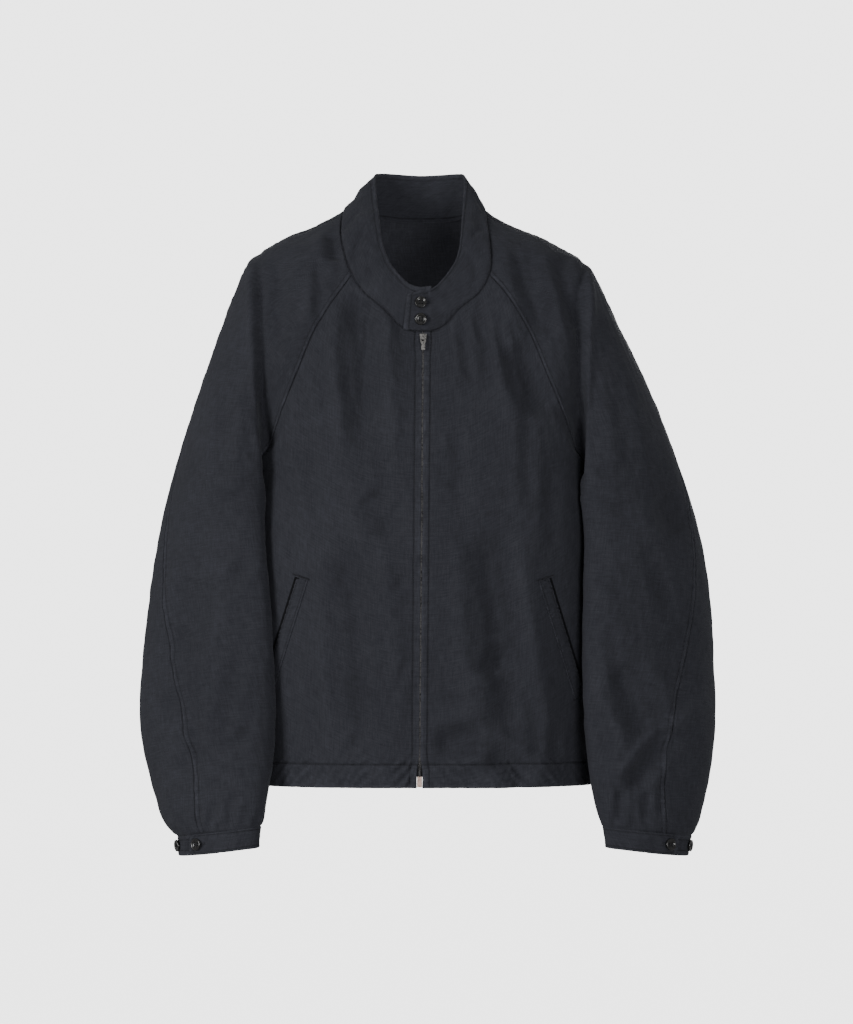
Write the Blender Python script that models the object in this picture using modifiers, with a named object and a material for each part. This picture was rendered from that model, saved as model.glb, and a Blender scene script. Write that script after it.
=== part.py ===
"""Harrington jacket: a short raglan-sleeved zip jacket with a buttoned stand collar, hollow, as worn.

Metres, +Z up, the front towards -Y, the wearer's right towards -X. The origin is the centre of the neck,
level with the neck seam at its sides and back. Every cloth piece is a wall lofted through sections worked out
below: the outer face follows the section tables, and the wall lies inside it.
"""
import math

import bmesh
import bpy
import numpy as np
from mathutils import Matrix, Vector
from mathutils.bvhtree import BVHTree

# ---- driving dimensions, in metres and degrees --------------------------------------------------------
WALL = 0.0016                 # cloth with its seam allowances
SEAM_GAP = 0.0004             # between pieces that are sewn together
TORSO_POWER = 2.5             # 2 is an ellipse, more is squarer
ARM_POWER = 2.2
ARCH_POWER = 2.3
HEM_HEIGHT = -0.669
HEM_TURN_UP = 0.027           # depth of the turned-up hem
UNDERARM_HEIGHT = -0.305
UNDERARM_SEAM_ANGLE = 225.0   # of the underarm seam, round the sleeve from its outer side by the front
ARM_CLEARANCE = 0.0060        # sleeve to body, below the raglan seam
CLEARANCE_RUN = 0.022         # how far below the seam it is reached
ARMPIT_RUN = 0.04             # share of the sleeve over which its seam leaves the armpit
ZIP_GAP = 0.0042              # between the two front edges
ZIP_FOOT_GAP = 0.0076         # and at the hem, beside the retainer box
ZIP_SPREAD_TOP = 0.040        # height over the hem at which the front edges start to spread
ZIP_SPREAD_RUN = 0.025        # and the height over which they do
ZIP_LEAN_TOP = 0.0015         # x of the zip's centre at the neck
ZIP_LEAN_FOOT = -0.0028       # and at the hem
SHOULDER_ALONG = 0.575        # places along the neck seam, from front centre (0) to back centre (1)
FRONT_CORNER_ALONG = 0.315
BACK_CORNER_ALONG = 0.795
CORNER_RUN = 0.5              # share of a raglan seam that bends to meet its corner
UNDERARM_ALONG = 0.36         # place along the sleeve, from neck (0) to cuff seam (1)
SHOULDER_SHIFT = 0.0180       # how much closer to the neck the wearer's left shoulder sits
SHIFT_START = 0.030           # distance from the centre plane at which that starts
SHIFT_RUN = 0.070             # and over which it grows
SHIFT_FOOT = -0.095           # height at which it starts
SHIFT_RISE = 0.085            # and over which it grows
COLLAR_LAP = 0.0195           # the wearer's left end of the collar past the front centre
COLLAR_UNDERLAP = 0.010       # the wearer's right end past the front centre, under the lap
COLLAR_BULGE = 0.0035         # how far the collar rounds out between its edges
LAP_BASE_WAY = (-1.08, 0.02, 0.06)     # where the lap's base runs, and its top
LAP_TOP_WAY = (-0.86, 0.02, -0.20)
UNDERLAP_BASE_WAY = (1.0, 0.02, 0.20)  # where the base of the end under it runs, and its top
UNDERLAP_TOP_WAY = (1.0, 0.02, 0.10)
LAP_DROP = 0.0045             # of the lapping end's top edge
LAP_DROP_RUN = 0.30           # share of the half neck seam over which it drops
LAP_RUN = 0.10                # share of the half neck seam over which the lap steps out
LAP_STEP = 0.0031             # how far a lapping end stands out over the end below it
BUTTON_RADIUS = 0.0070
BUTTON_THICK = 0.0030
BUTTON_HOLE = 0.0009          # radius of each of its four holes
HOLE_SPREAD = 1.9             # distance of a hole from the button's centre, in hole radii
BUTTON_PROFILE = ((0.0, 0.60), (0.58, 0.60), (0.70, 0.92), (0.92, 1.0), (1.0, 0.50), (0.84, 0.0), (0.0, 0.0))
BUTTON_SIDES = 18
HOLE_SIDES = 6
CUFF_TAB_ANGLE = 50.0         # where the cuff's tab ends, round the wrist from its outer side
CUFF_LAP_ANGLE = 40.0         # how far the tab runs over the cuff's under end
CUFF_STEP_START = 8.0         # how far past the under end the cuff starts to step out to the tab
CUFF_STEP_RUN = 30.0          # and the angle over which it does
CUFF_BUTTON_ANGLES = (64.0, 14.0)  # on the tab, and on the under end beside it
COLLAR_BUTTON_HEIGHTS = (-0.1068, -0.1262)
BUTTON_X = -0.0012            # of both collar buttons
BUTTON_TURN = 4.0             # angle each side of a cuff button over which the cuff's direction is measured
SLIDER_TOP = -0.1432
SLIDER_SIZE = (0.0086, 0.0120, 0.0014)    # width, length, thickness of its front plate
SLIDER_STAND = 0.0004         # of the plate over the cloth
BRIDGE_SIZE = (0.0020, 0.0070, 0.0030)    # the arch that holds the pull tab
BRIDGE_WALL = 0.0010
PULL_SIZE = (0.0048, 0.0150, 0.0011)
PULL_WINDOW = (0.0030, 0.0030)            # the hole that the arch passes through
PIVOT_STAND = 0.0010          # of the pull tab's axis over the slider's plate
PIVOT_DROP = -0.0017          # of the axis below the slider's centre
SLIDER_TAPER = 0.72           # width of the plate's lower end over its upper end
POST_SIZE = (0.0026, 0.0060, 0.0014)      # joins the slider to the tooth rows behind it
METAL_EDGE = 0.0003           # rounding of the slider's and the pull tab's edges
BOX_EDGE = 0.0005             # and of the retainer box's
BOX_SIZE = (0.0060, 0.0125, 0.0026)       # the zip's retainer box
BOX_LIFT = 0.0008             # of the box over the hem
BOX_STAND = 0.0008            # of its face over the cloth
TOOTH_DEPTH = 0.0009          # of the tooth rows behind the cloth's outer face
ZIP_WALL = 0.0014             # tape and teeth
ZIP_DROP = 0.002              # of the zip's upper end below the neck seam
TAPE_WIDTH = 0.0115           # of each tape, from the zip's centre
TAPE_LEAN = 0.0009            # how much further back the tape's outer edge lies
TAPE_STEP_ROWS = (0.001, 0.009)    # heights over the turned-up hem of the rows where the tape steps forward
TAPE_STEP_TOP = 0.008         # height over the turned-up hem at which that step ends
TAPE_STEP_RUN = 0.006         # and its height
TAPE_PLAIN_START = 0.030      # height over the turned-up hem of the first of the even rows
TOOTH_INNER = 0.0003          # nearest and furthest edge of a tooth row from the zip's centre
TOOTH_OUTER = 0.0016
POCKET_TOP = (0.1490, -0.4250)     # upper end of the pocket opening (distance from the centre, height)
POCKET_FOOT = (0.1935, -0.5660)    # lower end
WELT_WIDTH = 0.0130
WELT_STAND = 0.0008           # of the welt off the front
HEM_STEP = 0.006              # height of the step from the turned-up hem's edge to the single cloth
LEVEL_POWER = 1.5             # how late a panel's rows rise from its centre line to its side edge
NECK_FIT_POWER = 4.0          # how closely the sleeve's bend to the neck seam keeps to its upper end
PINCH_DROP = 1.5              # how far a seam's normal turns down where cloth doubles back under the arm
FOLD_SPOTS = 17               # places along a fold that its distance is measured from
FOLD_END = 0.06               # share of a fold's depth measure that is left at its very ends
FOLD_FADE = 3.5               # how fast a fold deepens from its ends
SHOULDER_HEIGHT = 0.35        # of the ridges beside a fold, in fold depths
SHOULDER_PLACE = 1.7          # distance of those ridges from it, in fold widths
SHOULDER_WIDTH = 0.6          # and their half-width, in fold widths
MERGE_DISTANCE = 0.00002


def table(names, rows):
    """Turns rows of numbers into named columns."""
    columns = np.array(rows, dtype=float).T
    return dict(zip(names.split(), columns))


# Level sections of the body, below and above the underarm.
TORSO = table("height half_width front back", [
    (-0.700, 0.2020, 0.1300, 0.1240),
    (-0.674, 0.2030, 0.1320, 0.1250),
    (-0.600, 0.2040, 0.1370, 0.1270),
    (-0.500, 0.2050, 0.1420, 0.1290),
    (-0.400, 0.2050, 0.1440, 0.1330),
    (-0.305, 0.2050, 0.1400, 0.1370),
    (-0.250, 0.2050, 0.1320, 0.1370),
    (-0.200, 0.2050, 0.1190, 0.1330),
    (-0.150, 0.2050, 0.1020, 0.1260),
    (-0.100, 0.2050, 0.0860, 0.1130),
    (-0.050, 0.2050, 0.0690, 0.0930),
    (0.0050, 0.2050, 0.0500, 0.0600),
])

# Raglan seams on the body, from the underarm (0) to the neck (1): the angle round the body, from the front
# centre, and the height.
RAGLAN_FRONT = table("along angle height", [
    (0.000, 90.0, -0.3050),
    (0.160, 73.0, -0.2880),
    (0.318, 56.8, -0.2600),
    (0.461, 47.2, -0.2195),
    (0.579, 40.3, -0.1860),
    (0.741, 32.8, -0.1390),
    (0.892, 24.3, -0.0990),
    (1.000, 18.6, -0.0730),
])
RAGLAN_BACK = table("along angle height", [
    (0.000, 90.0, -0.3050),
    (0.160, 106.0, -0.2800),
    (0.330, 120.0, -0.2350),
    (0.500, 131.0, -0.1820),
    (0.680, 142.0, -0.1200),
    (0.850, 153.0, -0.0580),
    (1.000, 165.0, 0.0030),
])

# The collar, from front centre (0) round the side to back centre (1): its neck seam and its top edge.
COLLAR = table("along base_x base_y base_z top_x top_y top_z", [
    (0.000, 0.0000, -0.0820, -0.1395, 0.0000, -0.0780, -0.0885),
    (0.075, 0.0230, -0.0815, -0.1350, 0.0134, -0.0755, -0.0852),
    (0.150, 0.0437, -0.0795, -0.1139, 0.0250, -0.0710, -0.0752),
    (0.237, 0.0673, -0.0750, -0.0944, 0.0378, -0.0620, -0.0585),
    (0.315, 0.0814, -0.0690, -0.0730, 0.0453, -0.0520, -0.0400),
    (0.425, 0.0926, -0.0500, -0.0410, 0.0497, -0.0350, -0.0120),
    (0.490, 0.0952, -0.0350, -0.0240, 0.0520, -0.0180, 0.0050),
    (0.575, 0.0932, -0.0020, 0.0020, 0.0553, 0.0140, 0.0370),
    (0.700, 0.0830, 0.0290, 0.0060, 0.0548, 0.0370, 0.0500),
    (0.795, 0.0620, 0.0455, 0.0030, 0.0450, 0.0490, 0.0515),
    (0.895, 0.0320, 0.0535, -0.0010, 0.0235, 0.0560, 0.0505),
    (1.000, 0.0000, 0.0560, -0.0020, 0.0000, 0.0585, 0.0495),
])

# Sections of the sleeves, from neck (0) to cuff seam (1): flattened rings from an outer to an inner end. The
# ends' distances from the centre differ between the wearer's right and left.
SLEEVE = table("along out_right out_left out_z out_y in_right in_left in_z in_y front back", [
    (0.000, 0.0932, 0.0932, 0.0020, -0.0020, 0.080, 0.080, -0.060, -0.020, 0.050, 0.050),
    (0.050, 0.1250, 0.1240, -0.0130, 0.0000, 0.100, 0.100, -0.090, -0.020, 0.060, 0.060),
    (0.110, 0.1690, 0.1660, -0.0310, 0.0010, 0.130, 0.130, -0.130, -0.025, 0.066, 0.070),
    (0.165, 0.2010, 0.1960, -0.0540, 0.0010, 0.150, 0.150, -0.165, -0.030, 0.070, 0.078),
    (0.220, 0.2240, 0.2175, -0.1003, 0.0010, 0.170, 0.166, -0.205, -0.035, 0.070, 0.078),
    (0.270, 0.2460, 0.2470, -0.1600, 0.0010, 0.181, 0.176, -0.245, -0.042, 0.069, 0.074),
    (0.315, 0.2675, 0.2745, -0.2220, 0.0000, 0.186, 0.183, -0.282, -0.051, 0.066, 0.075),
    (0.360, 0.2870, 0.2995, -0.2850, -0.0020, 0.185, 0.187, -0.312, -0.062, 0.062, 0.074),
    (0.440, 0.3050, 0.3225, -0.3560, -0.0070, 0.181, 0.187, -0.365, -0.075, 0.054, 0.070),
    (0.560, 0.3200, 0.3380, -0.4450, -0.0150, 0.178, 0.187, -0.447, -0.088, 0.048, 0.057),
    (0.690, 0.3300, 0.3430, -0.5350, -0.0260, 0.177, 0.188, -0.532, -0.097, 0.044, 0.047),
    (0.800, 0.3300, 0.3434, -0.6080, -0.0380, 0.177, 0.191, -0.605, -0.103, 0.042, 0.042),
    (0.890, 0.3170, 0.3350, -0.6670, -0.0500, 0.180, 0.196, -0.662, -0.108, 0.040, 0.039),
    (0.955, 0.3030, 0.3230, -0.7110, -0.0600, 0.183, 0.203, -0.698, -0.110, 0.036, 0.035),
    (1.000, 0.2850, 0.3140, -0.7270, -0.0680, 0.187, 0.209, -0.714, -0.109, 0.030, 0.030),
])

# How far each section is a ring (1) and not an arch that springs from the raglan seams (0), with the angles
# round the ring at which the front and the back sleeve piece start, and that of the over-arm seam.
SLEEVE_SEAMS = table("along ring start_front start_back overarm", [
    (0.000, 0.00, 130, 130, 0),
    (0.050, 0.00, 130, 130, 0),
    (0.110, 0.00, 135, 135, 0),
    (0.165, 0.12, 140, 145, 0),
    (0.220, 0.38, 145, 160, 0),
    (0.270, 0.66, 152, 180, 0),
    (0.315, 0.88, 170, 205, 2),
    (0.360, 1.00, 225, 135, 5),
    (0.440, 1.00, 225, 135, 12),
    (0.560, 1.00, 225, 135, 22),
    (0.690, 1.00, 225, 135, 32),
    (0.800, 1.00, 225, 135, 44),
    (0.890, 1.00, 225, 135, 58),
    (0.955, 1.00, 225, 135, 68),
    (1.000, 1.00, 225, 135, 72),
])

# The cuff's two edges, as rings like the sleeve's: the seam (0) and the lower edge (1).
CUFF = table("along out_right out_left out_z out_y in_right in_left in_z in_y front back", [
    (0.000, 0.2850, 0.3140, -0.7273, -0.0680, 0.187, 0.209, -0.7143, -0.109, 0.0300, 0.0300),
    (1.000, 0.2840, 0.3110, -0.7505, -0.0700, 0.188, 0.212, -0.7385, -0.109, 0.0285, 0.0285),
])

# The largest folds, as they run down the cloth: distance from the centre and height at the start, the middle
# and the end, with their half-width and how far they sink. side is -1 for the wearer's right, 1 for the left.
FOLDS = table("side zone x0 z0 x1 z1 x2 z2 width depth", [
    (-1, 0, 0.074, -0.085, 0.067, -0.165, 0.067, -0.295, 0.013, 0.0050),
    (-1, 0, 0.084, -0.380, 0.072, -0.460, 0.067, -0.620, 0.016, 0.0045),
    (-1, 0, 0.062, -0.327, 0.046, -0.350, 0.031, -0.380, 0.014, 0.0035),
    (1, 0, 0.108, -0.150, 0.128, -0.190, 0.139, -0.242, 0.014, 0.0050),
    (1, 0, 0.074, -0.372, 0.083, -0.445, 0.112, -0.630, 0.016, 0.0050),
    (1, 0, 0.070, -0.518, 0.082, -0.523, 0.094, -0.528, 0.011, 0.0035),
    (1, 0, 0.016, -0.622, 0.045, -0.615, 0.074, -0.609, 0.011, 0.0035),
    (1, 0, 0.074, -0.632, 0.104, -0.636, 0.126, -0.670, 0.011, 0.0035),
    (-1, 1, 0.168, -0.045, 0.166, -0.105, 0.164, -0.165, 0.013, 0.0050),
    (-1, 1, 0.098, -0.022, 0.097, -0.040, 0.096, -0.058, 0.011, 0.0040),
    (-1, 1, 0.194, -0.060, 0.193, -0.140, 0.185, -0.262, 0.014, 0.0120),
    (1, 1, 0.119, -0.042, 0.130, -0.095, 0.142, -0.148, 0.013, 0.0045),
    (1, 1, 0.157, -0.045, 0.166, -0.090, 0.181, -0.139, 0.012, 0.0050),
    (1, 1, 0.191, -0.066, 0.184, -0.130, 0.185, -0.262, 0.014, 0.0120),
    (-1, 1, 0.254, -0.424, 0.268, -0.470, 0.283, -0.522, 0.017, 0.0050),
    (-1, 1, 0.294, -0.633, 0.275, -0.634, 0.258, -0.630, 0.012, 0.0045),
    (1, 1, 0.280, -0.327, 0.292, -0.350, 0.303, -0.378, 0.015, 0.0045),
    (1, 1, 0.229, -0.524, 0.244, -0.575, 0.268, -0.607, 0.016, 0.0055),
    (1, 1, 0.294, -0.615, 0.262, -0.640, 0.238, -0.675, 0.014, 0.0085),
    (1, 1, 0.297, -0.624, 0.304, -0.637, 0.312, -0.650, 0.010, 0.0045),
    (-1, 2, 0.110, -0.300, 0.100, -0.400, 0.112, -0.560, 0.017, 0.0050),
    (1, 2, 0.060, -0.360, 0.072, -0.450, 0.060, -0.600, 0.018, 0.0050),
    (-1, 2, 0.030, -0.120, 0.060, -0.180, 0.120, -0.250, 0.015, 0.0045),
    (1, 2, 0.040, -0.130, 0.080, -0.200, 0.140, -0.262, 0.015, 0.0045),
    (-1, 3, 0.190, -0.100, 0.197, -0.160, 0.200, -0.230, 0.014, 0.0060),
    (1, 3, 0.188, -0.100, 0.195, -0.160, 0.200, -0.230, 0.014, 0.0060),
    (-1, 3, 0.290, -0.430, 0.262, -0.455, 0.235, -0.470, 0.013, 0.0050),
    (1, 3, 0.300, -0.420, 0.270, -0.440, 0.240, -0.462, 0.013, 0.0050),
    (-1, 3, 0.300, -0.560, 0.262, -0.590, 0.225, -0.610, 0.014, 0.0050),
    (1, 3, 0.305, -0.550, 0.270, -0.585, 0.235, -0.600, 0.014, 0.0050),
])
FRONT_ZONE, SLEEVE_FRONT_ZONE, BACK_ZONE, SLEEVE_BACK_ZONE = range(4)

# How finely each piece is divided.
BODY_ROWS = 11                # hem to underarm
RAGLAN_ROWS = 12              # underarm to neck
ARM_ROWS = 15                 # underarm to cuff seam
FRONT_COLUMNS = 10
BACK_COLUMNS = 9              # each side of the back centre
SLEEVE_COLUMNS = 10           # each sleeve piece
COLLAR_ROWS = 3
LAP_COLUMNS = 3               # of the collar's lap past the front centre
UNDERLAP_COLUMNS = 2          # and of the end under it
HEM_ROWS = 3                  # rows of the body panels that lie on the turned-up hem
CUFF_COLUMNS = 30
WELT_ROWS = 18
WELT_COLUMNS = 4
ZIP_ROWS = 17

# Colour, roughness and metallic value of each material.
MATERIALS = {
    "twill": ((0.022, 0.024, 0.034), 0.86, 0.0),
    "zip_tape": ((0.012, 0.013, 0.018), 0.80, 0.0),
    "zip_metal": ((0.62, 0.60, 0.56), 0.30, 1.0),
    "zip_box": ((0.70, 0.52, 0.42), 0.34, 1.0),
    "button": ((0.030, 0.024, 0.020), 0.28, 0.0),
}


# ---- curves -------------------------------------------------------------------------------------------
def smooth(knots, values, at, level_ends=False):
    """Reads a smooth curve through the values, whose knots ascend, at one or more places."""
    at = np.clip(np.asarray(at, dtype=float), knots[0], knots[-1])
    slopes = np.gradient(values, knots)
    if level_ends:
        slopes[0] = slopes[-1] = 0.0
    cell = np.clip(np.searchsorted(knots, at) - 1, 0, len(knots) - 2)
    width = knots[cell + 1] - knots[cell]
    t = (at - knots[cell]) / width
    start = (1 + 2 * t) * (1 - t) ** 2 * values[cell] + t * (1 - t) ** 2 * width * slopes[cell]
    end = t * t * (3 - 2 * t) * values[cell + 1] + t * t * (t - 1) * width * slopes[cell + 1]
    return start + end


def read(columns, name, at, key="along"):
    """Reads one named column of a table at one or more places along it."""
    return smooth(columns[key], columns[name], at)


def ease(value):
    """Goes from 0 to 1 with level ends."""
    value = np.clip(value, 0.0, 1.0)
    return value * value * (3 - 2 * value)


def zip_centre(height):
    """Gives the x of the zip's centre line, which leans a little."""
    share = (height - HEM_HEIGHT) / (COLLAR["base_z"][0] - HEM_HEIGHT)
    return ZIP_LEAN_FOOT + (ZIP_LEAN_TOP - ZIP_LEAN_FOOT) * share


def front_gap(height):
    """Gives the gap between the front edges, which spreads at the retainer box."""
    return ZIP_GAP + (ZIP_FOOT_GAP - ZIP_GAP) * ease((HEM_HEIGHT + ZIP_SPREAD_TOP - height) / ZIP_SPREAD_RUN)


def body_point(angle, height):
    """Places points on the body's outer face: angle 0 is the front centre, 90 degrees the side."""
    power = 2 / TORSO_POWER
    half = read(TORSO, "half_width", height, "height")
    reach = np.abs(np.cos(angle)) ** power
    front = -read(TORSO, "front", height, "height") * reach
    back = read(TORSO, "back", height, "height") * reach
    x = half * np.abs(np.sin(angle)) ** power
    y = np.where(np.cos(angle) > 0, front, back)
    return np.stack([x, y, height + 0 * x], axis=-1)


def body_angle(distance, height):
    """Gives the angle at which the body's outer face is this far from the centre plane."""
    half = read(TORSO, "half_width", height, "height")
    return np.arcsin(np.clip(distance / half, 0, 1) ** (TORSO_POWER / 2))


def collar_edge(edge, along):
    """Places points on the collar's neck seam or top edge, which cross the centre plane squarely."""
    knots = COLLAR["along"]
    parts = [smooth(knots, COLLAR[edge + axis], along, axis != "x") for axis in ("x", "y", "z")]
    return np.stack(parts, axis=-1)


def neck_point(along):
    """Places points on the neck seam, from front centre (0) to back centre (1)."""
    return collar_edge("base_", along)


def collar_top_point(along):
    """Places points on the collar's top edge."""
    return collar_edge("top_", along)


def raglan_point(seam, along, corner):
    """Places points on a raglan seam, which ends at its corner on the neck seam."""
    angle = np.radians(read(seam, "angle", along))
    points = body_point(angle, read(seam, "height", along))
    end = body_point(np.radians(seam["angle"][-1:]), seam["height"][-1:])[0]
    miss = neck_point(corner) - end
    return points + miss * ease((np.asarray(along)[..., None] - 1 + CORNER_RUN) / CORNER_RUN)


def shift_shoulder(points):
    """Brings the wearer's left shoulder and the collar beside it in towards the neck."""
    across = ease((points[..., 0] - SHIFT_START) / SHIFT_RUN)
    upward = ease((points[..., 2] - SHIFT_FOOT) / SHIFT_RISE)
    moved = points.copy()
    moved[..., 0] -= SHOULDER_SHIFT * across * upward
    return moved


# ---- fitting and walls --------------------------------------------------------------------------------
def fit_edges(grid, first=None, last=None, bottom=None, top=None, power=2.0):
    """Moves a grid so that its edges meet the given curves, less and less away from each edge."""
    rows, columns = grid.shape[:2]
    across = np.linspace(0, 1, columns)[None, :, None]
    up = np.linspace(0, 1, rows)[:, None, None]
    if first is not None:
        grid = grid + (first - grid[:, 0])[:, None, :] * (1 - across) ** power
    if last is not None:
        grid = grid + (last - grid[:, -1])[:, None, :] * across ** power
    if bottom is not None:
        grid = grid + (bottom - grid[0])[None, :, :] * (1 - up) ** (2 * power)
    if top is not None:
        grid = grid + (top - grid[-1])[None, :, :] * up ** (2 * power)
    return grid


def grid_normals(grid, outward):
    """Gives unit normals over a grid. outward is 1 or -1, whichever makes them point out of the garment."""
    along = np.gradient(grid, axis=0)
    across = np.gradient(grid, axis=1)
    normals = np.cross(across, along) * outward
    return normals / np.maximum(np.linalg.norm(normals, axis=-1, keepdims=True), 1e-12)


class Panel:
    """One cloth piece: its outer face as a grid of points, and the normals that its wall follows."""

    def __init__(self, name, grid, outward, zone=None, side=0, corner=0):
        self.name = name
        self.grid = grid
        self.zone = zone
        self.side = side
        self.corner = corner      # the row at the underarm, where the side edges turn into another seam
        self.normals = grid_normals(grid, outward)


def share_at_seams(panels, values):
    """Averages values at the points where panels meet, so that both sides of a seam have the same ones."""
    keys = [[tuple(key) for key in np.round(panel.grid.reshape(-1, 3), 5) + 0.0] for panel in panels]
    flat = [value.reshape(len(key), -1) for value, key in zip(values, keys)]
    sums, counts = {}, {}
    for panel_keys, panel_values in zip(keys, flat):
        for key, value in zip(panel_keys, panel_values):
            sums[key] = sums.get(key, 0) + value
            counts[key] = counts.get(key, 0) + 1
    shared = [np.array([sums[key] / counts[key] for key in panel_keys]) for panel_keys in keys]
    return [new.reshape(value.shape) for new, value in zip(shared, values)]


def lay_folds(panels):
    """Sinks the folds into panels that are sewn together, and gives them shared normals at their seams."""
    means = share_at_seams(panels, [panel.normals for panel in panels])
    tightness = [1 - np.linalg.norm(mean, axis=-1, keepdims=True) for mean in means]
    # Where cloth doubles back under the arm, its two faces cancel out and the seam faces down.
    normals = [mean - np.array([0.0, 0.0, PINCH_DROP]) * tight ** 2 for mean, tight in zip(means, tightness)]
    normals = [normal / np.linalg.norm(normal, axis=-1, keepdims=True) for normal in normals]
    depths = share_at_seams(panels, [fold_depth(panel.grid, panel.zone, panel.side) for panel in panels])
    for panel, normal, depth in zip(panels, normals, depths):
        panel.normals = normal
        panel.grid = panel.grid - normal * depth[..., None]


def fold_depth(points, zone, side):
    """Adds up how far the folds of one zone sink the cloth at each point."""
    flat = np.stack([np.abs(points[..., 0]), points[..., 2]], axis=-1)
    own_side = np.sign(points[..., 0]) if side == 0 else np.full(points.shape[:-1], side)
    depth = np.zeros(points.shape[:-1])
    for row in range(len(FOLDS["zone"])):
        if FOLDS["zone"][row] != zone:
            continue
        start, middle, end = (np.array([FOLDS[f"x{k}"][row], FOLDS[f"z{k}"][row]]) for k in range(3))
        nearest = np.full(points.shape[:-1], np.inf)
        fade = np.zeros(points.shape[:-1])
        for t in np.linspace(0, 1, FOLD_SPOTS):
            spot = (1 - t) ** 2 * start + 2 * t * (1 - t) * middle + t * t * end
            gap = np.linalg.norm(flat - spot, axis=-1)
            closer = gap < nearest
            nearest = np.where(closer, gap, nearest)
            fade = np.where(closer, ease(FOLD_FADE * (FOLD_END + min(t, 1 - t))), fade)
        reach = nearest / FOLDS["width"][row]
        trough = np.exp(-reach ** 2)
        ridge = SHOULDER_HEIGHT * np.exp(-((reach - SHOULDER_PLACE) / SHOULDER_WIDTH) ** 2)
        depth += np.where(own_side == FOLDS["side"][row], FOLDS["depth"][row] * fade * (trough - ridge), 0)
    return depth


def inset(panel, points, edges):
    """Draws the chosen edges in by half a seam gap, square to each seam and in the cloth's plane."""
    moved = points.copy()
    grids = {"bottom": (0, 1), "top": (-1, -2), "first": (0, 1), "last": (-1, -2)}
    for edge in edges:
        rim, inner = grids[edge]
        along_rows = edge in ("first", "last")
        grid = panel.grid.swapaxes(0, 1) if along_rows else panel.grid
        normals = panel.normals.swapaxes(0, 1) if along_rows else panel.normals
        target = moved.swapaxes(0, 1) if along_rows else moved
        count = grid.shape[1]
        corner = panel.corner if along_rows else 0
        stretches = [slice(0, corner + 1), slice(corner, count)] if corner else [slice(0, count)]
        for stretch in stretches:
            seam = grid[rim, stretch]
            square = np.cross(np.gradient(seam, axis=0), normals[rim, stretch])
            square /= np.linalg.norm(square, axis=-1, keepdims=True)
            inward = np.sum(square * (grid[inner, stretch] - seam), axis=-1, keepdims=True)
            target[rim, stretch] += square * np.where(inward < 0, -1, 1) * SEAM_GAP / 2
    return moved


def wall_mesh(name, outer, inner):
    """Lofts a closed wall between two grids of the same size."""
    rows, columns = outer.shape[:2]
    mesh = bpy.data.meshes.new(name)
    work = bmesh.new()
    outside = [[work.verts.new(point) for point in row] for row in outer]
    inside = [[work.verts.new(point) for point in row] for row in inner]
    for i in range(rows - 1):
        for j in range(columns - 1):
            work.faces.new((outside[i][j], outside[i][j + 1], outside[i + 1][j + 1], outside[i + 1][j]))
            work.faces.new((inside[i][j], inside[i + 1][j], inside[i + 1][j + 1], inside[i][j + 1]))
    rim = [(0, j) for j in range(columns)] + [(i, columns - 1) for i in range(1, rows)]
    rim += [(rows - 1, j) for j in range(columns - 2, -1, -1)] + [(i, 0) for i in range(rows - 2, 0, -1)]
    for (i, j), (k, m) in zip(rim, rim[1:] + rim[:1]):
        near_out, near_in = outside[i][j], inside[i][j]
        far_out, far_in = outside[k][m], inside[k][m]
        # Both sides of a seam split their rims along the same diagonal, from the lower outer point.
        if near_out.co.z < far_out.co.z:
            work.faces.new((far_out, near_out, far_in))
            work.faces.new((near_out, near_in, far_in))
        else:
            work.faces.new((far_out, near_out, near_in))
            work.faces.new((far_out, near_in, far_in))
    bmesh.ops.recalc_face_normals(work, faces=work.faces)
    work.to_mesh(mesh)
    work.free()
    return mesh


def material(name):
    """Makes one of the named materials, or finds it."""
    if name in bpy.data.materials:
        return bpy.data.materials[name]
    colour, roughness, metallic = MATERIALS[name]
    made = bpy.data.materials.new(name)
    made.use_nodes = True
    shader = made.node_tree.nodes["Principled BSDF"]
    shader.inputs["Base Color"].default_value = (*colour, 1.0)
    shader.inputs["Roughness"].default_value = roughness
    shader.inputs["Metallic"].default_value = metallic
    return made


def add_object(mesh, name, material_name, collection):
    """Puts a mesh in the scene as a named part, shaded smooth but for its edges."""
    made = bpy.data.objects.new(name, mesh)
    mesh.materials.clear()
    mesh.materials.append(material(material_name))
    mesh.shade_smooth()
    mesh.set_sharp_from_angle(angle=math.radians(50))
    collection.objects.link(made)
    return made


def add_wall(panel, collection, edges, thickness=WALL, material_name="twill"):
    """Builds a panel's cloth wall, which lies inside its outer face."""
    thick = np.broadcast_to(np.asarray(thickness, dtype=float), panel.grid.shape[:2])[..., None]
    outer = inset(panel, panel.grid, edges)
    inner = inset(panel, panel.grid - panel.normals * thick, edges)
    return add_object(wall_mesh(panel.name, outer, inner), panel.name, material_name, collection)


# ---- body panels --------------------------------------------------------------------------------------
def seam_heights():
    """Gives the heights of the level rows from the hem to just under the underarm, closer at the hem."""
    turn_up_top = HEM_HEIGHT + HEM_TURN_UP
    hem = [HEM_HEIGHT, HEM_HEIGHT + HEM_TURN_UP / 2, turn_up_top]
    return np.array(hem + list(np.linspace(turn_up_top + HEM_STEP, UNDERARM_HEIGHT, BODY_ROWS - 2)))


def side_edge(seam, corner):
    """Gives a body panel's side edge: the side seam up to the underarm, then the raglan seam to the neck."""
    heights = seam_heights()
    side_seam = body_point(np.full(len(heights), math.pi / 2), heights)
    raglan = raglan_point(seam, np.linspace(0, 1, RAGLAN_ROWS + 1)[1:], corner)
    return np.concatenate([side_seam, raglan])


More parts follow.
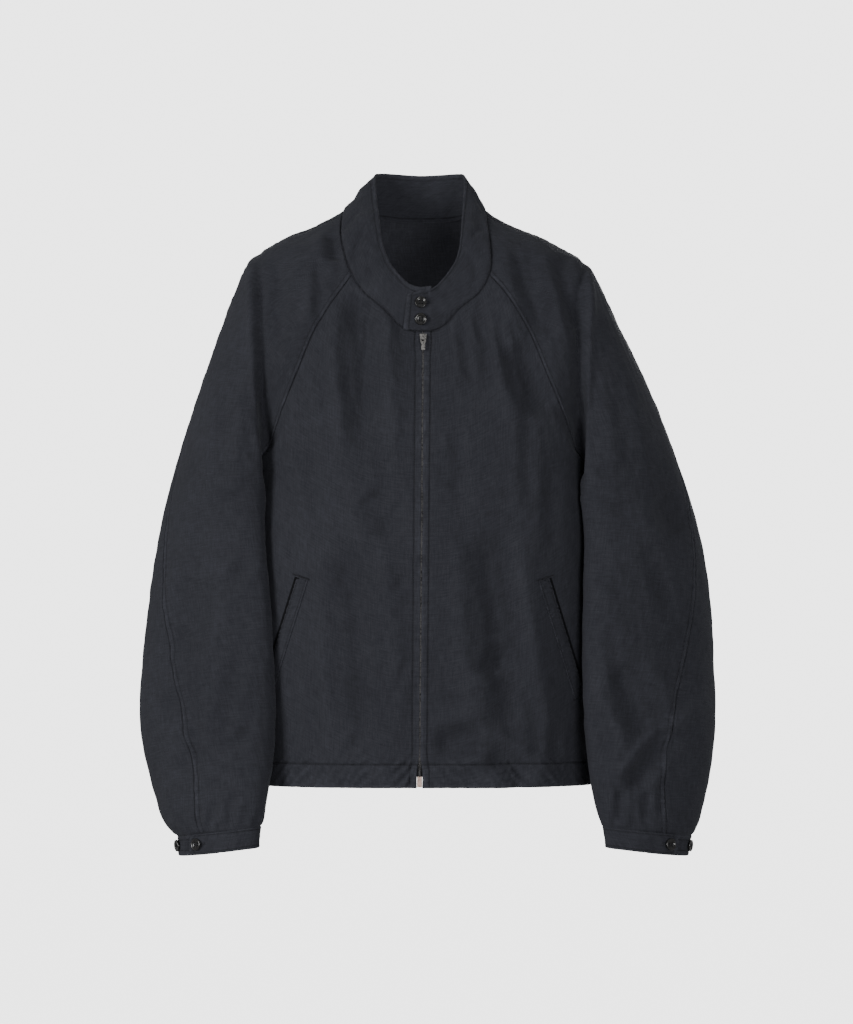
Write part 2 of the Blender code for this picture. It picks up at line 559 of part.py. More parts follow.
def panel_rows(edge, centre_angle, centre_top, columns):
    """Fills in a body panel between its centre line and its side edge, on the body's face."""
    heights = seam_heights()
    raglan_along = np.linspace(0, 1, RAGLAN_ROWS + 1)[1:]
    centre = np.concatenate([heights, UNDERARM_HEIGHT + (centre_top - UNDERARM_HEIGHT) * raglan_along])
    distance = np.abs(edge[:, 0])
    end_angle = body_angle(distance, edge[:, 2])
    end_angle = np.where(np.arange(len(edge)) < len(heights), math.pi / 2, end_angle)
    if centre_angle > 1:
        end_angle = math.pi - end_angle
    share = np.linspace(0, 1, columns + 1)
    rows = []
    for start, finish, turn in zip(centre, edge[:, 2], end_angle):
        angle = centre_angle + (turn - centre_angle) * share
        height = start + (finish - start) * share ** LEVEL_POWER
        rows.append(body_point(angle, height))
    return np.array(rows)


def front_panel(side):
    """Makes one front's outer face, from the zip edge to the side."""
    edge = side_edge(RAGLAN_FRONT, FRONT_CORNER_ALONG)
    grid = panel_rows(edge, 0.0, COLLAR["base_z"][0], FRONT_COLUMNS)
    neck = neck_point(np.linspace(0, FRONT_CORNER_ALONG, FRONT_COLUMNS + 1))
    grid = fit_edges(grid, last=edge, top=neck)
    grid[..., 0] *= side
    shift = zip_centre(grid[:, 0, 2]) + side * front_gap(grid[:, 0, 2]) / 2
    fade = (1 - np.linspace(0, 1, FRONT_COLUMNS + 1)) ** 2
    grid[..., 0] += shift[:, None] * fade[None, :]
    grid = shift_shoulder(grid)
    return Panel(side_name("front", side), grid, side, FRONT_ZONE, side, len(seam_heights()) - 1)


def back_panel():
    """Makes the back's outer face, from the wearer's right side to the left."""
    edge = side_edge(RAGLAN_BACK, BACK_CORNER_ALONG)
    half = panel_rows(edge, math.pi, COLLAR["base_z"][-1], BACK_COLUMNS)
    neck = neck_point(np.linspace(1, BACK_CORNER_ALONG, BACK_COLUMNS + 1))
    half = fit_edges(half, last=edge, top=neck)
    right = half[:, ::-1].copy()
    right[..., 0] *= -1
    grid = shift_shoulder(np.concatenate([right, half[:, 1:]], axis=1))
    return Panel("back", grid, -1, BACK_ZONE, 0, len(seam_heights()) - 1)


# ---- sleeves ------------------------------------------------------------------------------------------
def ring_point(columns, along, angle, side):
    """Places points on the flattened rings of a sleeve or cuff: 0 degrees is the outer end, 90 the front."""
    outer = np.array([read(columns, name, along) for name in (side_name("out", side), "out_y", "out_z")])
    inner = np.array([read(columns, name, along) for name in (side_name("in", side), "in_y", "in_z")])
    power = 2 / ARM_POWER
    turn = np.radians(angle)
    long_way = np.sign(np.cos(turn)) * np.abs(np.cos(turn)) ** power
    deep_way = np.sign(np.sin(turn)) * np.abs(np.sin(turn)) ** power
    depth = np.where(deep_way > 0, read(columns, "front", along), read(columns, "back", along))
    points = (outer + inner)[None, :] / 2 + long_way[:, None] * (outer - inner)[None, :] / 2
    points[:, 1] -= deep_way * depth
    return points


def seam_height(angle):
    """Gives the height of the raglan seam at an angle in degrees round the body from the front centre."""
    front = np.interp(angle, RAGLAN_FRONT["angle"][::-1], RAGLAN_FRONT["height"][::-1])
    back = np.interp(angle, RAGLAN_BACK["angle"], RAGLAN_BACK["height"])
    return np.where(angle < 90, front, back)


def clear_of_body(points):
    """Pushes points below the raglan seams off the body, so that the sleeve hangs clear of it."""
    x, y, height = points[..., 0], points[..., 1], points[..., 2]
    half = read(TORSO, "half_width", height, "height")
    depth = np.where(y < 0, read(TORSO, "front", height, "height"), read(TORSO, "back", height, "height"))
    across = (np.abs(x) / half) ** TORSO_POWER
    outward = (np.abs(y) / depth) ** TORSO_POWER
    reach = (across + outward) ** (1 / TORSO_POWER)
    angle = np.degrees(np.arctan2(np.sqrt(across), np.sqrt(outward) * -np.sign(y)))
    drop = seam_height(angle) - height
    clearance = ARM_CLEARANCE * ease(drop / CLEARANCE_RUN) / np.hypot(x, y)
    push = np.where(drop > -CLEARANCE_RUN, np.maximum((1 + clearance) / reach, 1.0), 1.0)
    return np.stack([x * push, y * push, height], axis=-1)


def sleeve_places():
    """Gives the places of the sleeve's rows, from the neck to the cuff seam."""
    upper = UNDERARM_ALONG * (1 - np.linspace(1, 0, RAGLAN_ROWS + 1))
    lower = np.linspace(UNDERARM_ALONG, 1, ARM_ROWS + 1)[1:]
    return np.concatenate([upper, lower])


def sleeve_panel(side, is_front):
    """Makes the front or back piece of one sleeve, from its body-side seam to the over-arm seam."""
    places = sleeve_places()
    seam, corner = (RAGLAN_FRONT, FRONT_CORNER_ALONG) if is_front else (RAGLAN_BACK, BACK_CORNER_ALONG)
    start_column = "start_front" if is_front else "start_back"
    turn_sign = 1 if is_front else -1
    share = np.linspace(0, 1, SLEEVE_COLUMNS + 1)
    rise = np.sin(share * math.pi / 2) ** (2 / ARCH_POWER)
    fall = np.cos(share * math.pi / 2) ** (2 / ARCH_POWER)
    armpit = raglan_point(seam, np.array([0.0]), corner)[0]
    armpit_miss = armpit - ring_point(SLEEVE, UNDERARM_ALONG, np.array([UNDERARM_SEAM_ANGLE]), side)[0]
    rows = []
    for place in places:
        raglan_part = place <= UNDERARM_ALONG
        start = turn_sign * read(SLEEVE_SEAMS, start_column, place)
        if not raglan_part:
            start = UNDERARM_SEAM_ANGLE if is_front else UNDERARM_SEAM_ANGLE - 360.0
        finish = read(SLEEVE_SEAMS, "overarm", place)
        ring = ring_point(SLEEVE, place, start + (finish - start) * share, side)
        if raglan_part:
            origin = raglan_point(seam, np.array([1 - place / UNDERARM_ALONG]), corner)[0]
        else:
            origin = ring[0] + armpit_miss * math.exp(-(place - UNDERARM_ALONG) / ARMPIT_RUN)
        end = ring_point(SLEEVE, place, np.array([finish]), side)[0]
        arch = origin[None, :] + (end - origin)[None, :] * rise[:, None]
        arch[:, 1] = end[1] + (origin[1] - end[1]) * fall
        weight = float(np.clip(read(SLEEVE_SEAMS, "ring", place), 0, 1))
        row = (1 - weight) * arch + weight * ring
        row += (origin - row[0])[None, :] * ((1 - share) ** 2)[:, None]
        rows.append(row)
    rows = np.array(rows)
    grid = clear_of_body(rows)
    grid[:RAGLAN_ROWS + 1, 0] = rows[:RAGLAN_ROWS + 1, 0]
    neck = neck_point(np.linspace(corner, SHOULDER_ALONG, SLEEVE_COLUMNS + 1))
    grid = fit_edges(grid, bottom=neck, power=NECK_FIT_POWER)
    grid[..., 0] *= side
    grid = shift_shoulder(grid)
    outward = -side if is_front else side
    name = side_name("sleeve_front" if is_front else "sleeve_back", side)
    return Panel(name, grid, outward, SLEEVE_FRONT_ZONE if is_front else SLEEVE_BACK_ZONE, side, RAGLAN_ROWS)


def side_name(stem, side):
    """Names a piece by the wearer's side that it is on."""
    return stem + ("_right" if side < 0 else "_left")


# ---- collar and cuffs ---------------------------------------------------------------------------------
def collar_half_places():
    """Gives places along half the neck seam that meet every point of the panels sewn to it."""
    return np.concatenate([
        np.linspace(0, FRONT_CORNER_ALONG, FRONT_COLUMNS + 1),
        np.linspace(FRONT_CORNER_ALONG, SHOULDER_ALONG, SLEEVE_COLUMNS + 1)[1:],
        np.linspace(SHOULDER_ALONG, BACK_CORNER_ALONG, SLEEVE_COLUMNS + 1)[1:],
        np.linspace(BACK_CORNER_ALONG, 1, BACK_COLUMNS + 1)[1:],
    ])


def collar_panel():
    """Makes the collar's outer face: from the under end, round the back, to the lap on the wearer's left."""
    places = collar_half_places()
    base = neck_point(places)
    top = collar_top_point(places)
    mirror = np.array([-1.0, 1.0, 1.0])
    left_top = top.copy()
    left_top[:, 2] -= LAP_DROP * ease(1 - places / LAP_DROP_RUN)
    lap = np.linspace(0, COLLAR_LAP, LAP_COLUMNS + 1)[1:, None]
    lap_base = base[0] + lap * np.array(LAP_BASE_WAY)
    lap_top = left_top[0] + lap * np.array(LAP_TOP_WAY)
    under = np.linspace(COLLAR_UNDERLAP, 0, UNDERLAP_COLUMNS + 1)[:-1, None]
    under_base = base[0] + under * np.array(UNDERLAP_BASE_WAY)
    under_top = top[0] + under * np.array(UNDERLAP_TOP_WAY)
    bases = np.concatenate([under_base, base * mirror, base[::-1][1:], lap_base])
    tops = np.concatenate([under_top, top * mirror, left_top[::-1][1:], lap_top])
    share = np.linspace(0, 1, COLLAR_ROWS + 1)[:, None, None]
    grid = shift_shoulder(bases[None] * (1 - share) + tops[None] * share)
    panel = Panel("collar", grid, -1)
    bulge = COLLAR_BULGE * np.sin(np.linspace(0, math.pi, COLLAR_ROWS + 1))
    panel.grid = grid + panel.normals * bulge[:, None, None]
    left_places = np.concatenate([places[::-1][1:], np.zeros(len(lap))])
    right_columns = grid.shape[1] - len(left_places)
    step = np.concatenate([np.zeros(right_columns), 1 - ease(left_places / LAP_RUN)])
    panel.normals = grid_normals(panel.grid, -1)
    panel.grid = panel.grid + panel.normals * (LAP_STEP * step)[None, :, None]
    return panel


def cuff_panel(side):
    """Makes one cuff's outer face: from the under end, round the wrist, to the tab end that laps over it."""
    angles = np.linspace(CUFF_TAB_ANGLE + CUFF_LAP_ANGLE + 360.0, CUFF_TAB_ANGLE, CUFF_COLUMNS + 1)
    heights = np.array([0.0, 0.5, 1.0])
    grid = np.array([ring_point(CUFF, height, angles, side) for height in heights])
    grid[..., 0] *= side
    panel = Panel(side_name("cuff", side), grid, -side)
    step_end = CUFF_TAB_ANGLE + CUFF_LAP_ANGLE + CUFF_STEP_START + CUFF_STEP_RUN
    rise = ease((step_end - angles) / CUFF_STEP_RUN)
    panel.grid = grid + panel.normals * (LAP_STEP * rise)[None, :, None]
    return panel


# ---- trims --------------------------------------------------------------------------------------------
class Face:
    """A panel's outer face, as a surface that trims are laid on."""

    def __init__(self, panel):
        rows, columns = panel.grid.shape[:2]
        quads = [(i * columns + j, i * columns + j + 1, (i + 1) * columns + j + 1, (i + 1) * columns + j)
                 for i in range(rows - 1) for j in range(columns - 1)]
        self.tree = BVHTree.FromPolygons([Vector(point) for point in panel.grid.reshape(-1, 3)], quads)

    def from_front(self, x, height):
        """Finds the point and the normal of the face, seen from the front at this x and height."""
        spot, normal, _, _ = self.tree.ray_cast(Vector((x, -1.0, height)), Vector((0.0, 1.0, 0.0)))
        if normal.y > 0:
            normal = -normal
        return spot, normal


def welt_panel(side, face):
    """Makes a pocket welt's outer face: a strip on the front, on the centre side of the pocket opening."""
    slope_x = POCKET_FOOT[0] - POCKET_TOP[0]
    slope_z = POCKET_FOOT[1] - POCKET_TOP[1]
    length = math.hypot(slope_x, slope_z)
    rows = []
    for share in np.linspace(0, 1, WELT_ROWS):
        row = []
        for across in np.linspace(0, 1, WELT_COLUMNS):
            x = POCKET_TOP[0] + slope_x * share + WELT_WIDTH * across * slope_z / length
            height = POCKET_TOP[1] + slope_z * share - WELT_WIDTH * across * slope_x / length
            row.append(face.from_front(side * x, height)[0])
        rows.append(row)
    panel = Panel(side_name("welt", side), np.array(rows), side, FRONT_ZONE, side)
    panel.grid = panel.grid + panel.normals * (WALL + WELT_STAND)
    return panel


def zip_panel(side, front, face):
    """Makes one zip tape's outer face, behind the front edge, with the tooth row between the two edges."""
    edge = front.grid[:, 0]
    low = HEM_HEIGHT + BOX_LIFT + BOX_SIZE[1] + SEAM_GAP
    turn_up_top = HEM_HEIGHT + HEM_TURN_UP
    high = COLLAR["base_z"][0] - ZIP_DROP
    steps = [turn_up_top + rise for rise in TAPE_STEP_ROWS]
    rows = []
    for height in [low] + steps + list(np.linspace(turn_up_top + TAPE_PLAIN_START, high, ZIP_ROWS)):
        centre = zip_centre(height)
        edge_y = np.interp(height, edge[:, 2], edge[:, 1])
        hem_share = ease((turn_up_top + TAPE_STEP_TOP - height) / TAPE_STEP_RUN)
        behind = WALL * (1 + hem_share) + SEAM_GAP
        spread = (front_gap(height) - ZIP_GAP) / 2
        outer_x = centre + side * TAPE_WIDTH
        outer_y = max(face.from_front(outer_x, height)[0].y, edge_y) + TAPE_LEAN
        offsets = (TOOTH_INNER, TOOTH_OUTER, TOOTH_OUTER + SEAM_GAP + spread / 2)
        levels = (edge_y + TOOTH_DEPTH, edge_y + TOOTH_DEPTH, edge_y + behind)
        row = [(centre + side * offset, level, height) for offset, level in zip(offsets, levels)]
        rows.append(row + [(outer_x, outer_y + behind, height)])
    return Panel(side_name("zip", side), np.array(rows), side)


def frame_at(spot, normal):
    """Gives the placement whose Y axis points along the normal and whose X axis is level."""
    outward = Vector(normal).normalized()
    across = outward.cross(Vector((0.0, 0.0, 1.0))).normalized()
    upward = across.cross(outward).normalized()
    placed = Matrix((across, outward, upward)).transposed().to_4x4()
    placed.translation = Vector(spot)
    return placed


def box_mesh(name, size, centre):
    """Makes a box: its size and its centre across, outward and upward."""
    mesh = bpy.data.meshes.new(name)
    work = bmesh.new()
    bmesh.ops.create_cube(work, size=1.0)
    bmesh.ops.scale(work, vec=size, verts=work.verts)
    bmesh.ops.translate(work, vec=centre, verts=work.verts)
    work.to_mesh(mesh)
    work.free()
    return mesh


def add_modifier(target, kind, **settings):
    """Adds a modifier with its settings."""
    modifier = target.modifiers.new(kind.lower(), kind)
    for setting, value in settings.items():
        setattr(modifier, setting, value)
    return modifier


def add_cutter(mesh, name, placement, cutters):
    """Puts a shape that cuts or joins another in the scene, out of the model."""
    made = bpy.data.objects.new(name, mesh)
    made.hide_render = True
    made.display_type = "WIRE"
    made.matrix_world = placement
    cutters.objects.link(made)
    return made


def hole_mesh():
    """Makes the four rods that cut a button's holes."""
    mesh = bpy.data.meshes.new("button_holes")
    work = bmesh.new()
    for turn in (45, 135, 225, 315):
        rod = bmesh.ops.create_cone(work, cap_ends=True, segments=HOLE_SIDES, radius1=BUTTON_HOLE,
                                    radius2=BUTTON_HOLE, depth=4 * BUTTON_THICK)
        way = Vector((math.cos(math.radians(turn)), math.sin(math.radians(turn)), 0.0))
        spot = way * BUTTON_HOLE * HOLE_SPREAD
        bmesh.ops.translate(work, vec=spot, verts=rod["verts"])
    bmesh.ops.rotate(work, cent=(0, 0, 0), matrix=Matrix.Rotation(math.pi / 2, 3, "X"), verts=work.verts)
    work.to_mesh(mesh)
    work.free()
    return mesh


def add_button(name, spot, normal, holes, collection, cutters):
    """Turns a four-hole button with a raised rim, just clear of the cloth at the spot."""
    profile = [(BUTTON_RADIUS * across, BUTTON_THICK * rise) for across, rise in BUTTON_PROFILE]
    placement = frame_at(Vector(spot) + Vector(normal).normalized() * SEAM_GAP, normal)
    mesh = bpy.data.meshes.new(name)
    mesh.from_pydata([(distance, height, 0.0) for distance, height in profile],
                     [(k, k + 1) for k in range(len(profile) - 1)], [])
    made = add_object(mesh, name, "button", collection)
    made.matrix_world = placement
    add_modifier(made, "SCREW", axis="Y", steps=BUTTON_SIDES, render_steps=BUTTON_SIDES,
                 use_merge_vertices=True, merge_threshold=MERGE_DISTANCE, use_normal_calculate=True)
    add_modifier(made, "BOOLEAN", object=add_cutter(holes, name + "_holes", placement, cutters))


def slider_frame(front_faces):
    """Gives the slider's placement: its centre on the cloth's face at the zip, leaning with the chest."""
    centre_height = SLIDER_TOP - SLIDER_SIZE[1] / 2
    x = zip_centre(centre_height)
    spots = [face.from_front(x + side * ZIP_GAP, centre_height) for face, side in zip(front_faces, (-1, 1))]
    upper = [face.from_front(x + side * ZIP_GAP, SLIDER_TOP)[0] for face, side in zip(front_faces, (-1, 1))]
    spot = (spots[0][0] + spots[1][0]) / 2
    rise = (upper[0] + upper[1]) / 2 - spot
    normal = Vector((0.0, -rise.z, rise.y)).normalized()
    return frame_at(Vector((x, spot.y, centre_height)), normal)


def add_slider(placement, collection, cutters):
    """Builds the zip slider: a tapered front plate, a post to the teeth and the arch for the pull tab."""
    width, length, thick = SLIDER_SIZE
    plate = box_mesh("zip_slider", (width, thick, length), (0.0, SLIDER_STAND + thick / 2, 0.0))
    for vertex in plate.vertices:
        if vertex.co.z < 0:
            vertex.co.x *= SLIDER_TAPER
    made = add_object(plate, "zip_slider", "zip_metal", collection)
    made.matrix_world = placement
    add_modifier(made, "BEVEL", width=METAL_EDGE, segments=1)
    surface = SLIDER_STAND + thick
    arch_width, arch_length, arch_height = BRIDGE_SIZE
    bite = thick / 2
    arch = box_mesh("arch", (arch_width, arch_height + bite, arch_length),
                    (0.0, surface + (arch_height - bite) / 2, 0.0))
    clear_height = arch_height - BRIDGE_WALL
    clear_length = arch_length - 2 * BRIDGE_WALL
    window = box_mesh("arch_window", (2 * arch_width, clear_height, clear_length),
                      (0.0, surface + clear_height / 2, 0.0))
    post = box_mesh("post", (POST_SIZE[0], POST_SIZE[2], POST_SIZE[1]),
                    (0.0, SLIDER_STAND + bite - POST_SIZE[2] / 2, 0.0))
    for mesh, operation in ((arch, "UNION"), (window, "DIFFERENCE"), (post, "UNION")):
        cutter = add_cutter(mesh, "slider_" + mesh.name, placement, cutters)
        add_modifier(made, "BOOLEAN", object=cutter, operation=operation)


def add_pull_tab(placement, collection, cutters):
    """Builds the pull tab: a flat tab whose window passes over the slider's arch, hung on its upper bar."""
    width, length, thick = PULL_SIZE
    bar = thick / 2
    pivot = Vector((0.0, SLIDER_STAND + SLIDER_SIZE[2] + PIVOT_STAND, PIVOT_DROP))
    hung = placement @ Matrix.Translation(pivot)
    tab = box_mesh("pull_tab", (width, thick, length), (0.0, 0.0, bar - length / 2))
    made = add_object(tab, "pull_tab", "zip_metal", collection)
    made.matrix_world = hung
    add_modifier(made, "BEVEL", width=METAL_EDGE, segments=1)
    window = box_mesh("pull_window", (PULL_WINDOW[0], 3 * thick, PULL_WINDOW[1]),
                      (0.0, 0.0, -bar - PULL_WINDOW[1] / 2))
    add_modifier(made, "BOOLEAN", object=add_cutter(window, "pull_tab_window", hung, cutters))


def add_retainer_box(fronts, collection):
    """Builds the box at the foot of the zip, between the two front edges."""
    width, length, thick = BOX_SIZE
    height = HEM_HEIGHT + BOX_LIFT + length / 2
    edge_y = min(np.interp(height, front.grid[:, 0, 2], front.grid[:, 0, 1]) for front in fronts)
    centre = Vector((zip_centre(height), edge_y - BOX_STAND + thick / 2, height))
    box = box_mesh("zip_retainer", (width, thick, length), centre)
    made = add_object(box, "zip_retainer", "zip_box", collection)
    add_modifier(made, "BEVEL", width=BOX_EDGE, segments=2)


def add_buttons(collar, collection, cutters):
    """Sews the two collar buttons on the lap and two buttons on each cuff."""
    holes = hole_mesh()
    lap_face = Face(collar)
    for number, height in enumerate(COLLAR_BUTTON_HEIGHTS, 1):
        spot, normal = lap_face.from_front(BUTTON_X, height)
        add_button(f"button_collar_{number}", spot, normal, holes, collection, cutters)
    for side in (-1, 1):
        for number, angle in enumerate(CUFF_BUTTON_ANGLES, 1):
            ring = ring_point(CUFF, 0.5, np.array([angle - BUTTON_TURN, angle, angle + BUTTON_TURN]), side)
            ring[:, 0] *= side
            along = Vector(ring[2] - ring[0])
            normal = along.cross(Vector((0.0, 0.0, 1.0))).normalized()
            if normal.y > 0:
                normal = -normal
            lift = LAP_STEP if angle > CUFF_TAB_ANGLE else 0.0
            spot = Vector(ring[1]) + normal * lift
            add_button(f"{side_name('button_cuff', side)}_{number}", spot, normal, holes, collection, cutters)


def clear_scene():
    """Empties the scene."""
    for item in list(bpy.data.objects):
        bpy.data.objects.remove(item, do_unlink=True)


def build():
    """Builds the whole jacket."""
    clear_scene()
    collection = bpy.data.collections.new("harrington_jacket")
    cutters = bpy.data.collections.new("cutters")
    for group in (collection, cutters):
        bpy.context.scene.collection.children.link(group)
    fronts = [front_panel(side) for side in (-1, 1)]
    back = back_panel()
    sleeves = [sleeve_panel(side, is_front) for side in (-1, 1) for is_front in (True, False)]
    collar = collar_panel()
    lay_folds(fronts + [back] + sleeves)
    hem = np.where(np.arange(fronts[0].grid.shape[0]) < HEM_ROWS, 2 * WALL, WALL)[:, None]
    for panel in fronts:
        add_wall(panel, collection, ("last", "top"), hem)
    add_wall(back, collection, ("first", "last", "top"), hem)
    for panel in sleeves:
        add_wall(panel, collection, ("first", "last", "bottom", "top"))
    add_wall(collar, collection, ("bottom",))
    faces = [Face(front) for front in fronts]
    for side, front, face in zip((-1, 1), fronts, faces):
        add_wall(cuff_panel(side), collection, ("bottom",))
        add_wall(welt_panel(side, face), collection, ())
        add_wall(zip_panel(side, front, face), collection, (), ZIP_WALL, "zip_tape")
    placement = slider_frame(faces)
    add_slider(placement, collection, cutters)
    add_pull_tab(placement, collection, cutters)
    add_retainer_box(fronts, collection)
    add_buttons(collar, collection, cutters)


build()
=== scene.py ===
"""Looks of a harrington jacket: washed navy cotton twill, raglan sleeves, buttoned stand collar, front zip.

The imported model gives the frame. Every cloth piece is built again here on the same section tables, as a thin
shell with its creases, seam allowances, puckers and stitching, and stands for its plain solid. Metres, +Z up,
the front towards -Y, the wearer's right towards -X; the origin is the centre of the neck.
"""

import logging
import math
from dataclasses import dataclass, field, replace
from enum import Enum, IntEnum
from functools import cache

import bmesh
import bpy
import numpy as np
from mathutils import Matrix, Vector
from mathutils.bvhtree import BVHTree


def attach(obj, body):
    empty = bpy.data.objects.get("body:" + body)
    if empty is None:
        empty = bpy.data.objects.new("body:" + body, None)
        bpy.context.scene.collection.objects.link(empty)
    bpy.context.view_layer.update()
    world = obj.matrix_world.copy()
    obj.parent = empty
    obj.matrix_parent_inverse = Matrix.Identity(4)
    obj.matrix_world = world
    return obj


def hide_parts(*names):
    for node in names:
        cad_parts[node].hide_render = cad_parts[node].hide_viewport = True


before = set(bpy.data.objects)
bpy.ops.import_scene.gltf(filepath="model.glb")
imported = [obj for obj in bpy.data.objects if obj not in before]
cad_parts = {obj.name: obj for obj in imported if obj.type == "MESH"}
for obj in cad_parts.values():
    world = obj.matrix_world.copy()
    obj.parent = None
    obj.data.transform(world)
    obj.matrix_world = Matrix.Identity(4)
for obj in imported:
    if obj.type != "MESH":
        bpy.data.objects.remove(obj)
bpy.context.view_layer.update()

LOG = logging.getLogger("jacket")
Array = np.ndarray
Span = tuple[float, float]
Triple = tuple[float, float, float]


class Zone(Enum):
    """The parts of the jacket that creases are placed on."""

    FRONT = 0
    SLEEVE_FRONT = 1
    BACK = 2
    SLEEVE_BACK = 3


class Noise(IntEnum):
    """Seeds that set one kind of unevenness apart from the others."""

    DRAPE = 11
    CRUMPLE = 12
    FADE = 31
    COLLAR_DRAPE = 51
    COLLAR_CRUMPLE = 52
    CUFF_DRAPE = 61
    CUFF_CRUMPLE = 62
    TAPE = 81


class Edge(Enum):
    """The four edges of a cloth grid."""

    BOTTOM = "bottom"
    TOP = "top"
    FIRST = "first"
    LAST = "last"


class Side(Enum):
    """The wearer's sides, by the sign of X."""

    RIGHT = -1
    LEFT = 1

    @property
    def sign(self) -> int:
        """Gives -1 for the right and 1 for the left."""
        return self.value

    def name_of(self, stem: str) -> str:
        """Names a piece by its side."""
        return f"{stem}_{self.name.lower()}"


# ---- curves ----
def ease(value: Array | float) -> Array:
    """Goes from 0 to 1 with level ends.

    Args:
        value: where to read it; 0 and below give 0, 1 and above give 1.

    Returns:
        The eased share.
    """
    value = np.clip(value, 0.0, 1.0)
    return value * value * (3 - 2 * value)


def smooth(knots: Array, values: Array, at: Array | float, level_ends: bool = False) -> Array:
    """Reads a smooth curve through values.

    Args:
        knots: ascending places of the values.
        values: numbers or points, one for each knot.
        at: the places to read.
        level_ends: whether the curve starts and ends level.

    Returns:
        One number or point for each place.
    """
    at = np.clip(np.asarray(at, dtype=float), knots[0], knots[-1])
    slopes = np.gradient(values, knots, axis=0)
    if level_ends:
        slopes[0] = slopes[-1] = 0.0
    cell = np.clip(np.searchsorted(knots, at) - 1, 0, len(knots) - 2)
    shape = at.shape + (1,) * (values.ndim - 1)
    width = (knots[cell + 1] - knots[cell]).reshape(shape)
    t = (at - knots[cell]).reshape(shape) / width
    start = (1 + 2 * t) * (1 - t) ** 2 * values[cell] + t * (1 - t) ** 2 * width * slopes[cell]
    end = t * t * (3 - 2 * t) * values[cell + 1] + t * t * (t - 1) * width * slopes[cell + 1]
    return start + end


def chord(line: Array) -> Array:
    """Gives the length run along a line of points, at each point."""
    steps = np.linalg.norm(np.diff(line, axis=0), axis=-1)
    return np.concatenate([[0.0], np.cumsum(steps)])


def unit(vectors: Array) -> Array:
    """Scales vectors to length 1."""
    return vectors / np.maximum(np.linalg.norm(vectors, axis=-1, keepdims=True), 1e-12)


RIPPLE_WAVES = 14
RIPPLE_PITCH = (0.6, 1.5)


def ripple(points: Array, scale: float, seed: int, stretch: tuple[float, ...] = (1.0, 1.0, 1.0)) -> Array:
    """Gives a soft uneven wave in space, between about -1 and 1.

    Args:
        points: where to read it; the last axis is X, Y and Z, or fewer.
        scale: the usual distance between two crests, in metres.
        seed: picks one pattern.
        stretch: how much longer the waves are along each axis.

    Returns:
        One number for each point.
    """
    rng = np.random.default_rng(seed)
    axes = points.shape[-1]
    directions = unit(rng.normal(size=(RIPPLE_WAVES, axes)))
    pitch = 2 * math.pi / scale * rng.uniform(*RIPPLE_PITCH, size=(RIPPLE_WAVES, 1))
    phases = rng.uniform(0, 2 * math.pi, size=RIPPLE_WAVES)
    waves = (points / np.array(stretch[:axes])) @ (directions * pitch).T + phases
    return np.sin(waves).sum(axis=-1) / math.sqrt(RIPPLE_WAVES)


class Columns:
    """A short table of sizes with named columns, read as smooth curves."""

    def __init__(self, names: str, rows: list[tuple[float, ...]]) -> None:
        """Keeps the rows.

        Args:
            names: the columns' names, with spaces between.
            rows: one tuple of numbers for each section.
        """
        self.data = dict(zip(names.split(), np.array(rows, dtype=float).T))

    def __getitem__(self, name: str) -> Array:
        """Gives a whole column."""
        return self.data[name]

    def read(self, name: str, at: Array | float, key: str = "along") -> Array:
        """Reads one column.

        Args:
            name: the column.
            at: the places to read, along the key column.
            key: the column that places the rows.

        Returns:
            One number for each place.
        """
        return smooth(self.data[key], self.data[name], at)


# Level sections of the body, below and above the underarm.
TORSO = Columns("height half_width front back", [
    (-0.700, 0.2020, 0.1300, 0.1240),
    (-0.674, 0.2030, 0.1320, 0.1250),
    (-0.600, 0.2040, 0.1370, 0.1270),
    (-0.500, 0.2050, 0.1420, 0.1290),
    (-0.400, 0.2050, 0.1440, 0.1330),
    (-0.305, 0.2050, 0.1400, 0.1370),
    (-0.250, 0.2050, 0.1320, 0.1370),
    (-0.200, 0.2050, 0.1190, 0.1330),
    (-0.150, 0.2050, 0.1020, 0.1260),
    (-0.100, 0.2050, 0.0860, 0.1130),
    (-0.050, 0.2050, 0.0690, 0.0930),
    (0.0050, 0.2050, 0.0500, 0.0600),
])

# Raglan seams on the body, from the underarm (0) to the neck (1): the angle round the body from the
# front centre.
RAGLAN_FRONT = Columns("along angle height", [
    (0.000, 90.0, -0.3050),
    (0.120, 76.0, -0.3075),
    (0.220, 66.0, -0.2940),
    (0.318, 57.5, -0.2670),
    (0.461, 47.5, -0.2240),
    (0.579, 40.3, -0.1860),
    (0.741, 32.8, -0.1390),
    (0.892, 24.3, -0.0990),
    (1.000, 18.6, -0.0730),
])
RAGLAN_BACK = Columns("along angle height", [
    (0.000, 90.0, -0.3050),
    (0.160, 106.0, -0.2800),
    (0.330, 120.0, -0.2350),
    (0.500, 131.0, -0.1820),
    (0.680, 142.0, -0.1200),
    (0.850, 153.0, -0.0580),
    (1.000, 165.0, 0.0030),
])

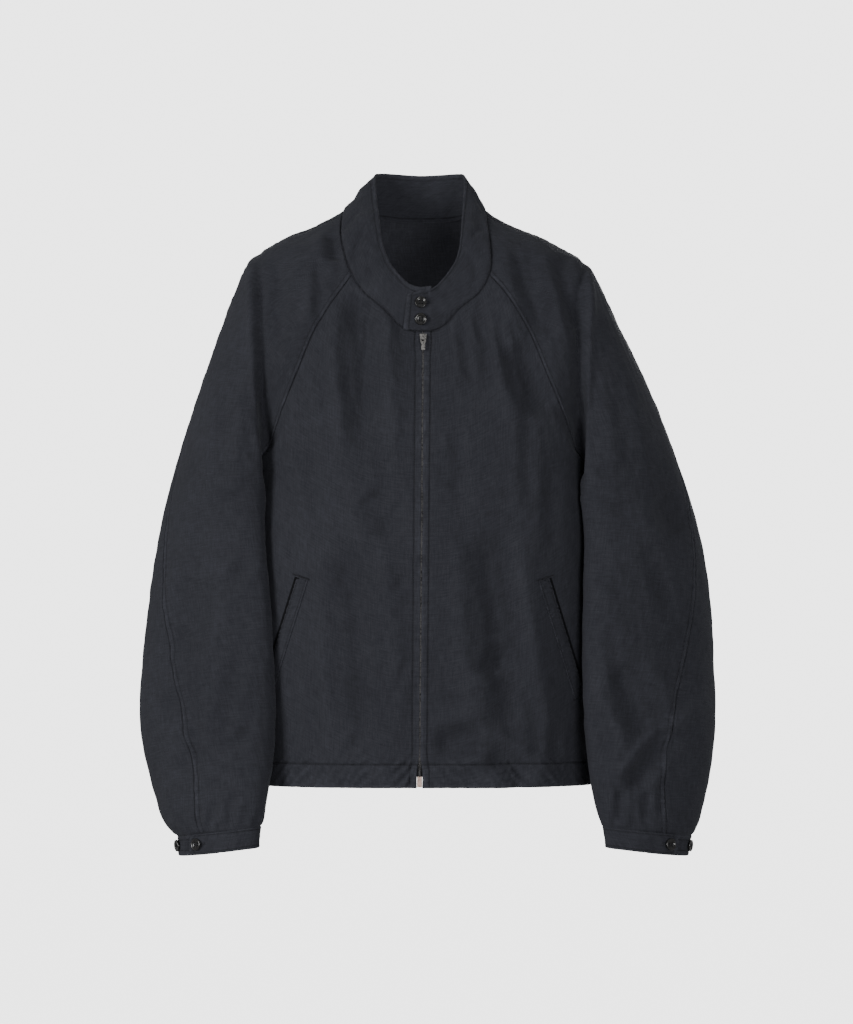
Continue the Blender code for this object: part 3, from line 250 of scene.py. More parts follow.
# The collar, from front centre (0) round the side to back centre (1): its neck seam and its top edge.
COLLAR = Columns("along base_x base_y base_z top_x top_y top_z", [
    (0.000, 0.0000, -0.0820, -0.1395, 0.0000, -0.0780, -0.0885),
    (0.075, 0.0230, -0.0815, -0.1350, 0.0134, -0.0755, -0.0852),
    (0.150, 0.0437, -0.0795, -0.1139, 0.0250, -0.0710, -0.0752),
    (0.237, 0.0673, -0.0750, -0.0944, 0.0378, -0.0620, -0.0585),
    (0.315, 0.0814, -0.0690, -0.0730, 0.0453, -0.0520, -0.0400),
    (0.425, 0.0926, -0.0500, -0.0410, 0.0497, -0.0350, -0.0120),
    (0.490, 0.0952, -0.0350, -0.0240, 0.0520, -0.0180, 0.0050),
    (0.575, 0.0932, -0.0020, 0.0020, 0.0553, 0.0140, 0.0370),
    (0.700, 0.0830, 0.0290, 0.0060, 0.0548, 0.0370, 0.0500),
    (0.795, 0.0620, 0.0455, 0.0030, 0.0450, 0.0490, 0.0515),
    (0.895, 0.0320, 0.0535, -0.0010, 0.0235, 0.0560, 0.0505),
    (1.000, 0.0000, 0.0560, -0.0020, 0.0000, 0.0585, 0.0495),
])

# Sections of the sleeves, from neck (0) to cuff seam (1): flattened rings from an outer to an inner end. The
# ends' distances from the centre differ between the wearer's right and left.
SLEEVE = Columns("along out_right out_left out_z out_y in_right in_left in_z in_y front back", [
    (0.000, 0.0932, 0.0932, 0.0020, -0.0020, 0.080, 0.080, -0.060, -0.020, 0.050, 0.050),
    (0.050, 0.1250, 0.1240, -0.0130, 0.0000, 0.100, 0.100, -0.090, -0.020, 0.060, 0.060),
    (0.110, 0.1690, 0.1660, -0.0310, 0.0010, 0.130, 0.130, -0.130, -0.025, 0.066, 0.070),
    (0.165, 0.2010, 0.1960, -0.0540, 0.0010, 0.150, 0.150, -0.165, -0.030, 0.070, 0.078),
    (0.220, 0.2240, 0.2175, -0.1003, 0.0010, 0.170, 0.166, -0.205, -0.035, 0.070, 0.078),
    (0.270, 0.2460, 0.2470, -0.1600, 0.0010, 0.180, 0.174, -0.245, -0.050, 0.070, 0.074),
    (0.315, 0.2675, 0.2745, -0.2220, 0.0000, 0.183, 0.180, -0.282, -0.064, 0.069, 0.075),
    (0.360, 0.2870, 0.2995, -0.2850, -0.0020, 0.183, 0.184, -0.312, -0.070, 0.065, 0.074),
    (0.440, 0.3050, 0.3225, -0.3560, -0.0070, 0.181, 0.187, -0.365, -0.075, 0.054, 0.070),
    (0.560, 0.3200, 0.3380, -0.4450, -0.0150, 0.178, 0.187, -0.447, -0.088, 0.048, 0.057),
    (0.690, 0.3300, 0.3430, -0.5350, -0.0260, 0.177, 0.188, -0.532, -0.097, 0.044, 0.047),
    (0.800, 0.3300, 0.3434, -0.6080, -0.0380, 0.177, 0.191, -0.605, -0.103, 0.042, 0.042),
    (0.890, 0.3170, 0.3350, -0.6670, -0.0500, 0.180, 0.196, -0.662, -0.108, 0.040, 0.039),
    (0.955, 0.3030, 0.3230, -0.7110, -0.0600, 0.183, 0.203, -0.698, -0.110, 0.036, 0.035),
    (1.000, 0.2850, 0.3140, -0.7295, -0.0680, 0.187, 0.209, -0.7165, -0.109, 0.030, 0.030),
])

# How far each section is a ring (1) and not an arch that springs from the raglan seams (0), with the angles
# round the ring at which the front and the back sleeve piece start, and that of the over-arm seam.
SLEEVE_SEAMS = Columns("along ring start_front start_back overarm", [
    (0.000, 0.00, 130, 130, 0),
    (0.050, 0.00, 130, 130, 0),
    (0.110, 0.00, 135, 135, 0),
    (0.165, 0.12, 140, 145, 0),
    (0.220, 0.38, 145, 160, 0),
    (0.270, 0.66, 158, 180, 0),
    (0.315, 0.88, 188, 205, 3),
    (0.360, 1.00, 225, 135, 10),
    (0.440, 1.00, 225, 135, 25),
    (0.560, 1.00, 225, 135, 43),
    (0.690, 1.00, 225, 135, 63),
    (0.800, 1.00, 225, 135, 75),
    (0.890, 1.00, 225, 135, 79),
    (0.955, 1.00, 225, 135, 73),
    (1.000, 1.00, 225, 135, 68),
])

# The cuff's two edges, as rings like the sleeve's: the seam (0) and the lower edge (1).
CUFF = Columns("along out_right out_left out_z out_y in_right in_left in_z in_y front back", [
    (0.000, 0.2850, 0.3140, -0.7273, -0.0680, 0.187, 0.209, -0.7143, -0.109, 0.0300, 0.0300),
    (1.000, 0.2840, 0.3110, -0.7505, -0.0700, 0.188, 0.212, -0.7385, -0.109, 0.0285, 0.0285),
])

# The largest folds, as they run down the cloth: distance from the centre and height at the start, the middle
# and the end, with their half-width and how far they sink. side is -1 for the wearer's right and +1 for
# the left.
FOLDS = Columns("side zone x0 z0 x1 z1 x2 z2 width depth", [
    (-1, 0, 0.074, -0.085, 0.067, -0.165, 0.067, -0.295, 0.018, 0.0113),
    (-1, 0, 0.084, -0.380, 0.072, -0.460, 0.067, -0.620, 0.022, 0.0101),
    (-1, 0, 0.062, -0.327, 0.046, -0.350, 0.031, -0.380, 0.019, 0.0078),
    (1, 0, 0.108, -0.150, 0.128, -0.190, 0.139, -0.242, 0.019, 0.0113),
    (1, 0, 0.074, -0.372, 0.083, -0.445, 0.112, -0.630, 0.022, 0.0113),
    (1, 0, 0.070, -0.518, 0.082, -0.523, 0.094, -0.528, 0.015, 0.0078),
    (1, 0, 0.016, -0.622, 0.045, -0.615, 0.074, -0.609, 0.015, 0.0078),
    (1, 0, 0.074, -0.632, 0.104, -0.636, 0.126, -0.670, 0.015, 0.0078),
    (-1, 1, 0.168, -0.045, 0.166, -0.105, 0.164, -0.165, 0.016, 0.0092),
    (-1, 1, 0.098, -0.022, 0.097, -0.040, 0.096, -0.058, 0.013, 0.0074),
    (1, 1, 0.119, -0.042, 0.130, -0.095, 0.142, -0.148, 0.016, 0.0083),
    (1, 1, 0.157, -0.045, 0.166, -0.090, 0.181, -0.139, 0.014, 0.0092),
    (-1, 1, 0.254, -0.424, 0.268, -0.470, 0.283, -0.522, 0.020, 0.0092),
    (-1, 1, 0.294, -0.633, 0.275, -0.634, 0.258, -0.630, 0.014, 0.0083),
    (1, 1, 0.280, -0.327, 0.292, -0.350, 0.303, -0.378, 0.018, 0.0083),
    (1, 1, 0.229, -0.524, 0.244, -0.575, 0.268, -0.607, 0.019, 0.0101),
    (1, 1, 0.294, -0.612, 0.262, -0.638, 0.236, -0.672, 0.0105, 0.0100),
    (1, 1, 0.297, -0.624, 0.304, -0.637, 0.312, -0.650, 0.012, 0.0083),
    (-1, 2, 0.110, -0.300, 0.100, -0.400, 0.112, -0.560, 0.023, 0.0113),
    (1, 2, 0.060, -0.360, 0.072, -0.450, 0.060, -0.600, 0.024, 0.0113),
    (-1, 2, 0.030, -0.120, 0.060, -0.180, 0.120, -0.250, 0.020, 0.0101),
    (1, 2, 0.040, -0.130, 0.080, -0.200, 0.140, -0.262, 0.020, 0.0101),
    (-1, 3, 0.190, -0.100, 0.197, -0.160, 0.200, -0.230, 0.017, 0.0111),
    (1, 3, 0.188, -0.100, 0.195, -0.160, 0.200, -0.230, 0.017, 0.0111),
    (-1, 3, 0.290, -0.430, 0.262, -0.455, 0.235, -0.470, 0.016, 0.0092),
    (1, 3, 0.300, -0.420, 0.270, -0.440, 0.240, -0.462, 0.016, 0.0092),
    (-1, 3, 0.300, -0.560, 0.262, -0.590, 0.225, -0.610, 0.017, 0.0092),
    (1, 3, 0.305, -0.550, 0.270, -0.585, 0.235, -0.600, 0.017, 0.0092),
])

# Where the sleeve hangs over itself beside the body: lip is the steep outer side's width, and width is the
# soft inner side's.
LAPS = Columns("side zone x0 z0 x1 z1 x2 z2 width depth lip", [
    (-1, 1, 0.1930, -0.036, 0.1955, -0.170, 0.1765, -0.330, 0.0180, 0.0150, 0.0030),
    (1, 1, 0.1890, -0.050, 0.1895, -0.170, 0.1820, -0.330, 0.0180, 0.0150, 0.0030),
])

# Smaller creases, placed as the folds above.
CREASES = Columns("side zone x0 z0 x1 z1 x2 z2 width depth", [
    (-1, 0, 0.044, -0.118, 0.050, -0.150, 0.052, -0.190, 0.006, 0.0026),
    (-1, 0, 0.058, -0.110, 0.062, -0.140, 0.061, -0.175, 0.006, 0.0022),
    (-1, 0, 0.095, -0.140, 0.088, -0.185, 0.086, -0.230, 0.007, 0.0022),
    (-1, 0, 0.112, -0.185, 0.104, -0.235, 0.104, -0.300, 0.008, 0.0022),
    (-1, 0, 0.040, -0.215, 0.046, -0.270, 0.042, -0.330, 0.008, 0.0021),
    (-1, 0, 0.136, -0.260, 0.120, -0.330, 0.118, -0.400, 0.009, 0.0026),
    (-1, 0, 0.160, -0.300, 0.150, -0.360, 0.152, -0.410, 0.009, 0.0025),
    (-1, 0, 0.108, -0.440, 0.098, -0.500, 0.100, -0.585, 0.009, 0.0034),
    (-1, 0, 0.126, -0.520, 0.120, -0.570, 0.124, -0.640, 0.008, 0.0026),
    (-1, 0, 0.040, -0.455, 0.044, -0.520, 0.038, -0.600, 0.009, 0.0025),
    (-1, 0, 0.022, -0.330, 0.030, -0.352, 0.040, -0.362, 0.005, 0.0022),
    (-1, 0, 0.018, -0.420, 0.026, -0.438, 0.036, -0.444, 0.005, 0.0018),
    (-1, 0, 0.016, -0.520, 0.026, -0.540, 0.034, -0.566, 0.005, 0.0021),
    (-1, 0, 0.070, -0.600, 0.078, -0.622, 0.092, -0.636, 0.006, 0.0025),
    (1, 0, 0.046, -0.120, 0.050, -0.160, 0.056, -0.205, 0.006, 0.0025),
    (1, 0, 0.066, -0.108, 0.074, -0.150, 0.080, -0.200, 0.007, 0.0025),
    (1, 0, 0.088, -0.130, 0.100, -0.170, 0.108, -0.220, 0.006, 0.0025),
    (1, 0, 0.124, -0.230, 0.118, -0.290, 0.126, -0.345, 0.008, 0.0025),
    (1, 0, 0.040, -0.245, 0.046, -0.300, 0.043, -0.360, 0.008, 0.0018),
    (1, 0, 0.150, -0.290, 0.146, -0.350, 0.150, -0.405, 0.009, 0.0026),
    (1, 0, 0.098, -0.395, 0.104, -0.450, 0.118, -0.520, 0.008, 0.0033),
    (1, 0, 0.054, -0.440, 0.060, -0.500, 0.066, -0.560, 0.008, 0.0026),
    (1, 0, 0.128, -0.560, 0.134, -0.600, 0.130, -0.640, 0.008, 0.0029),
    (1, 0, 0.156, -0.590, 0.150, -0.620, 0.156, -0.645, 0.007, 0.0025),
    (1, 0, 0.020, -0.300, 0.030, -0.318, 0.042, -0.322, 0.005, 0.0018),
    (1, 0, 0.020, -0.470, 0.032, -0.482, 0.044, -0.482, 0.005, 0.0021),
    (1, 0, 0.020, -0.560, 0.036, -0.572, 0.052, -0.570, 0.006, 0.0026),
    (1, 0, 0.046, -0.630, 0.062, -0.622, 0.080, -0.626, 0.006, 0.0030),
    (1, 0, 0.096, -0.600, 0.110, -0.612, 0.124, -0.616, 0.006, 0.0025),
    (-1, 1, 0.140, -0.050, 0.143, -0.100, 0.138, -0.150, 0.008, 0.0030),
    (-1, 1, 0.118, -0.060, 0.122, -0.095, 0.120, -0.130, 0.007, 0.0022),
    (-1, 1, 0.200, -0.290, 0.215, -0.300, 0.236, -0.296, 0.008, 0.0046),
    (-1, 1, 0.204, -0.330, 0.220, -0.338, 0.240, -0.332, 0.007, 0.0034),
    (-1, 1, 0.224, -0.215, 0.232, -0.270, 0.238, -0.330, 0.010, 0.0030),
    (-1, 1, 0.200, -0.400, 0.214, -0.430, 0.236, -0.446, 0.009, 0.0034),
    (-1, 1, 0.250, -0.355, 0.268, -0.400, 0.276, -0.455, 0.010, 0.0026),
    (-1, 1, 0.212, -0.520, 0.226, -0.560, 0.232, -0.610, 0.010, 0.0034),
    (-1, 1, 0.196, -0.600, 0.214, -0.622, 0.236, -0.626, 0.008, 0.0030),
    (-1, 1, 0.268, -0.560, 0.264, -0.600, 0.262, -0.640, 0.009, 0.0026),
    (-1, 1, 0.288, -0.650, 0.272, -0.655, 0.254, -0.662, 0.007, 0.0030),
    (-1, 1, 0.214, -0.676, 0.224, -0.694, 0.222, -0.712, 0.006, 0.0026),
    (-1, 1, 0.238, -0.684, 0.244, -0.698, 0.243, -0.714, 0.005, 0.0025),
    (-1, 1, 0.258, -0.690, 0.262, -0.704, 0.258, -0.716, 0.005, 0.0022),
    (1, 1, 0.142, -0.070, 0.150, -0.110, 0.156, -0.150, 0.007, 0.0029),
    (1, 1, 0.108, -0.040, 0.114, -0.070, 0.120, -0.100, 0.006, 0.0022),
    (1, 1, 0.200, -0.300, 0.216, -0.308, 0.236, -0.300, 0.008, 0.0046),
    (1, 1, 0.206, -0.340, 0.222, -0.350, 0.244, -0.346, 0.007, 0.0033),
    (1, 1, 0.226, -0.200, 0.236, -0.260, 0.246, -0.320, 0.010, 0.0030),
    (1, 1, 0.200, -0.410, 0.216, -0.436, 0.240, -0.450, 0.009, 0.0034),
    (1, 1, 0.258, -0.380, 0.274, -0.430, 0.290, -0.470, 0.010, 0.0029),
    (1, 1, 0.216, -0.480, 0.222, -0.520, 0.232, -0.560, 0.009, 0.0030),
    (1, 1, 0.200, -0.580, 0.214, -0.606, 0.222, -0.640, 0.009, 0.0034),
    (1, 1, 0.262, -0.540, 0.276, -0.575, 0.286, -0.600, 0.009, 0.0030),
    (1, 1, 0.282, -0.600, 0.262, -0.622, 0.246, -0.640, 0.006, 0.0038),
    (1, 1, 0.232, -0.668, 0.226, -0.690, 0.228, -0.712, 0.006, 0.0034),
    (1, 1, 0.258, -0.660, 0.262, -0.684, 0.258, -0.708, 0.006, 0.0026),
    (1, 1, 0.276, -0.650, 0.280, -0.680, 0.272, -0.706, 0.006, 0.0026),
    (-1, 2, 0.060, -0.080, 0.070, -0.120, 0.096, -0.160, 0.009, 0.0030),
    (1, 2, 0.058, -0.070, 0.070, -0.110, 0.094, -0.150, 0.009, 0.0030),
    (-1, 2, 0.150, -0.250, 0.140, -0.300, 0.150, -0.360, 0.010, 0.0038),
    (1, 2, 0.148, -0.260, 0.136, -0.310, 0.142, -0.370, 0.010, 0.0038),
    (-1, 2, 0.040, -0.400, 0.050, -0.460, 0.046, -0.540, 0.010, 0.0029),
    (1, 2, 0.110, -0.430, 0.116, -0.500, 0.106, -0.580, 0.010, 0.0033),
    (-1, 2, 0.150, -0.480, 0.144, -0.540, 0.152, -0.620, 0.010, 0.0034),
    (1, 2, 0.020, -0.300, 0.010, -0.360, 0.024, -0.430, 0.010, 0.0025),
    (-1, 3, 0.212, -0.280, 0.232, -0.300, 0.262, -0.300, 0.009, 0.0049),
    (1, 3, 0.214, -0.286, 0.236, -0.306, 0.268, -0.304, 0.009, 0.0049),
    (-1, 3, 0.215, -0.330, 0.238, -0.350, 0.268, -0.350, 0.008, 0.0034),
    (1, 3, 0.216, -0.336, 0.240, -0.352, 0.272, -0.346, 0.008, 0.0034),
    (-1, 3, 0.300, -0.500, 0.270, -0.520, 0.240, -0.530, 0.009, 0.0038),
    (1, 3, 0.310, -0.490, 0.276, -0.515, 0.244, -0.520, 0.009, 0.0038),
    (-1, 3, 0.290, -0.640, 0.262, -0.652, 0.236, -0.660, 0.008, 0.0034),
    (1, 3, 0.296, -0.640, 0.270, -0.650, 0.244, -0.652, 0.008, 0.0034),
])


# ---- the plain form ----
@dataclass(frozen=True)
class JacketForm:
    """The jacket's plain form: where its cloth lies and where its seams run, in metres and degrees."""

    hem_height: float = -0.669
    turn_up: float = 0.027
    underarm_height: float = -0.305
    torso_power: float = 2.5
    arm_power: float = 2.2
    arch_power: float = 2.3
    arm_clearance: float = 0.0060
    clearance_run: float = 0.022
    armpit_run: float = 0.04
    seam_pull: Span = (2.0, 9.0)
    overhang_right: Span = (0.0120, 0.0070)
    overhang_left: Span = (0.0095, 0.0010)
    overhang_place: Span = (0.330, 0.080)
    overhang_share: Span = (0.27, 0.17)
    overhang_end: Span = (0.82, 0.16)
    zip_gap: float = 0.0020
    slider_gap: float = 0.0038
    slider_place: Span = (-0.1500, 0.0105)
    zip_foot_gap: float = 0.0076
    zip_foot_run: Span = (0.040, 0.025)
    zip_lean: Span = (-0.0028, 0.0015)
    shoulder_along: float = 0.575
    front_corner: float = 0.315
    back_corner: float = 0.795
    underarm_along: float = 0.36
    underarm_seam_angle: float = 225.0
    above_turn_up: float = 0.006
    centre_rise_power: float = 1.5
    overhang_rise: float = 0.08
    shoulder_shift: float = 0.0180
    shift_across: Span = (0.030, 0.070)
    shift_upward: Span = (-0.095, 0.085)
    body_rows: int = 11
    raglan_rows: int = 12
    arm_rows: int = 15
    front_columns: int = 10
    back_columns: int = 9
    sleeve_columns: int = 10

    def zip_centre(self, height: Array | float) -> Array:
        """Gives the x of the zip's centre line, which leans a little.

        Args:
            height: where to read it.

        Returns:
            The x at each height.
        """
        share = (height - self.hem_height) / (COLLAR["base_z"][0] - self.hem_height)
        return self.zip_lean[0] + (self.zip_lean[1] - self.zip_lean[0]) * share

    def front_gap(self, height: Array | float) -> Array:
        """Gives the gap between the front edges, which spreads at the zip's foot.

        Args:
            height: where to read it.

        Returns:
            The gap at each height.
        """
        start, run = self.zip_foot_run
        foot = (self.zip_foot_gap - self.zip_gap) * ease((self.hem_height + start - height) / run)
        place, reach = self.slider_place
        beside = (self.slider_gap - self.zip_gap) * np.exp(-((height - place) / reach) ** 4)
        return self.zip_gap + foot + beside

    def shift_shoulder(self, points: Array) -> Array:
        """Brings the wearer's left shoulder and the collar beside it in towards the neck.

        Args:
            points: any points of the jacket.

        Returns:
            The moved points.
        """
        across = ease((points[..., 0] - self.shift_across[0]) / self.shift_across[1])
        upward = ease((points[..., 2] - self.shift_upward[0]) / self.shift_upward[1])
        moved = points.copy()
        moved[..., 0] -= self.shoulder_shift * across * upward
        return moved

    def body_point(self, angle: Array, height: Array) -> Array:
        """Places points on the body's outer face.

        Args:
            angle: radians round the body, 0 at the front centre.
            height: the points' heights.

        Returns:
            The points.
        """
        power = 2 / self.torso_power
        half = TORSO.read("half_width", height, "height")
        reach = np.abs(np.cos(angle)) ** power
        front = -TORSO.read("front", height, "height") * reach
        back = TORSO.read("back", height, "height") * reach
        x = half * np.abs(np.sin(angle)) ** power
        return np.stack([x, np.where(np.cos(angle) > 0, front, back), height + 0 * x], axis=-1)

    def body_angle(self, distance: Array, height: Array) -> Array:
        """Gives the angle at which the body's face is this far from the centre plane.

        Args:
            distance: from the centre plane.
            height: of each point.

        Returns:
            The angles in radians.
        """
        half = TORSO.read("half_width", height, "height")
        return np.arcsin(np.clip(distance / half, 0, 1) ** (self.torso_power / 2))

    def collar_edge(self, edge: str, along: Array) -> Array:
        """Places points on the collar's neck seam or top edge, which cross the centre plane squarely.

        Args:
            edge: "base_" for the neck seam or "top_" for the top edge.
            along: from front centre (0) to back centre (1).

        Returns:
            The points.
        """
        axes = [smooth(COLLAR["along"], COLLAR[edge + axis], along, axis != "x") for axis in "xyz"]
        return np.stack(axes, axis=-1)

    def raglan_point(self, seam: Columns, along: Array, corner: float) -> Array:
        """Places points on a raglan seam, which ends at its corner on the neck seam.

        Args:
            seam: the front or the back seam's table.
            along: from the underarm (0) to the neck (1).
            corner: the seam's end, as a place along the neck seam.

        Returns:
            The points.
        """
        points = self.body_point(np.radians(seam.read("angle", along)), seam.read("height", along))
        end = self.body_point(np.radians(seam["angle"][-1:]), seam["height"][-1:])[0]
        miss = self.collar_edge("base_", corner) - end
        return points + miss * ease((np.asarray(along)[..., None] - 0.5) / 0.5)

    def seam_heights(self) -> Array:
        """Gives the heights of the body's level rows, closer at the hem."""
        top = self.hem_height + self.turn_up
        hem = [self.hem_height, self.hem_height + self.turn_up / 2, top, top + self.above_turn_up]
        return np.array(hem + list(np.linspace(hem[-1], self.underarm_height, self.body_rows - 2)[1:]))

    def side_edge(self, seam: Columns, corner: float) -> Array:
        """Gives a body panel's side edge: the side seam, then the raglan seam.

        Args:
            seam: the raglan seam's table.
            corner: the seam's end along the neck seam.

        Returns:
            The edge's points, from the hem up.
        """
        heights = self.seam_heights()
        side_seam = self.body_point(np.full(len(heights), math.pi / 2), heights)
        raglan = self.raglan_point(seam, np.linspace(0, 1, self.raglan_rows + 1)[1:], corner)
        return np.concatenate([side_seam, raglan])

    def panel_rows(self, edge: Array, centre_angle: float, centre_top: float, columns: int) -> Array:
        """Fills in a body panel between its centre line and its side edge.

        Args:
            edge: the side edge's points.
            centre_angle: 0 for the front centre or pi for the back.
            centre_top: height of the centre line's upper end.
            columns: cells across.

        Returns:
            The grid of points.
        """
        heights = self.seam_heights()
        raglan_along = np.linspace(0, 1, self.raglan_rows + 1)[1:]
        upper = self.underarm_height + (centre_top - self.underarm_height) * raglan_along
        centre = np.concatenate([heights, upper])
        end_angle = self.body_angle(np.abs(edge[:, 0]), edge[:, 2])
        end_angle = np.where(np.arange(len(edge)) < len(heights), math.pi / 2, end_angle)
        if centre_angle > 1:
            end_angle = math.pi - end_angle
        share = np.linspace(0, 1, columns + 1)
        rows = []
        for start, finish, turn in zip(centre, edge[:, 2], end_angle):
            angle = centre_angle + (turn - centre_angle) * share
            rows.append(self.body_point(angle, start + (finish - start) * share ** self.centre_rise_power))
        return np.array(rows)

    def front_grid(self, side: int) -> Array:
        """Gives one front's plain face, from the zip edge to the side.

        Args:
            side: -1 for the wearer's right, 1 for the left.

        Returns:
            The grid of points.
        """
        edge = self.side_edge(RAGLAN_FRONT, self.front_corner)
        grid = self.panel_rows(edge, 0.0, COLLAR["base_z"][0], self.front_columns)
        neck = self.collar_edge("base_", np.linspace(0, self.front_corner, self.front_columns + 1))
        grid = fit_edges(grid, last=edge, top=neck)
        grid[..., 0] *= side
        shift = self.zip_centre(grid[:, 0, 2]) + side * self.front_gap(grid[:, 0, 2]) / 2
        fade = (1 - np.linspace(0, 1, self.front_columns + 1)) ** 2
        grid[..., 0] += shift[:, None] * fade[None, :]
        return self.shift_shoulder(grid)

    def back_grid(self) -> Array:
        """Gives the back's plain face, from the wearer's right side to the left."""
        edge = self.side_edge(RAGLAN_BACK, self.back_corner)
        half = self.panel_rows(edge, math.pi, COLLAR["base_z"][-1], self.back_columns)
        neck = self.collar_edge("base_", np.linspace(1, self.back_corner, self.back_columns + 1))
        half = fit_edges(half, last=edge, top=neck)
        right = half[:, ::-1].copy()
        right[..., 0] *= -1
        return self.shift_shoulder(np.concatenate([right, half[:, 1:]], axis=1))

    def ring_point(self, columns: Columns, along: float, angle: Array, side: int) -> Array:
        """Places points on the flattened rings of a sleeve or cuff.

        Args:
            columns: the sections' table.
            along: the section's place.
            angle: degrees, 0 at the outer end and 90 at the front.
            side: -1 for the wearer's right, 1 for the left, whose sizes differ a little.

        Returns:
            The points, on the side of positive x.
        """
        hand = "_right" if side < 0 else "_left"
        outer = np.array([columns.read(name, along) for name in ("out" + hand, "out_y", "out_z")])
        inner = np.array([columns.read(name, along) for name in ("in" + hand, "in_y", "in_z")])
        power = 2 / self.arm_power
        turn = np.radians(angle)
        long_way = np.sign(np.cos(turn)) * np.abs(np.cos(turn)) ** power
        deep_way = np.sign(np.sin(turn)) * np.abs(np.sin(turn)) ** power
        depth = np.where(deep_way > 0, columns.read("front", along), columns.read("back", along))
        points = (outer + inner)[None, :] / 2 + long_way[:, None] * (outer - inner)[None, :] / 2
        points[:, 1] -= deep_way * depth
        return points

    def seam_height(self, angle: Array) -> Array:
        """Gives the raglan seam's height.

        Args:
            angle: degrees round the body from the front centre.

        Returns:
            The height at each angle.
        """
        front = np.interp(angle, RAGLAN_FRONT["angle"][::-1], RAGLAN_FRONT["height"][::-1])
        back = np.interp(angle, RAGLAN_BACK["angle"], RAGLAN_BACK["height"])
        return np.where(angle < 90, front, back)

    def clear_of_body(self, points: Array) -> Array:
        """Pushes points below the raglan seams off the body, so that the sleeve hangs clear of it.

        Args:
            points: the sleeve's points, on the side of positive x.

        Returns:
            The moved points.
        """
        x, y, height = points[..., 0], points[..., 1], points[..., 2]
        half = TORSO.read("half_width", height, "height")
        front, back = TORSO.read("front", height, "height"), TORSO.read("back", height, "height")
        across = (np.abs(x) / half) ** self.torso_power
        outward = (np.abs(y) / np.where(y < 0, front, back)) ** self.torso_power
        reach = (across + outward) ** (1 / self.torso_power)
        angle = np.degrees(np.arctan2(np.sqrt(across), np.sqrt(outward) * -np.sign(y)))
        drop = self.seam_height(angle) - height
        clearance = self.arm_clearance * ease(drop / self.clearance_run) / np.hypot(x, y)
        push = np.where(drop > -self.clearance_run, np.maximum((1 + clearance) / reach, 1.0), 1.0)
        return np.stack([x * push, y * push, height], axis=-1)

    def overhang(self, place: float, share: Array, side: int) -> Array:
        """Gives how far the front of the sleeve hangs inward, over the armpit and beside the body.

        Args:
            place: from the neck (0) to the cuff seam (1).
            share: from the body side (0) to the over-arm seam (1).
            side: -1 for the wearer's right, 1 for the left.

        Returns:
            The distance at each share.
        """
        armpit, beside = self.overhang_right if side < 0 else self.overhang_left
        middle, reach = self.overhang_place
        centre, spread = self.overhang_share
        end, run = self.overhang_end
        lower = beside * float(place > middle)
        amount = lower + (armpit - lower) * math.exp(-((place - middle) / reach) ** 2)
        amount = amount * ease((end + run - place) / run)
        return amount * ease(share / self.overhang_rise) * np.exp(-((share - centre) / spread) ** 2)

    def sleeve_grid(self, side: int, is_front: bool) -> Array:
        """Gives the plain face of one sleeve's front or back piece, from its body side to the over-arm seam.

        Args:
            side: -1 for the wearer's right, 1 for the left.
            is_front: whether it is the front piece.

        Returns:
            The grid of points, from the neck down.
        """
        upper = self.underarm_along * np.linspace(0, 1, self.raglan_rows + 1)
        lower = np.linspace(self.underarm_along, 1, self.arm_rows + 1)[1:]
        seam, corner = (RAGLAN_FRONT, self.front_corner) if is_front else (RAGLAN_BACK, self.back_corner)
        share = np.linspace(0, 1, self.sleeve_columns + 1)
        rise = np.sin(share * math.pi / 2) ** (2 / self.arch_power)
        fall = np.cos(share * math.pi / 2) ** (2 / self.arch_power)
        armpit = self.raglan_point(seam, np.array([0.0]), corner)[0]
        seam_angle = np.array([self.underarm_seam_angle])
        armpit_miss = armpit - self.ring_point(SLEEVE, self.underarm_along, seam_angle, side)[0]
        rows = []
        for place in np.concatenate([upper, lower]):
            on_raglan = place <= self.underarm_along
            if on_raglan:
                column = "start_front" if is_front else "start_back"
                start = (1 if is_front else -1) * SLEEVE_SEAMS.read(column, place)
                origin = self.raglan_point(seam, 1 - np.array([place / self.underarm_along]), corner)[0]
            else:
                start = self.underarm_seam_angle - (0.0 if is_front else 360.0)
            finish = SLEEVE_SEAMS.read("overarm", place)
            ring = self.ring_point(SLEEVE, place, start + (finish - start) * share, side)
            if not on_raglan:
                origin = ring[0] + armpit_miss * math.exp((self.underarm_along - place) / self.armpit_run)
            end = self.ring_point(SLEEVE, place, np.array([finish]), side)[0]
            arch = origin[None, :] + (end - origin)[None, :] * rise[:, None]
            arch[:, 1] = end[1] + (origin[1] - end[1]) * fall
            weight = float(np.clip(SLEEVE_SEAMS.read("ring", place), 0, 1))
            row = (1 - weight) * arch + weight * ring
            pull = (1 - share) ** (self.seam_pull[0] + self.seam_pull[1] * weight)
            row = row + (origin - row[0])[None, :] * pull[:, None]
            if is_front:
                row[:, 0] -= self.overhang(place, share, side)
            rows.append(row)
        rows = np.array(rows)
        grid = self.clear_of_body(rows)
        grid[:self.raglan_rows + 1, 0] = rows[:self.raglan_rows + 1, 0]
        neck = self.collar_edge("base_", np.linspace(corner, self.shoulder_along, self.sleeve_columns + 1))
        grid = fit_edges(grid, bottom=neck, power=4.0)
        grid[..., 0] *= side
        return self.shift_shoulder(grid)


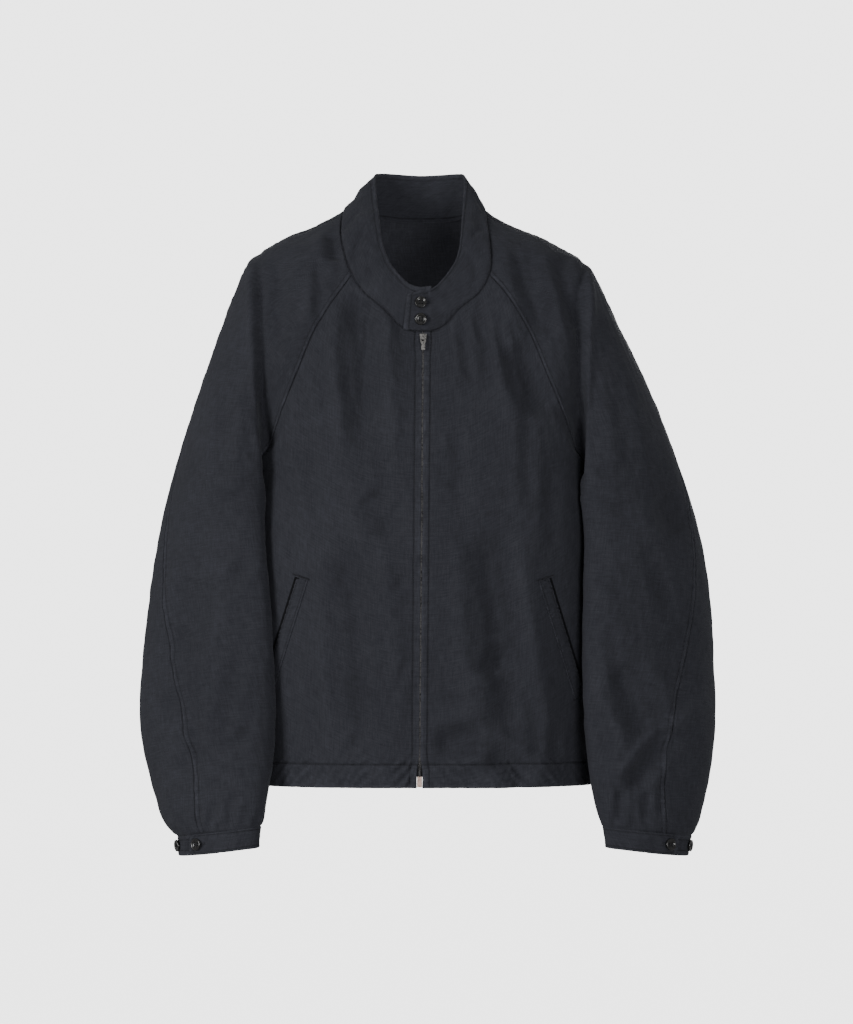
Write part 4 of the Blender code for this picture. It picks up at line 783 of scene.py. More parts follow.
def fit_edges(grid: Array, last: Array | None = None, bottom: Array | None = None,
              top: Array | None = None, power: float = 2.0) -> Array:
    """Moves a grid so that its edges meet the given curves, less and less away from each edge.

    Args:
        grid: rows and columns of points.
        last: where the last column goes.
        bottom: where the first row goes.
        top: where the last row goes.
        power: how fast the move fades.

    Returns:
        The moved grid.
    """
    rows, columns = grid.shape[:2]
    across = np.linspace(0, 1, columns)[None, :, None]
    up = np.linspace(0, 1, rows)[:, None, None]
    if last is not None:
        grid = grid + (last - grid[:, -1])[:, None, :] * across ** power
    if bottom is not None:
        grid = grid + (bottom - grid[0])[None, :, :] * (1 - up) ** (2 * power)
    if top is not None:
        grid = grid + (top - grid[-1])[None, :, :] * up ** (2 * power)
    return grid


def grid_normals(grid: Array, outward: int) -> Array:
    """Gives unit normals over a grid.

    Args:
        grid: rows and columns of points.
        outward: 1 or -1, whichever points them out of the garment.

    Returns:
        One normal for each point.
    """
    return unit(np.cross(np.gradient(grid, axis=1), np.gradient(grid, axis=0)) * outward)


# ---- fine cloth ----
def refine_line(line: Array, values: Array, counts: list[int], corner: int = 0) -> Array:
    """Reads values at finer places along a line of points.

    Args:
        line: the coarse points, whose lengths place the values.
        values: what is read, one for each coarse point.
        counts: steps in each cell.
        corner: the point where the line turns sharply, or 0.

    Returns:
        The finer values.
    """
    if corner:
        low = refine_line(line[:corner + 1], values[:corner + 1], counts[:corner])
        high = refine_line(line[corner:], values[corner:], counts[corner:])
        return np.concatenate([low, high[1:]])
    knots = chord(line)
    places = []
    for start, end, count in zip(knots, knots[1:], counts):
        places.append(start + (end - start) * np.arange(count) / count)
    return smooth(knots, values, np.concatenate(places + [knots[-1:]]))


def line_gap(points: Array, line: Array) -> tuple[Array, Array]:
    """Measures flat points against a line of straight stretches.

    Args:
        points: the points, in the line's own two axes.
        line: the line's corners.

    Returns:
        The distance to the line, and how far along it (0 to 1) the nearest place is.
    """
    nearest = np.full(points.shape[:-1], np.inf)
    place = np.zeros(points.shape[:-1])
    cells = len(line) - 1
    for k in range(cells):
        step = line[k + 1] - line[k]
        t = np.clip(((points - line[k]) @ step) / max(float(step @ step), 1e-12), 0, 1)
        gap = np.linalg.norm(points - line[k] - t[..., None] * step, axis=-1)
        closer = gap < nearest
        nearest = np.where(closer, gap, nearest)
        place = np.where(closer, (k + t) / cells, place)
    return nearest, place


@dataclass(frozen=True)
class CreaseForm:
    """A crease's cross-section, in shares of its width: a trough with a low ridge on each side."""

    steps: int = 13
    past_ends: float = 0.06
    end_slope: float = 3.5
    ridge: float = 0.35
    ridge_place: float = 1.7
    ridge_width: float = 0.6

    def fade(self, place: Array) -> Array:
        """Gives how the crease fades towards its ends, for places from 0 to 1 along it."""
        return ease(self.end_slope * np.minimum(place + self.past_ends, 1 + self.past_ends - place))

    def trough(self, share: Array) -> Array:
        """Gives the depth across the crease, for distances in shares of its width."""
        ridge = np.exp(-((share - self.ridge_place) / self.ridge_width) ** 2)
        return np.exp(-share ** 2) - self.ridge * ridge


CREASE = CreaseForm()
LIP = CreaseForm(ridge=0.16, ridge_place=2.6, ridge_width=1.4)
COLLAR_CREASE = CreaseForm(past_ends=0.1)


def crease_depth(table: Columns, points: Array, zone: Zone, side: int) -> Array:
    """Adds up how far the creases of one zone sink the cloth.

    Args:
        table: the creases.
        points: the cloth's points.
        zone: the zone whose creases count.
        side: -1 or 1, or 0 for a piece on both sides.

    Returns:
        The depth at each point.
    """
    flat = np.stack([np.abs(points[..., 0]), points[..., 2]], axis=-1)
    own_side = np.sign(points[..., 0]) if side == 0 else np.full(points.shape[:-1], side)
    depth = np.zeros(points.shape[:-1])
    steps = np.linspace(0, 1, CREASE.steps)[:, None]
    for row in np.flatnonzero(table["zone"] == zone.value):
        start, middle, end = (np.array([table[f"x{k}"][row], table[f"z{k}"][row]]) for k in range(3))
        line = (1 - steps) ** 2 * start + 2 * steps * (1 - steps) * middle + steps ** 2 * end
        gap, place = line_gap(flat, line)
        share = gap / table["width"][row]
        form = CREASE.trough(share)
        if "lip" in table.data:
            outer = flat[..., 0] > np.interp(flat[..., 1], line[::-1, 1], line[::-1, 0])
            form = np.where(outer, LIP.trough(gap / table["lip"][row]), np.exp(-share))
        depth += np.where(own_side == table["side"][row], table["depth"][row] * CREASE.fade(place) * form, 0)
    return depth


class Seam(Enum):
    """How one edge of a cloth piece is finished."""

    FREE = "turned in and stitched"
    PLAIN = "pressed seam"
    TOPSTITCHED = "seam with its allowance stitched down on this side"
    HEM = "turned up, with a stitch row along it"
    NECK = "pressed seam under the collar"
    CUFF = "eased into the cuff"


@dataclass(frozen=True)
class SeamForm:
    """Sizes of the relief along a seam, in metres."""

    allowance: float = 0.0052
    raise_by: float = 0.00024
    stitch: float = 0.0058
    stitch_depth: float = 0.00030
    stitch_width: float = 0.00075
    press: float = 0.00075
    press_width: float = 0.0011
    pucker: float = 0.00048
    pucker_pitch: float = 0.0090
    pucker_reach: float = 0.0105
    hem_pucker: float = 0.0024
    hem_pitch: float = 0.0125
    ease_pucker: float = 0.0016
    cuff_tuck: float = 0.0024
    ease_pitch: float = 0.0150
    ease_reach: float = 0.026
    slant: float = 0.55
    hem_slant: float = 1.4
    cuff_slant: float = 0.15
    drift: Span = (1.7, 0.9)
    drift_rate: Span = (0.83, 2.1)
    drift_seed: float = 2.3
    swell: Span = (0.62, 0.38)
    swell_rate: float = 1.27
    swell_seed: float = 4.1
    plain_share: float = 0.8
    neck_share: float = 0.5
    soft_share: float = 0.7
    hem_row_width: float = 1.6
    hem_row_depth: float = 1.25
    hem_fade: float = 0.011
    hem_edge: Span = (0.45, 0.55)
    hem_edge_run: float = 0.004
    hem_stand: float = 0.8
    hem_inset: float = 0.001
    hem_press: float = 0.5
    free_press: float = 0.35
    tuck_press: float = 1.2
    step_run: float = 0.0012
    tuck_run: float = 0.006
    stand_inset: float = 0.0006
    stand_run: float = 0.0011
    edge_run: float = 0.0009

    def wave(self, along: Array, away: Array, pitch: float, seed: float) -> Array:
        """Gives the uneven rise and fall of puckers.

        Args:
            along: distance along the seam.
            away: distance from it, which slants the puckers.
            pitch: the usual distance between two of them.
            seed: shifts one seam's puckers against another's.

        Returns:
            A wave between about -1 and 1.
        """
        turn = 2 * math.pi * (along + self.slant * away) / pitch
        runs = along / pitch
        drift = self.drift[0] * np.sin(runs * self.drift_rate[0] + seed)
        drift = drift + self.drift[1] * np.sin(runs * self.drift_rate[1] + self.drift_seed * seed)
        swell = self.swell[0] + self.swell[1] * np.sin(runs * self.swell_rate + self.swell_seed * seed)
        return np.sin(turn + drift) * swell

    def depth(self, kind: Seam, away: Array, along: Array, seed: float, turn_up: float) -> Array:
        """Gives how far a finished edge sinks the cloth.

        Args:
            kind: the finish.
            away: each point's distance from the edge.
            along: its distance along the edge.
            seed: shifts the puckers.
            turn_up: the hem's height.

        Returns:
            The depth, which is negative where the cloth stands up.
        """
        press = self.press * np.exp(-(away / self.press_width) ** 2)
        reach = np.exp(-(away / self.pucker_reach) ** 2)
        pucker = self.pucker * self.wave(along, away, self.pucker_pitch, seed) * reach
        if kind is Seam.PLAIN:
            return press + self.plain_share * pucker
        if kind is Seam.NECK:
            return press + self.neck_share * pucker
        if kind is Seam.HEM:
            return self.hem_depth(away, along, seed, turn_up)
        if kind is Seam.CUFF:
            fade = np.exp(-(away / self.ease_reach) ** 2) * ease((away - self.cuff_tuck) / self.tuck_run)
            tucked = self.tuck_press * self.press * (1 - ease((away - self.cuff_tuck) / self.step_run))
            eased = self.ease_pucker * self.wave(along, self.cuff_slant * away, self.ease_pitch, seed)
            return tucked + eased * fade * self.soft_share
        row = self.stitch_depth * np.exp(-((away - self.stitch) / self.stitch_width) ** 2)
        step = 1 - ease((away - self.allowance + self.stand_inset) / self.stand_run)
        stand = -self.raise_by * step * ease(away / self.edge_run)
        if kind is Seam.FREE:
            return self.free_press * press + row + self.soft_share * stand + self.soft_share * pucker
        return press + row + stand + pucker

    def hem_depth(self, away: Array, along: Array, seed: float, turn_up: float) -> Array:
        """Gives how far a turned-up hem sinks the cloth: its stitch row, its ropes and its doubled cloth.

        Args:
            away: each point's distance from the hem's edge.
            along: its distance along the edge.
            seed: shifts the ropes.
            turn_up: the hem's height.

        Returns:
            The depth.
        """
        press = self.press * np.exp(-(away / self.press_width) ** 2)
        row = np.exp(-((away - turn_up) / (self.hem_row_width * self.stitch_width)) ** 2)
        inside = np.where(away < turn_up, 1.0, np.exp(-((away - turn_up) / self.hem_fade) ** 2))
        ropes = self.hem_pucker * self.wave(along, self.hem_slant * away, self.hem_pitch, seed) * inside
        least, rest = self.hem_edge
        step = 1 - ease((away - turn_up + self.hem_inset) / self.step_run)
        stand = -self.hem_stand * self.raise_by * step
        stitched = self.hem_press * press + self.stitch_depth * self.hem_row_depth * row
        return stitched + ropes * (least + rest * ease(away / self.hem_edge_run)) + stand


@dataclass
class Cloth:
    """One cloth piece's face as a fine grid of points, with its distances from its four edges."""

    name: str
    coarse: Array
    outward: int
    row_counts: list[int]
    column_count: int
    seams: dict[Edge, Seam]
    zone: Zone | None = None
    side: int = 0
    corner: int = 0
    form: SeamForm = field(default_factory=SeamForm)
    past_corner: Seam | None = None
    end_radius: float = 0.0
    near_edge: tuple[float, ...] = (0, 0.0004, 0.0009, 0.0016, 0.0026, 0.0038, 0.0047, 0.0053, 0.0058,
                                    0.0063, 0.0070, 0.0084, 0.0105)

    def __post_init__(self) -> None:
        """Refines the grid down its columns and then along its rows."""
        self.coarse_normals = grid_normals(self.coarse, self.outward)
        tall = self.down_columns(self.coarse)
        self.plain = np.array([self.across(row, row, cut) for row, cut in zip(tall, self.end_cuts(tall))])
        self.fine_corner = sum(self.row_counts[:self.corner])
        self.away = self.edge_distances()
        self.relief = np.zeros(self.plain.shape[:2])
        self.wear_and_shade = np.zeros(self.plain.shape[:2])

    def down_columns(self, values: Array) -> Array:
        """Refines values down the coarse columns, whose edges turn sharply at the underarm.

        Args:
            values: one for each coarse point.

        Returns:
            The values with more rows.
        """
        width = self.coarse.shape[1]
        columns = []
        for j in range(width):
            corner = self.corner if j in (0, width - 1) else 0
            columns.append(refine_line(self.coarse[:, j], values[:, j], self.row_counts, corner))
        return np.stack(columns, axis=1)

    def end_cuts(self, tall: Array) -> Array:
        """Gives how much shorter each row ends, where the last end has round corners.

        Args:
            tall: the grid with all its rows.

        Returns:
            One length for each row.
        """
        if not self.end_radius:
            return np.zeros(len(tall))
        run = chord(tall[:, -1])
        into = 1 - np.minimum(run, run[-1] - run) / self.end_radius
        return self.end_radius * (1 - np.sqrt(1 - np.clip(into, 0, 1) ** 2))

    def across(self, row: Array, values: Array, cut: float) -> Array:
        """Refines values along one row, closely at its ends.

        Args:
            row: the row's points.
            values: one for each point.
            cut: how much shorter the row ends.

        Returns:
            The values with more columns.
        """
        knots = chord(row)
        near = np.array(self.near_edge)
        end = knots[-1] - cut
        middle = np.linspace(near[-1], end - near[-1], self.column_count + 1)[1:-1]
        return smooth(knots, values, np.concatenate([near, middle, end - near[::-1]]))

    def edge_distances(self) -> dict[Edge, Array]:
        """Measures every point's distance from each edge, along the cloth."""
        run = np.linalg.norm(np.diff(self.plain, axis=1), axis=-1)
        first = np.concatenate([np.zeros((len(run), 1)), np.cumsum(run, axis=1)], axis=1)
        rise = np.linalg.norm(np.diff(self.plain, axis=0), axis=-1)
        bottom = np.concatenate([np.zeros((1, rise.shape[1])), np.cumsum(rise, axis=0)], axis=0)
        return {Edge.FIRST: first, Edge.LAST: first[:, -1:] - first,
                Edge.BOTTOM: bottom, Edge.TOP: bottom[-1:] - bottom}

    def along(self, edge: Edge) -> Array:
        """Gives the distance along an edge, from the underarm where it has one.

        Args:
            edge: the edge.

        Returns:
            One distance for each point of the grid.
        """
        if edge in (Edge.BOTTOM, Edge.TOP):
            line = self.plain[0 if edge is Edge.BOTTOM else -1]
            return np.broadcast_to(chord(line)[None, :], self.plain.shape[:2])
        run = chord(self.plain[:, 0 if edge is Edge.FIRST else -1])
        return np.broadcast_to(np.abs(run - run[self.fine_corner])[:, None], self.plain.shape[:2])


def edge_points(cloth: Cloth) -> Array:
    """Gives the rows and columns of a piece's first and last edges, as indices.

    Args:
        cloth: the piece.

    Returns:
        One pair for each edge point.
    """
    rows, columns = cloth.plain.shape[:2]
    return np.array([(i, j) for j in (0, columns - 1) for i in range(rows)])


def share_values(points: Array, values: Array, radius: float = 0.0002) -> Array:
    """Averages values at points that coincide, so that both sides of a seam have the same ones.

    Args:
        points: all edge points.
        values: one value or vector for each.
        radius: how near counts as the same point.

    Returns:
        The averaged values.
    """
    cells = {}
    keys = np.round(points / radius / 2).astype(int)
    for index, key in enumerate(map(tuple, keys)):
        cells.setdefault(key, []).append(index)
    shared = values.copy()
    for index, (x, y, z) in enumerate(keys):
        near = [k for dx in (-1, 0, 1) for dy in (-1, 0, 1) for dz in (-1, 0, 1)
                for k in cells.get((x + dx, y + dy, z + dz), [])
                if abs(points[k] - points[index]).max() < radius]
        shared[index] = values[near].mean(axis=0)
    return shared


# How strongly each finish is rubbed pale, and how much painted shade darkens its pressed line and its stitch
# row.
RUBBED = {Seam.FREE: 0.62, Seam.PLAIN: 0.10, Seam.TOPSTITCHED: 0.62, Seam.HEM: 0.62, Seam.NECK: 0.05,
          Seam.CUFF: 0.20}
PRESSED_SHADE = {Seam.FREE: 0.0, Seam.PLAIN: 1.0, Seam.TOPSTITCHED: 1.0, Seam.HEM: 0.0, Seam.NECK: 0.35,
                Seam.CUFF: 1.0}
STITCHED_SHADE = {Seam.FREE: 0.5, Seam.PLAIN: 0.0, Seam.TOPSTITCHED: 0.22, Seam.HEM: 0.7, Seam.NECK: 0.0,
                 Seam.CUFF: 0.0}


@dataclass
class ClothSet:
    """Cloth pieces that are sewn together: shares their normals and creases, and lays their relief."""

    cloths: list[Cloth]
    blend: float = 0.018
    neck_fade: float = 0.012
    underarm_drop: float = 1.5
    drape: float = 0.0008
    drape_scale: float = 0.085
    drape_stretch: tuple[float, ...] = (0.7, 1.0, 3.6)
    crumple: float = 0.00026
    crumple_scale: float = 0.015
    crumple_stretch: tuple[float, ...] = (0.9, 1.0, 1.5)
    wear_place: float = 0.0012
    wear_reach: float = 0.0014
    wear_patch: Span = (0.62, 0.38)
    wear_patch_scale: float = 0.018
    corner_rows: int = 8
    ridge_height: float = 0.0005
    ridge_reach: float = 0.03
    ridge_share: float = 0.55
    groove_reach: float = 0.0009
    groove_shade: float = 1.05
    calm_run: float = 0.014

    def lay(self) -> None:
        """Gives every piece its normals, its relief and its wear."""
        self.share_normals()
        self.lay_creases()
        for number, cloth in enumerate(self.cloths):
            self.finish_edges(cloth, number)

    def share_normals(self) -> None:
        """Gives the pieces' edges one shared normal where they meet, blended into each piece's own."""
        coarse_points = np.concatenate([cloth.coarse.reshape(-1, 3) for cloth in self.cloths])
        coarse_normals = np.concatenate([cloth.coarse_normals.reshape(-1, 3) for cloth in self.cloths])
        means = share_values(coarse_points, coarse_normals)
        tightness = 1 - np.linalg.norm(means, axis=-1, keepdims=True)
        means = unit(means + np.array([0.0, 0.0, -self.underarm_drop]) * tightness ** 2)
        start = 0
        for cloth in self.cloths:
            count = cloth.coarse.shape[0] * cloth.coarse.shape[1]
            shared = means[start:start + count].reshape(cloth.coarse.shape)
            start += count
            edges = cloth.down_columns(shared)
            own = grid_normals(cloth.plain, cloth.outward)
            first = 1 - ease(cloth.away[Edge.FIRST] / self.blend)[..., None]
            last = 1 - ease(cloth.away[Edge.LAST] / self.blend)[..., None]
            if cloth.seams[Edge.FIRST] is Seam.FREE:
                first = first * 0
            normals = own * (1 - first) + edges[:, :1] * first
            cloth.normals = unit(normals * (1 - last) + edges[:, -1:] * last)

    def lay_creases(self) -> None:
        """Sinks the folds, creases and soft unevenness of hanging cloth, alike on both sides of a seam."""
        places, depths = [], []
        for cloth in self.cloths:
            depth = crease_depth(FOLDS, cloth.plain, cloth.zone, cloth.side)
            depth += crease_depth(CREASES, cloth.plain, cloth.zone, cloth.side)
            depth += crease_depth(LAPS, cloth.plain, cloth.zone, cloth.side)
            depth += self.drape * ripple(cloth.plain, self.drape_scale, Noise.DRAPE, self.drape_stretch)
            crumpled = ripple(cloth.plain, self.crumple_scale, Noise.CRUMPLE, self.crumple_stretch)
            depth += self.crumple * crumpled
            cloth.relief = depth
            index = edge_points(cloth)
            places.append(cloth.plain[index[:, 0], index[:, 1]])
            depths.append(depth[index[:, 0], index[:, 1]])
        shared = share_values(np.concatenate(places), np.concatenate(depths)[:, None])[:, 0]
        start = 0
        for cloth in self.cloths:
            rows = cloth.plain.shape[0]
            first, last = shared[start:start + rows], shared[start + rows:start + 2 * rows]
            start += 2 * rows
            near_first = 1 - ease(cloth.away[Edge.FIRST] / self.blend)
            near_last = 1 - ease(cloth.away[Edge.LAST] / self.blend)
            own_first, own_last = cloth.relief[:, :1].copy(), cloth.relief[:, -1:].copy()
            cloth.relief += (first[:, None] - own_first) * near_first + (last[:, None] - own_last) * near_last
            for edge in (Edge.BOTTOM, Edge.TOP):
                if cloth.seams[edge] in (Seam.NECK, Seam.CUFF):
                    cloth.relief *= ease(cloth.away[edge] / self.neck_fade)

    def finish_edges(self, cloth: Cloth, number: int) -> None:
        """Adds the relief of seams, allowances, stitch rows and puckers, the wear that goes with them, and
        painted shade in their pressed lines and stitch rows.

        Args:
            cloth: the piece.
            number: sets its puckers apart from the others'.
        """
        cloth.folds = cloth.relief.copy()
        dark = np.zeros(cloth.relief.shape)
        for edge, kind in cloth.seams.items():
            away = cloth.away[edge]
            # Pieces that share a seam share its puckers, so the seed comes from where the seam is.
            spot = cloth.plain[cloth.fine_corner, 0 if edge is Edge.FIRST else -1]
            seed = 5.0 * float(spot[0] + spot[1]) if edge in (Edge.FIRST, Edge.LAST) else float(number)
            along = cloth.along(edge)
            depth = cloth.form.depth(kind, away, along, seed, BODY.turn_up)
            if kind in (Seam.HEM, Seam.CUFF):
                calm = replace(cloth.form, hem_pucker=0.0, ease_pucker=0.0)
                side_away = np.minimum(cloth.away[Edge.FIRST], cloth.away[Edge.LAST])
                near_side = 1 - ease(side_away / self.calm_run)
                depth += (calm.depth(kind, away, along, seed, BODY.turn_up) - depth) * near_side
            if edge is Edge.FIRST and cloth.past_corner:
                past = np.arange(len(away))[:, None] - cloth.fine_corner
                below = ease((past + self.corner_rows // 2) / self.corner_rows)
                plain = cloth.form.depth(cloth.past_corner, away, along, seed, BODY.turn_up)
                depth = depth * (1 - below) + plain * below
            cloth.relief = cloth.relief + depth
            rubbed = np.exp(-((away - self.wear_place) / self.wear_reach) ** 2)
            patches = ripple(cloth.plain, self.wear_patch_scale, Noise.FADE)
            patchy = self.wear_patch[0] + self.wear_patch[1] * patches
            peaks = np.clip(-depth / self.ridge_height, 0, 1) * np.exp(-(away / self.ridge_reach) ** 2)
            worn = RUBBED[kind] * np.clip(rubbed * patchy + self.ridge_share * peaks, 0, 1)
            cloth.wear_and_shade = np.maximum(cloth.wear_and_shade, worn)
            # dark holds painted shade for the pressed lines and stitch grooves; it is taken off the wear so
            # the cloth is darker there
            dark = np.maximum(dark, self.painted_groove_shade(cloth, kind, away))
        cloth.wear_and_shade = cloth.wear_and_shade - self.groove_shade * dark

    def painted_groove_shade(self, cloth: Cloth, kind: Seam, away: Array) -> Array:
        """Gives the painted shade of an edge's pressed line and stitch row, which darkens the grooves there.

        Args:
            cloth: the piece.
            kind: how the edge is finished.
            away: each point's distance from it.

        Returns:
            The share of full painted shade at each point.
        """
        row = BODY.turn_up if kind is Seam.HEM else cloth.form.stitch
        line = np.exp(-((away - row) / self.groove_reach) ** 2)
        fold = np.exp(-(away / self.groove_reach) ** 2)
        return np.maximum(PRESSED_SHADE[kind] * fold, STITCHED_SHADE[kind] * line)


# ---- meshes ----
def new_piece(name: str, mesh: bpy.types.Mesh, material: bpy.types.Material, body: str) -> bpy.types.Object:
    """Puts a finished mesh in the scene as a piece that rides on a body.

    Args:
        name: the piece's name.
        mesh: its mesh, in the jacket's frame.
        material: its finish.
        body: the body that it moves with.

    Returns:
        The piece.
    """
    mesh.materials.clear()
    mesh.materials.append(material)
    piece = link(name, mesh)
    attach(piece, body)
    return piece


def set_floats(mesh: bpy.types.Mesh, name: str, values: Array) -> None:
    """Stores one number for each point of a mesh.

    Args:
        mesh: the mesh.
        name: the attribute.
        values: the numbers.
    """
    layer = mesh.attributes.new(name, "FLOAT", "POINT")
    layer.data.foreach_set("value", np.ascontiguousarray(values, dtype=np.float32).ravel())


def grid_cells(rows: int, columns: int) -> tuple[Array, Array]:
    """Numbers a grid's points and gives its cells.

    Args:
        rows: rows of points.
        columns: columns of points.

    Returns:
        The points' numbers as a grid, and four of them for each cell.
    """
    index = np.arange(rows * columns).reshape(rows, columns)
    corners = [index[:-1, :-1], index[:-1, 1:], index[1:, 1:], index[1:, :-1]]
    return index, np.stack(corners, axis=-1).reshape(-1, 4)


RIM_SHARES = (0.15, 0.5, 0.85)


def shell_mesh(name: str, outer: Array, inner: Array, outward: int, uv: Array, floats: dict[str, Array],
               round_edges: dict[Edge, float]) -> bpy.types.Mesh:
    """Builds a closed shell between two grids, with a rounded rim.

    Args:
        name: the mesh's name.
        outer: the outer face's grid.
        inner: the inner face's grid.
        outward: 1 or -1, the turn that makes the outer face point out.
        uv: flat places of the grid's points, in metres.
        floats: numbers over the grid, by attribute name.
        round_edges: how far the rim stands out at each edge.

    Returns:
        The mesh.
    """
    rows, columns = outer.shape[:2]
    index, cells = grid_cells(rows, columns)
    ring = np.concatenate([index[0, :-1], index[:-1, -1], index[-1, :0:-1], index[:0:-1, 0]])
    at = np.stack([ring // columns, ring % columns], axis=-1)
    away = np.zeros((rows, columns, 3))
    away[0] += unit(outer[0] - outer[1]) * round_edges[Edge.BOTTOM]
    away[-1] += unit(outer[-1] - outer[-2]) * round_edges[Edge.TOP]
    away[:, 0] += unit(outer[:, 0] - outer[:, 1]) * round_edges[Edge.FIRST]
    away[:, -1] += unit(outer[:, -1] - outer[:, -2]) * round_edges[Edge.LAST]
    count = rows * columns
    loops, rim_points = [ring], []
    for share in RIM_SHARES:
        bow = math.sin(math.pi * share)
        middle = outer[at[:, 0], at[:, 1]] * (1 - share) + inner[at[:, 0], at[:, 1]] * share
        rim_points.append(middle + away[at[:, 0], at[:, 1]] * bow)
        loops.append(2 * count + len(ring) * len(rim_points) - len(ring) + np.arange(len(ring)))
    loops.append(ring + count)
    faces = [cells, cells[:, ::-1] + count]
    for near, far in zip(loops, loops[1:]):
        faces.append(np.stack([np.roll(near, -1), near, far, np.roll(far, -1)], axis=-1))
    faces = np.concatenate(faces)
    if outward < 0:
        faces = faces[:, ::-1]
    points = np.concatenate([outer.reshape(-1, 3), inner.reshape(-1, 3)] + rim_points)
    source = np.concatenate([np.arange(count), np.arange(count)] + [ring] * len(rim_points))
    mesh = bpy.data.meshes.new(name)
    mesh.from_pydata(points.tolist(), [], faces.tolist())
    corners = np.zeros(len(mesh.loops), dtype=np.int32)
    mesh.loops.foreach_get("vertex_index", corners)
    layer = mesh.uv_layers.new(name="cloth")
    flat = uv.reshape(-1, 2)[source][corners]
    layer.uv.foreach_set("vector", np.ascontiguousarray(flat, dtype=np.float32).ravel())
    for key, values in floats.items():
        set_floats(mesh, key, values.reshape(-1)[source])
    mesh.shade_smooth()
    return mesh


@dataclass
class StitchRow:
    """A row of stitches: the line of points it follows on the cloth, and the cloth's normals there."""

    points: Array
    normals: Array


def row_along(cloth: Cloth, edge: Edge, distance: float, keep: slice = slice(None)) -> StitchRow:
    """Places a stitch row on a finished piece, at a distance from one of its edges.

    Args:
        cloth: the piece, with its relief laid.
        edge: the edge it follows.
        distance: how far from it.
        keep: the stretch of the edge that is stitched.

    Returns:
        The stitch row.
    """
    points, normals, away = cloth.outer, cloth.normals, cloth.away[edge]
    if edge in (Edge.BOTTOM, Edge.TOP):
        points, normals, away = points.swapaxes(0, 1), normals.swapaxes(0, 1), away.T
    if edge in (Edge.LAST, Edge.TOP):
        points, normals, away = points[:, ::-1], normals[:, ::-1], away[:, ::-1]
    line, up = [], []
    for row, normal, gap in zip(points[keep], normals[keep], away[keep]):
        line.append([np.interp(distance, gap, row[:, axis]) for axis in range(3)])
        up.append([np.interp(distance, gap, normal[:, axis]) for axis in range(3)])
    return StitchRow(np.array(line), unit(np.array(up)))


# ---- node tools ----
NodeSocket = bpy.types.NodeSocket


class NodeTree:
    """A short way to build a node tree: adds nodes and joins their sockets."""

    def __init__(self, tree: bpy.types.NodeTree) -> None:
        """Keeps the tree and empties it."""
        self.tree = tree
        tree.nodes.clear()

    def add(self, kind: str, inputs: dict | None = None, **settings) -> bpy.types.Node:
        """Adds a node.

        Args:
            kind: the node's type.
            inputs: sockets by name or number, and what goes into them: another socket or a value.
            settings: the node's own settings.

        Returns:
            The node.
        """
        node = self.tree.nodes.new(kind)
        for key, value in settings.items():
            setattr(node, key, value)
        for key, value in (inputs or {}).items():
            if isinstance(value, NodeSocket):
                self.tree.links.new(value, node.inputs[key])
            else:
                node.inputs[key].default_value = value
        return node

    def first(self, kind: str, inputs: dict | None = None, **settings) -> NodeSocket:
        """Adds a node as add() does, and gives its first output."""
        return self.add(kind, inputs, **settings).outputs[0]

    def math(self, operation: str, *values: NodeSocket | float) -> NodeSocket:
        """Adds a Math node and gives its output."""
        return self.first("ShaderNodeMath", dict(enumerate(values)), operation=operation)

    def noise(self, place: NodeSocket, scale: float, detail: float = 2.0, **more: float) -> NodeSocket:
        """Adds a noise texture.

        Args:
            place: the coordinates.
            scale: waves in a metre.
            detail: how many finer layers it has.
            more: its other inputs by name.

        Returns:
            The texture's value.
        """
        return self.first("ShaderNodeTexNoise", {"Vector": place, "Scale": scale, "Detail": detail, **more})

    def remap(self, value: NodeSocket, source: Span, target: Span = (0.0, 1.0)) -> NodeSocket:
        """Brings a value from one range to another, and stops it at the ends.

        Args:
            value: the value.
            source: the range it comes from.
            target: the range it goes to.

        Returns:
            The new value.
        """
        return self.first("ShaderNodeMapRange", dict(enumerate((value, *source, *target))))

    def blend(self, share: NodeSocket, low: NodeSocket | tuple, high: NodeSocket | tuple) -> NodeSocket:
        """Mixes two colours.

        Args:
            share: 0 for the first colour, 1 for the second.
            low: the first colour.
            high: the second colour.

        Returns:
            The mixed colour.
        """
        return self.add("ShaderNodeMix", {"Factor": share, 6: low, 7: high}, data_type="RGBA").outputs[2]

    def bump(self, height: NodeSocket, distance: float, **more: NodeSocket) -> NodeSocket:
        """Adds fine relief.

        Args:
            height: its height, from 0 to 1.
            distance: how deep it is, in metres.
            more: the Normal that it starts from, if any.

        Returns:
            The normal.
        """
        return self.first("ShaderNodeBump", {"Height": height, "Distance": distance, "Strength": 1.0, **more})


def new_group(name: str, kind: str, inputs: list[tuple], outputs: list[tuple]) -> tuple[NodeTree, object]:
    """Starts a node group.

    Args:
        name: the group's name.
        kind: ShaderNodeTree or GeometryNodeTree.
        inputs: each input's name, type and first value, if it has one.
        outputs: each output's name and type.

    Returns:
        The tool that fills the group, and the group's inputs as sockets.
    """
    group = bpy.data.node_groups.new(name, kind)
    for label, sort, *value in inputs:
        item = group.interface.new_socket(label, in_out="INPUT", socket_type=f"NodeSocket{sort}")
        if value:
            item.default_value = value[0]
    for label, sort in outputs:
        group.interface.new_socket(label, in_out="OUTPUT", socket_type=f"NodeSocket{sort}")
    build = NodeTree(group)
    return build, build.add("NodeGroupInput").outputs


def link(name: str, data: bpy.types.ID) -> bpy.types.Object:
    """Puts a mesh, a lamp or a camera in the scene as a plain object."""
    made = bpy.data.objects.new(name, data)
    bpy.context.scene.collection.objects.link(made)
    return made


def finished_mesh(work: bmesh.types.BMesh, name: str) -> bpy.types.Mesh:
    """Turns a mesh that is being edited into a plain one, and frees it."""
    mesh = bpy.data.meshes.new(name)
    work.to_mesh(mesh)
    work.free()
    return mesh


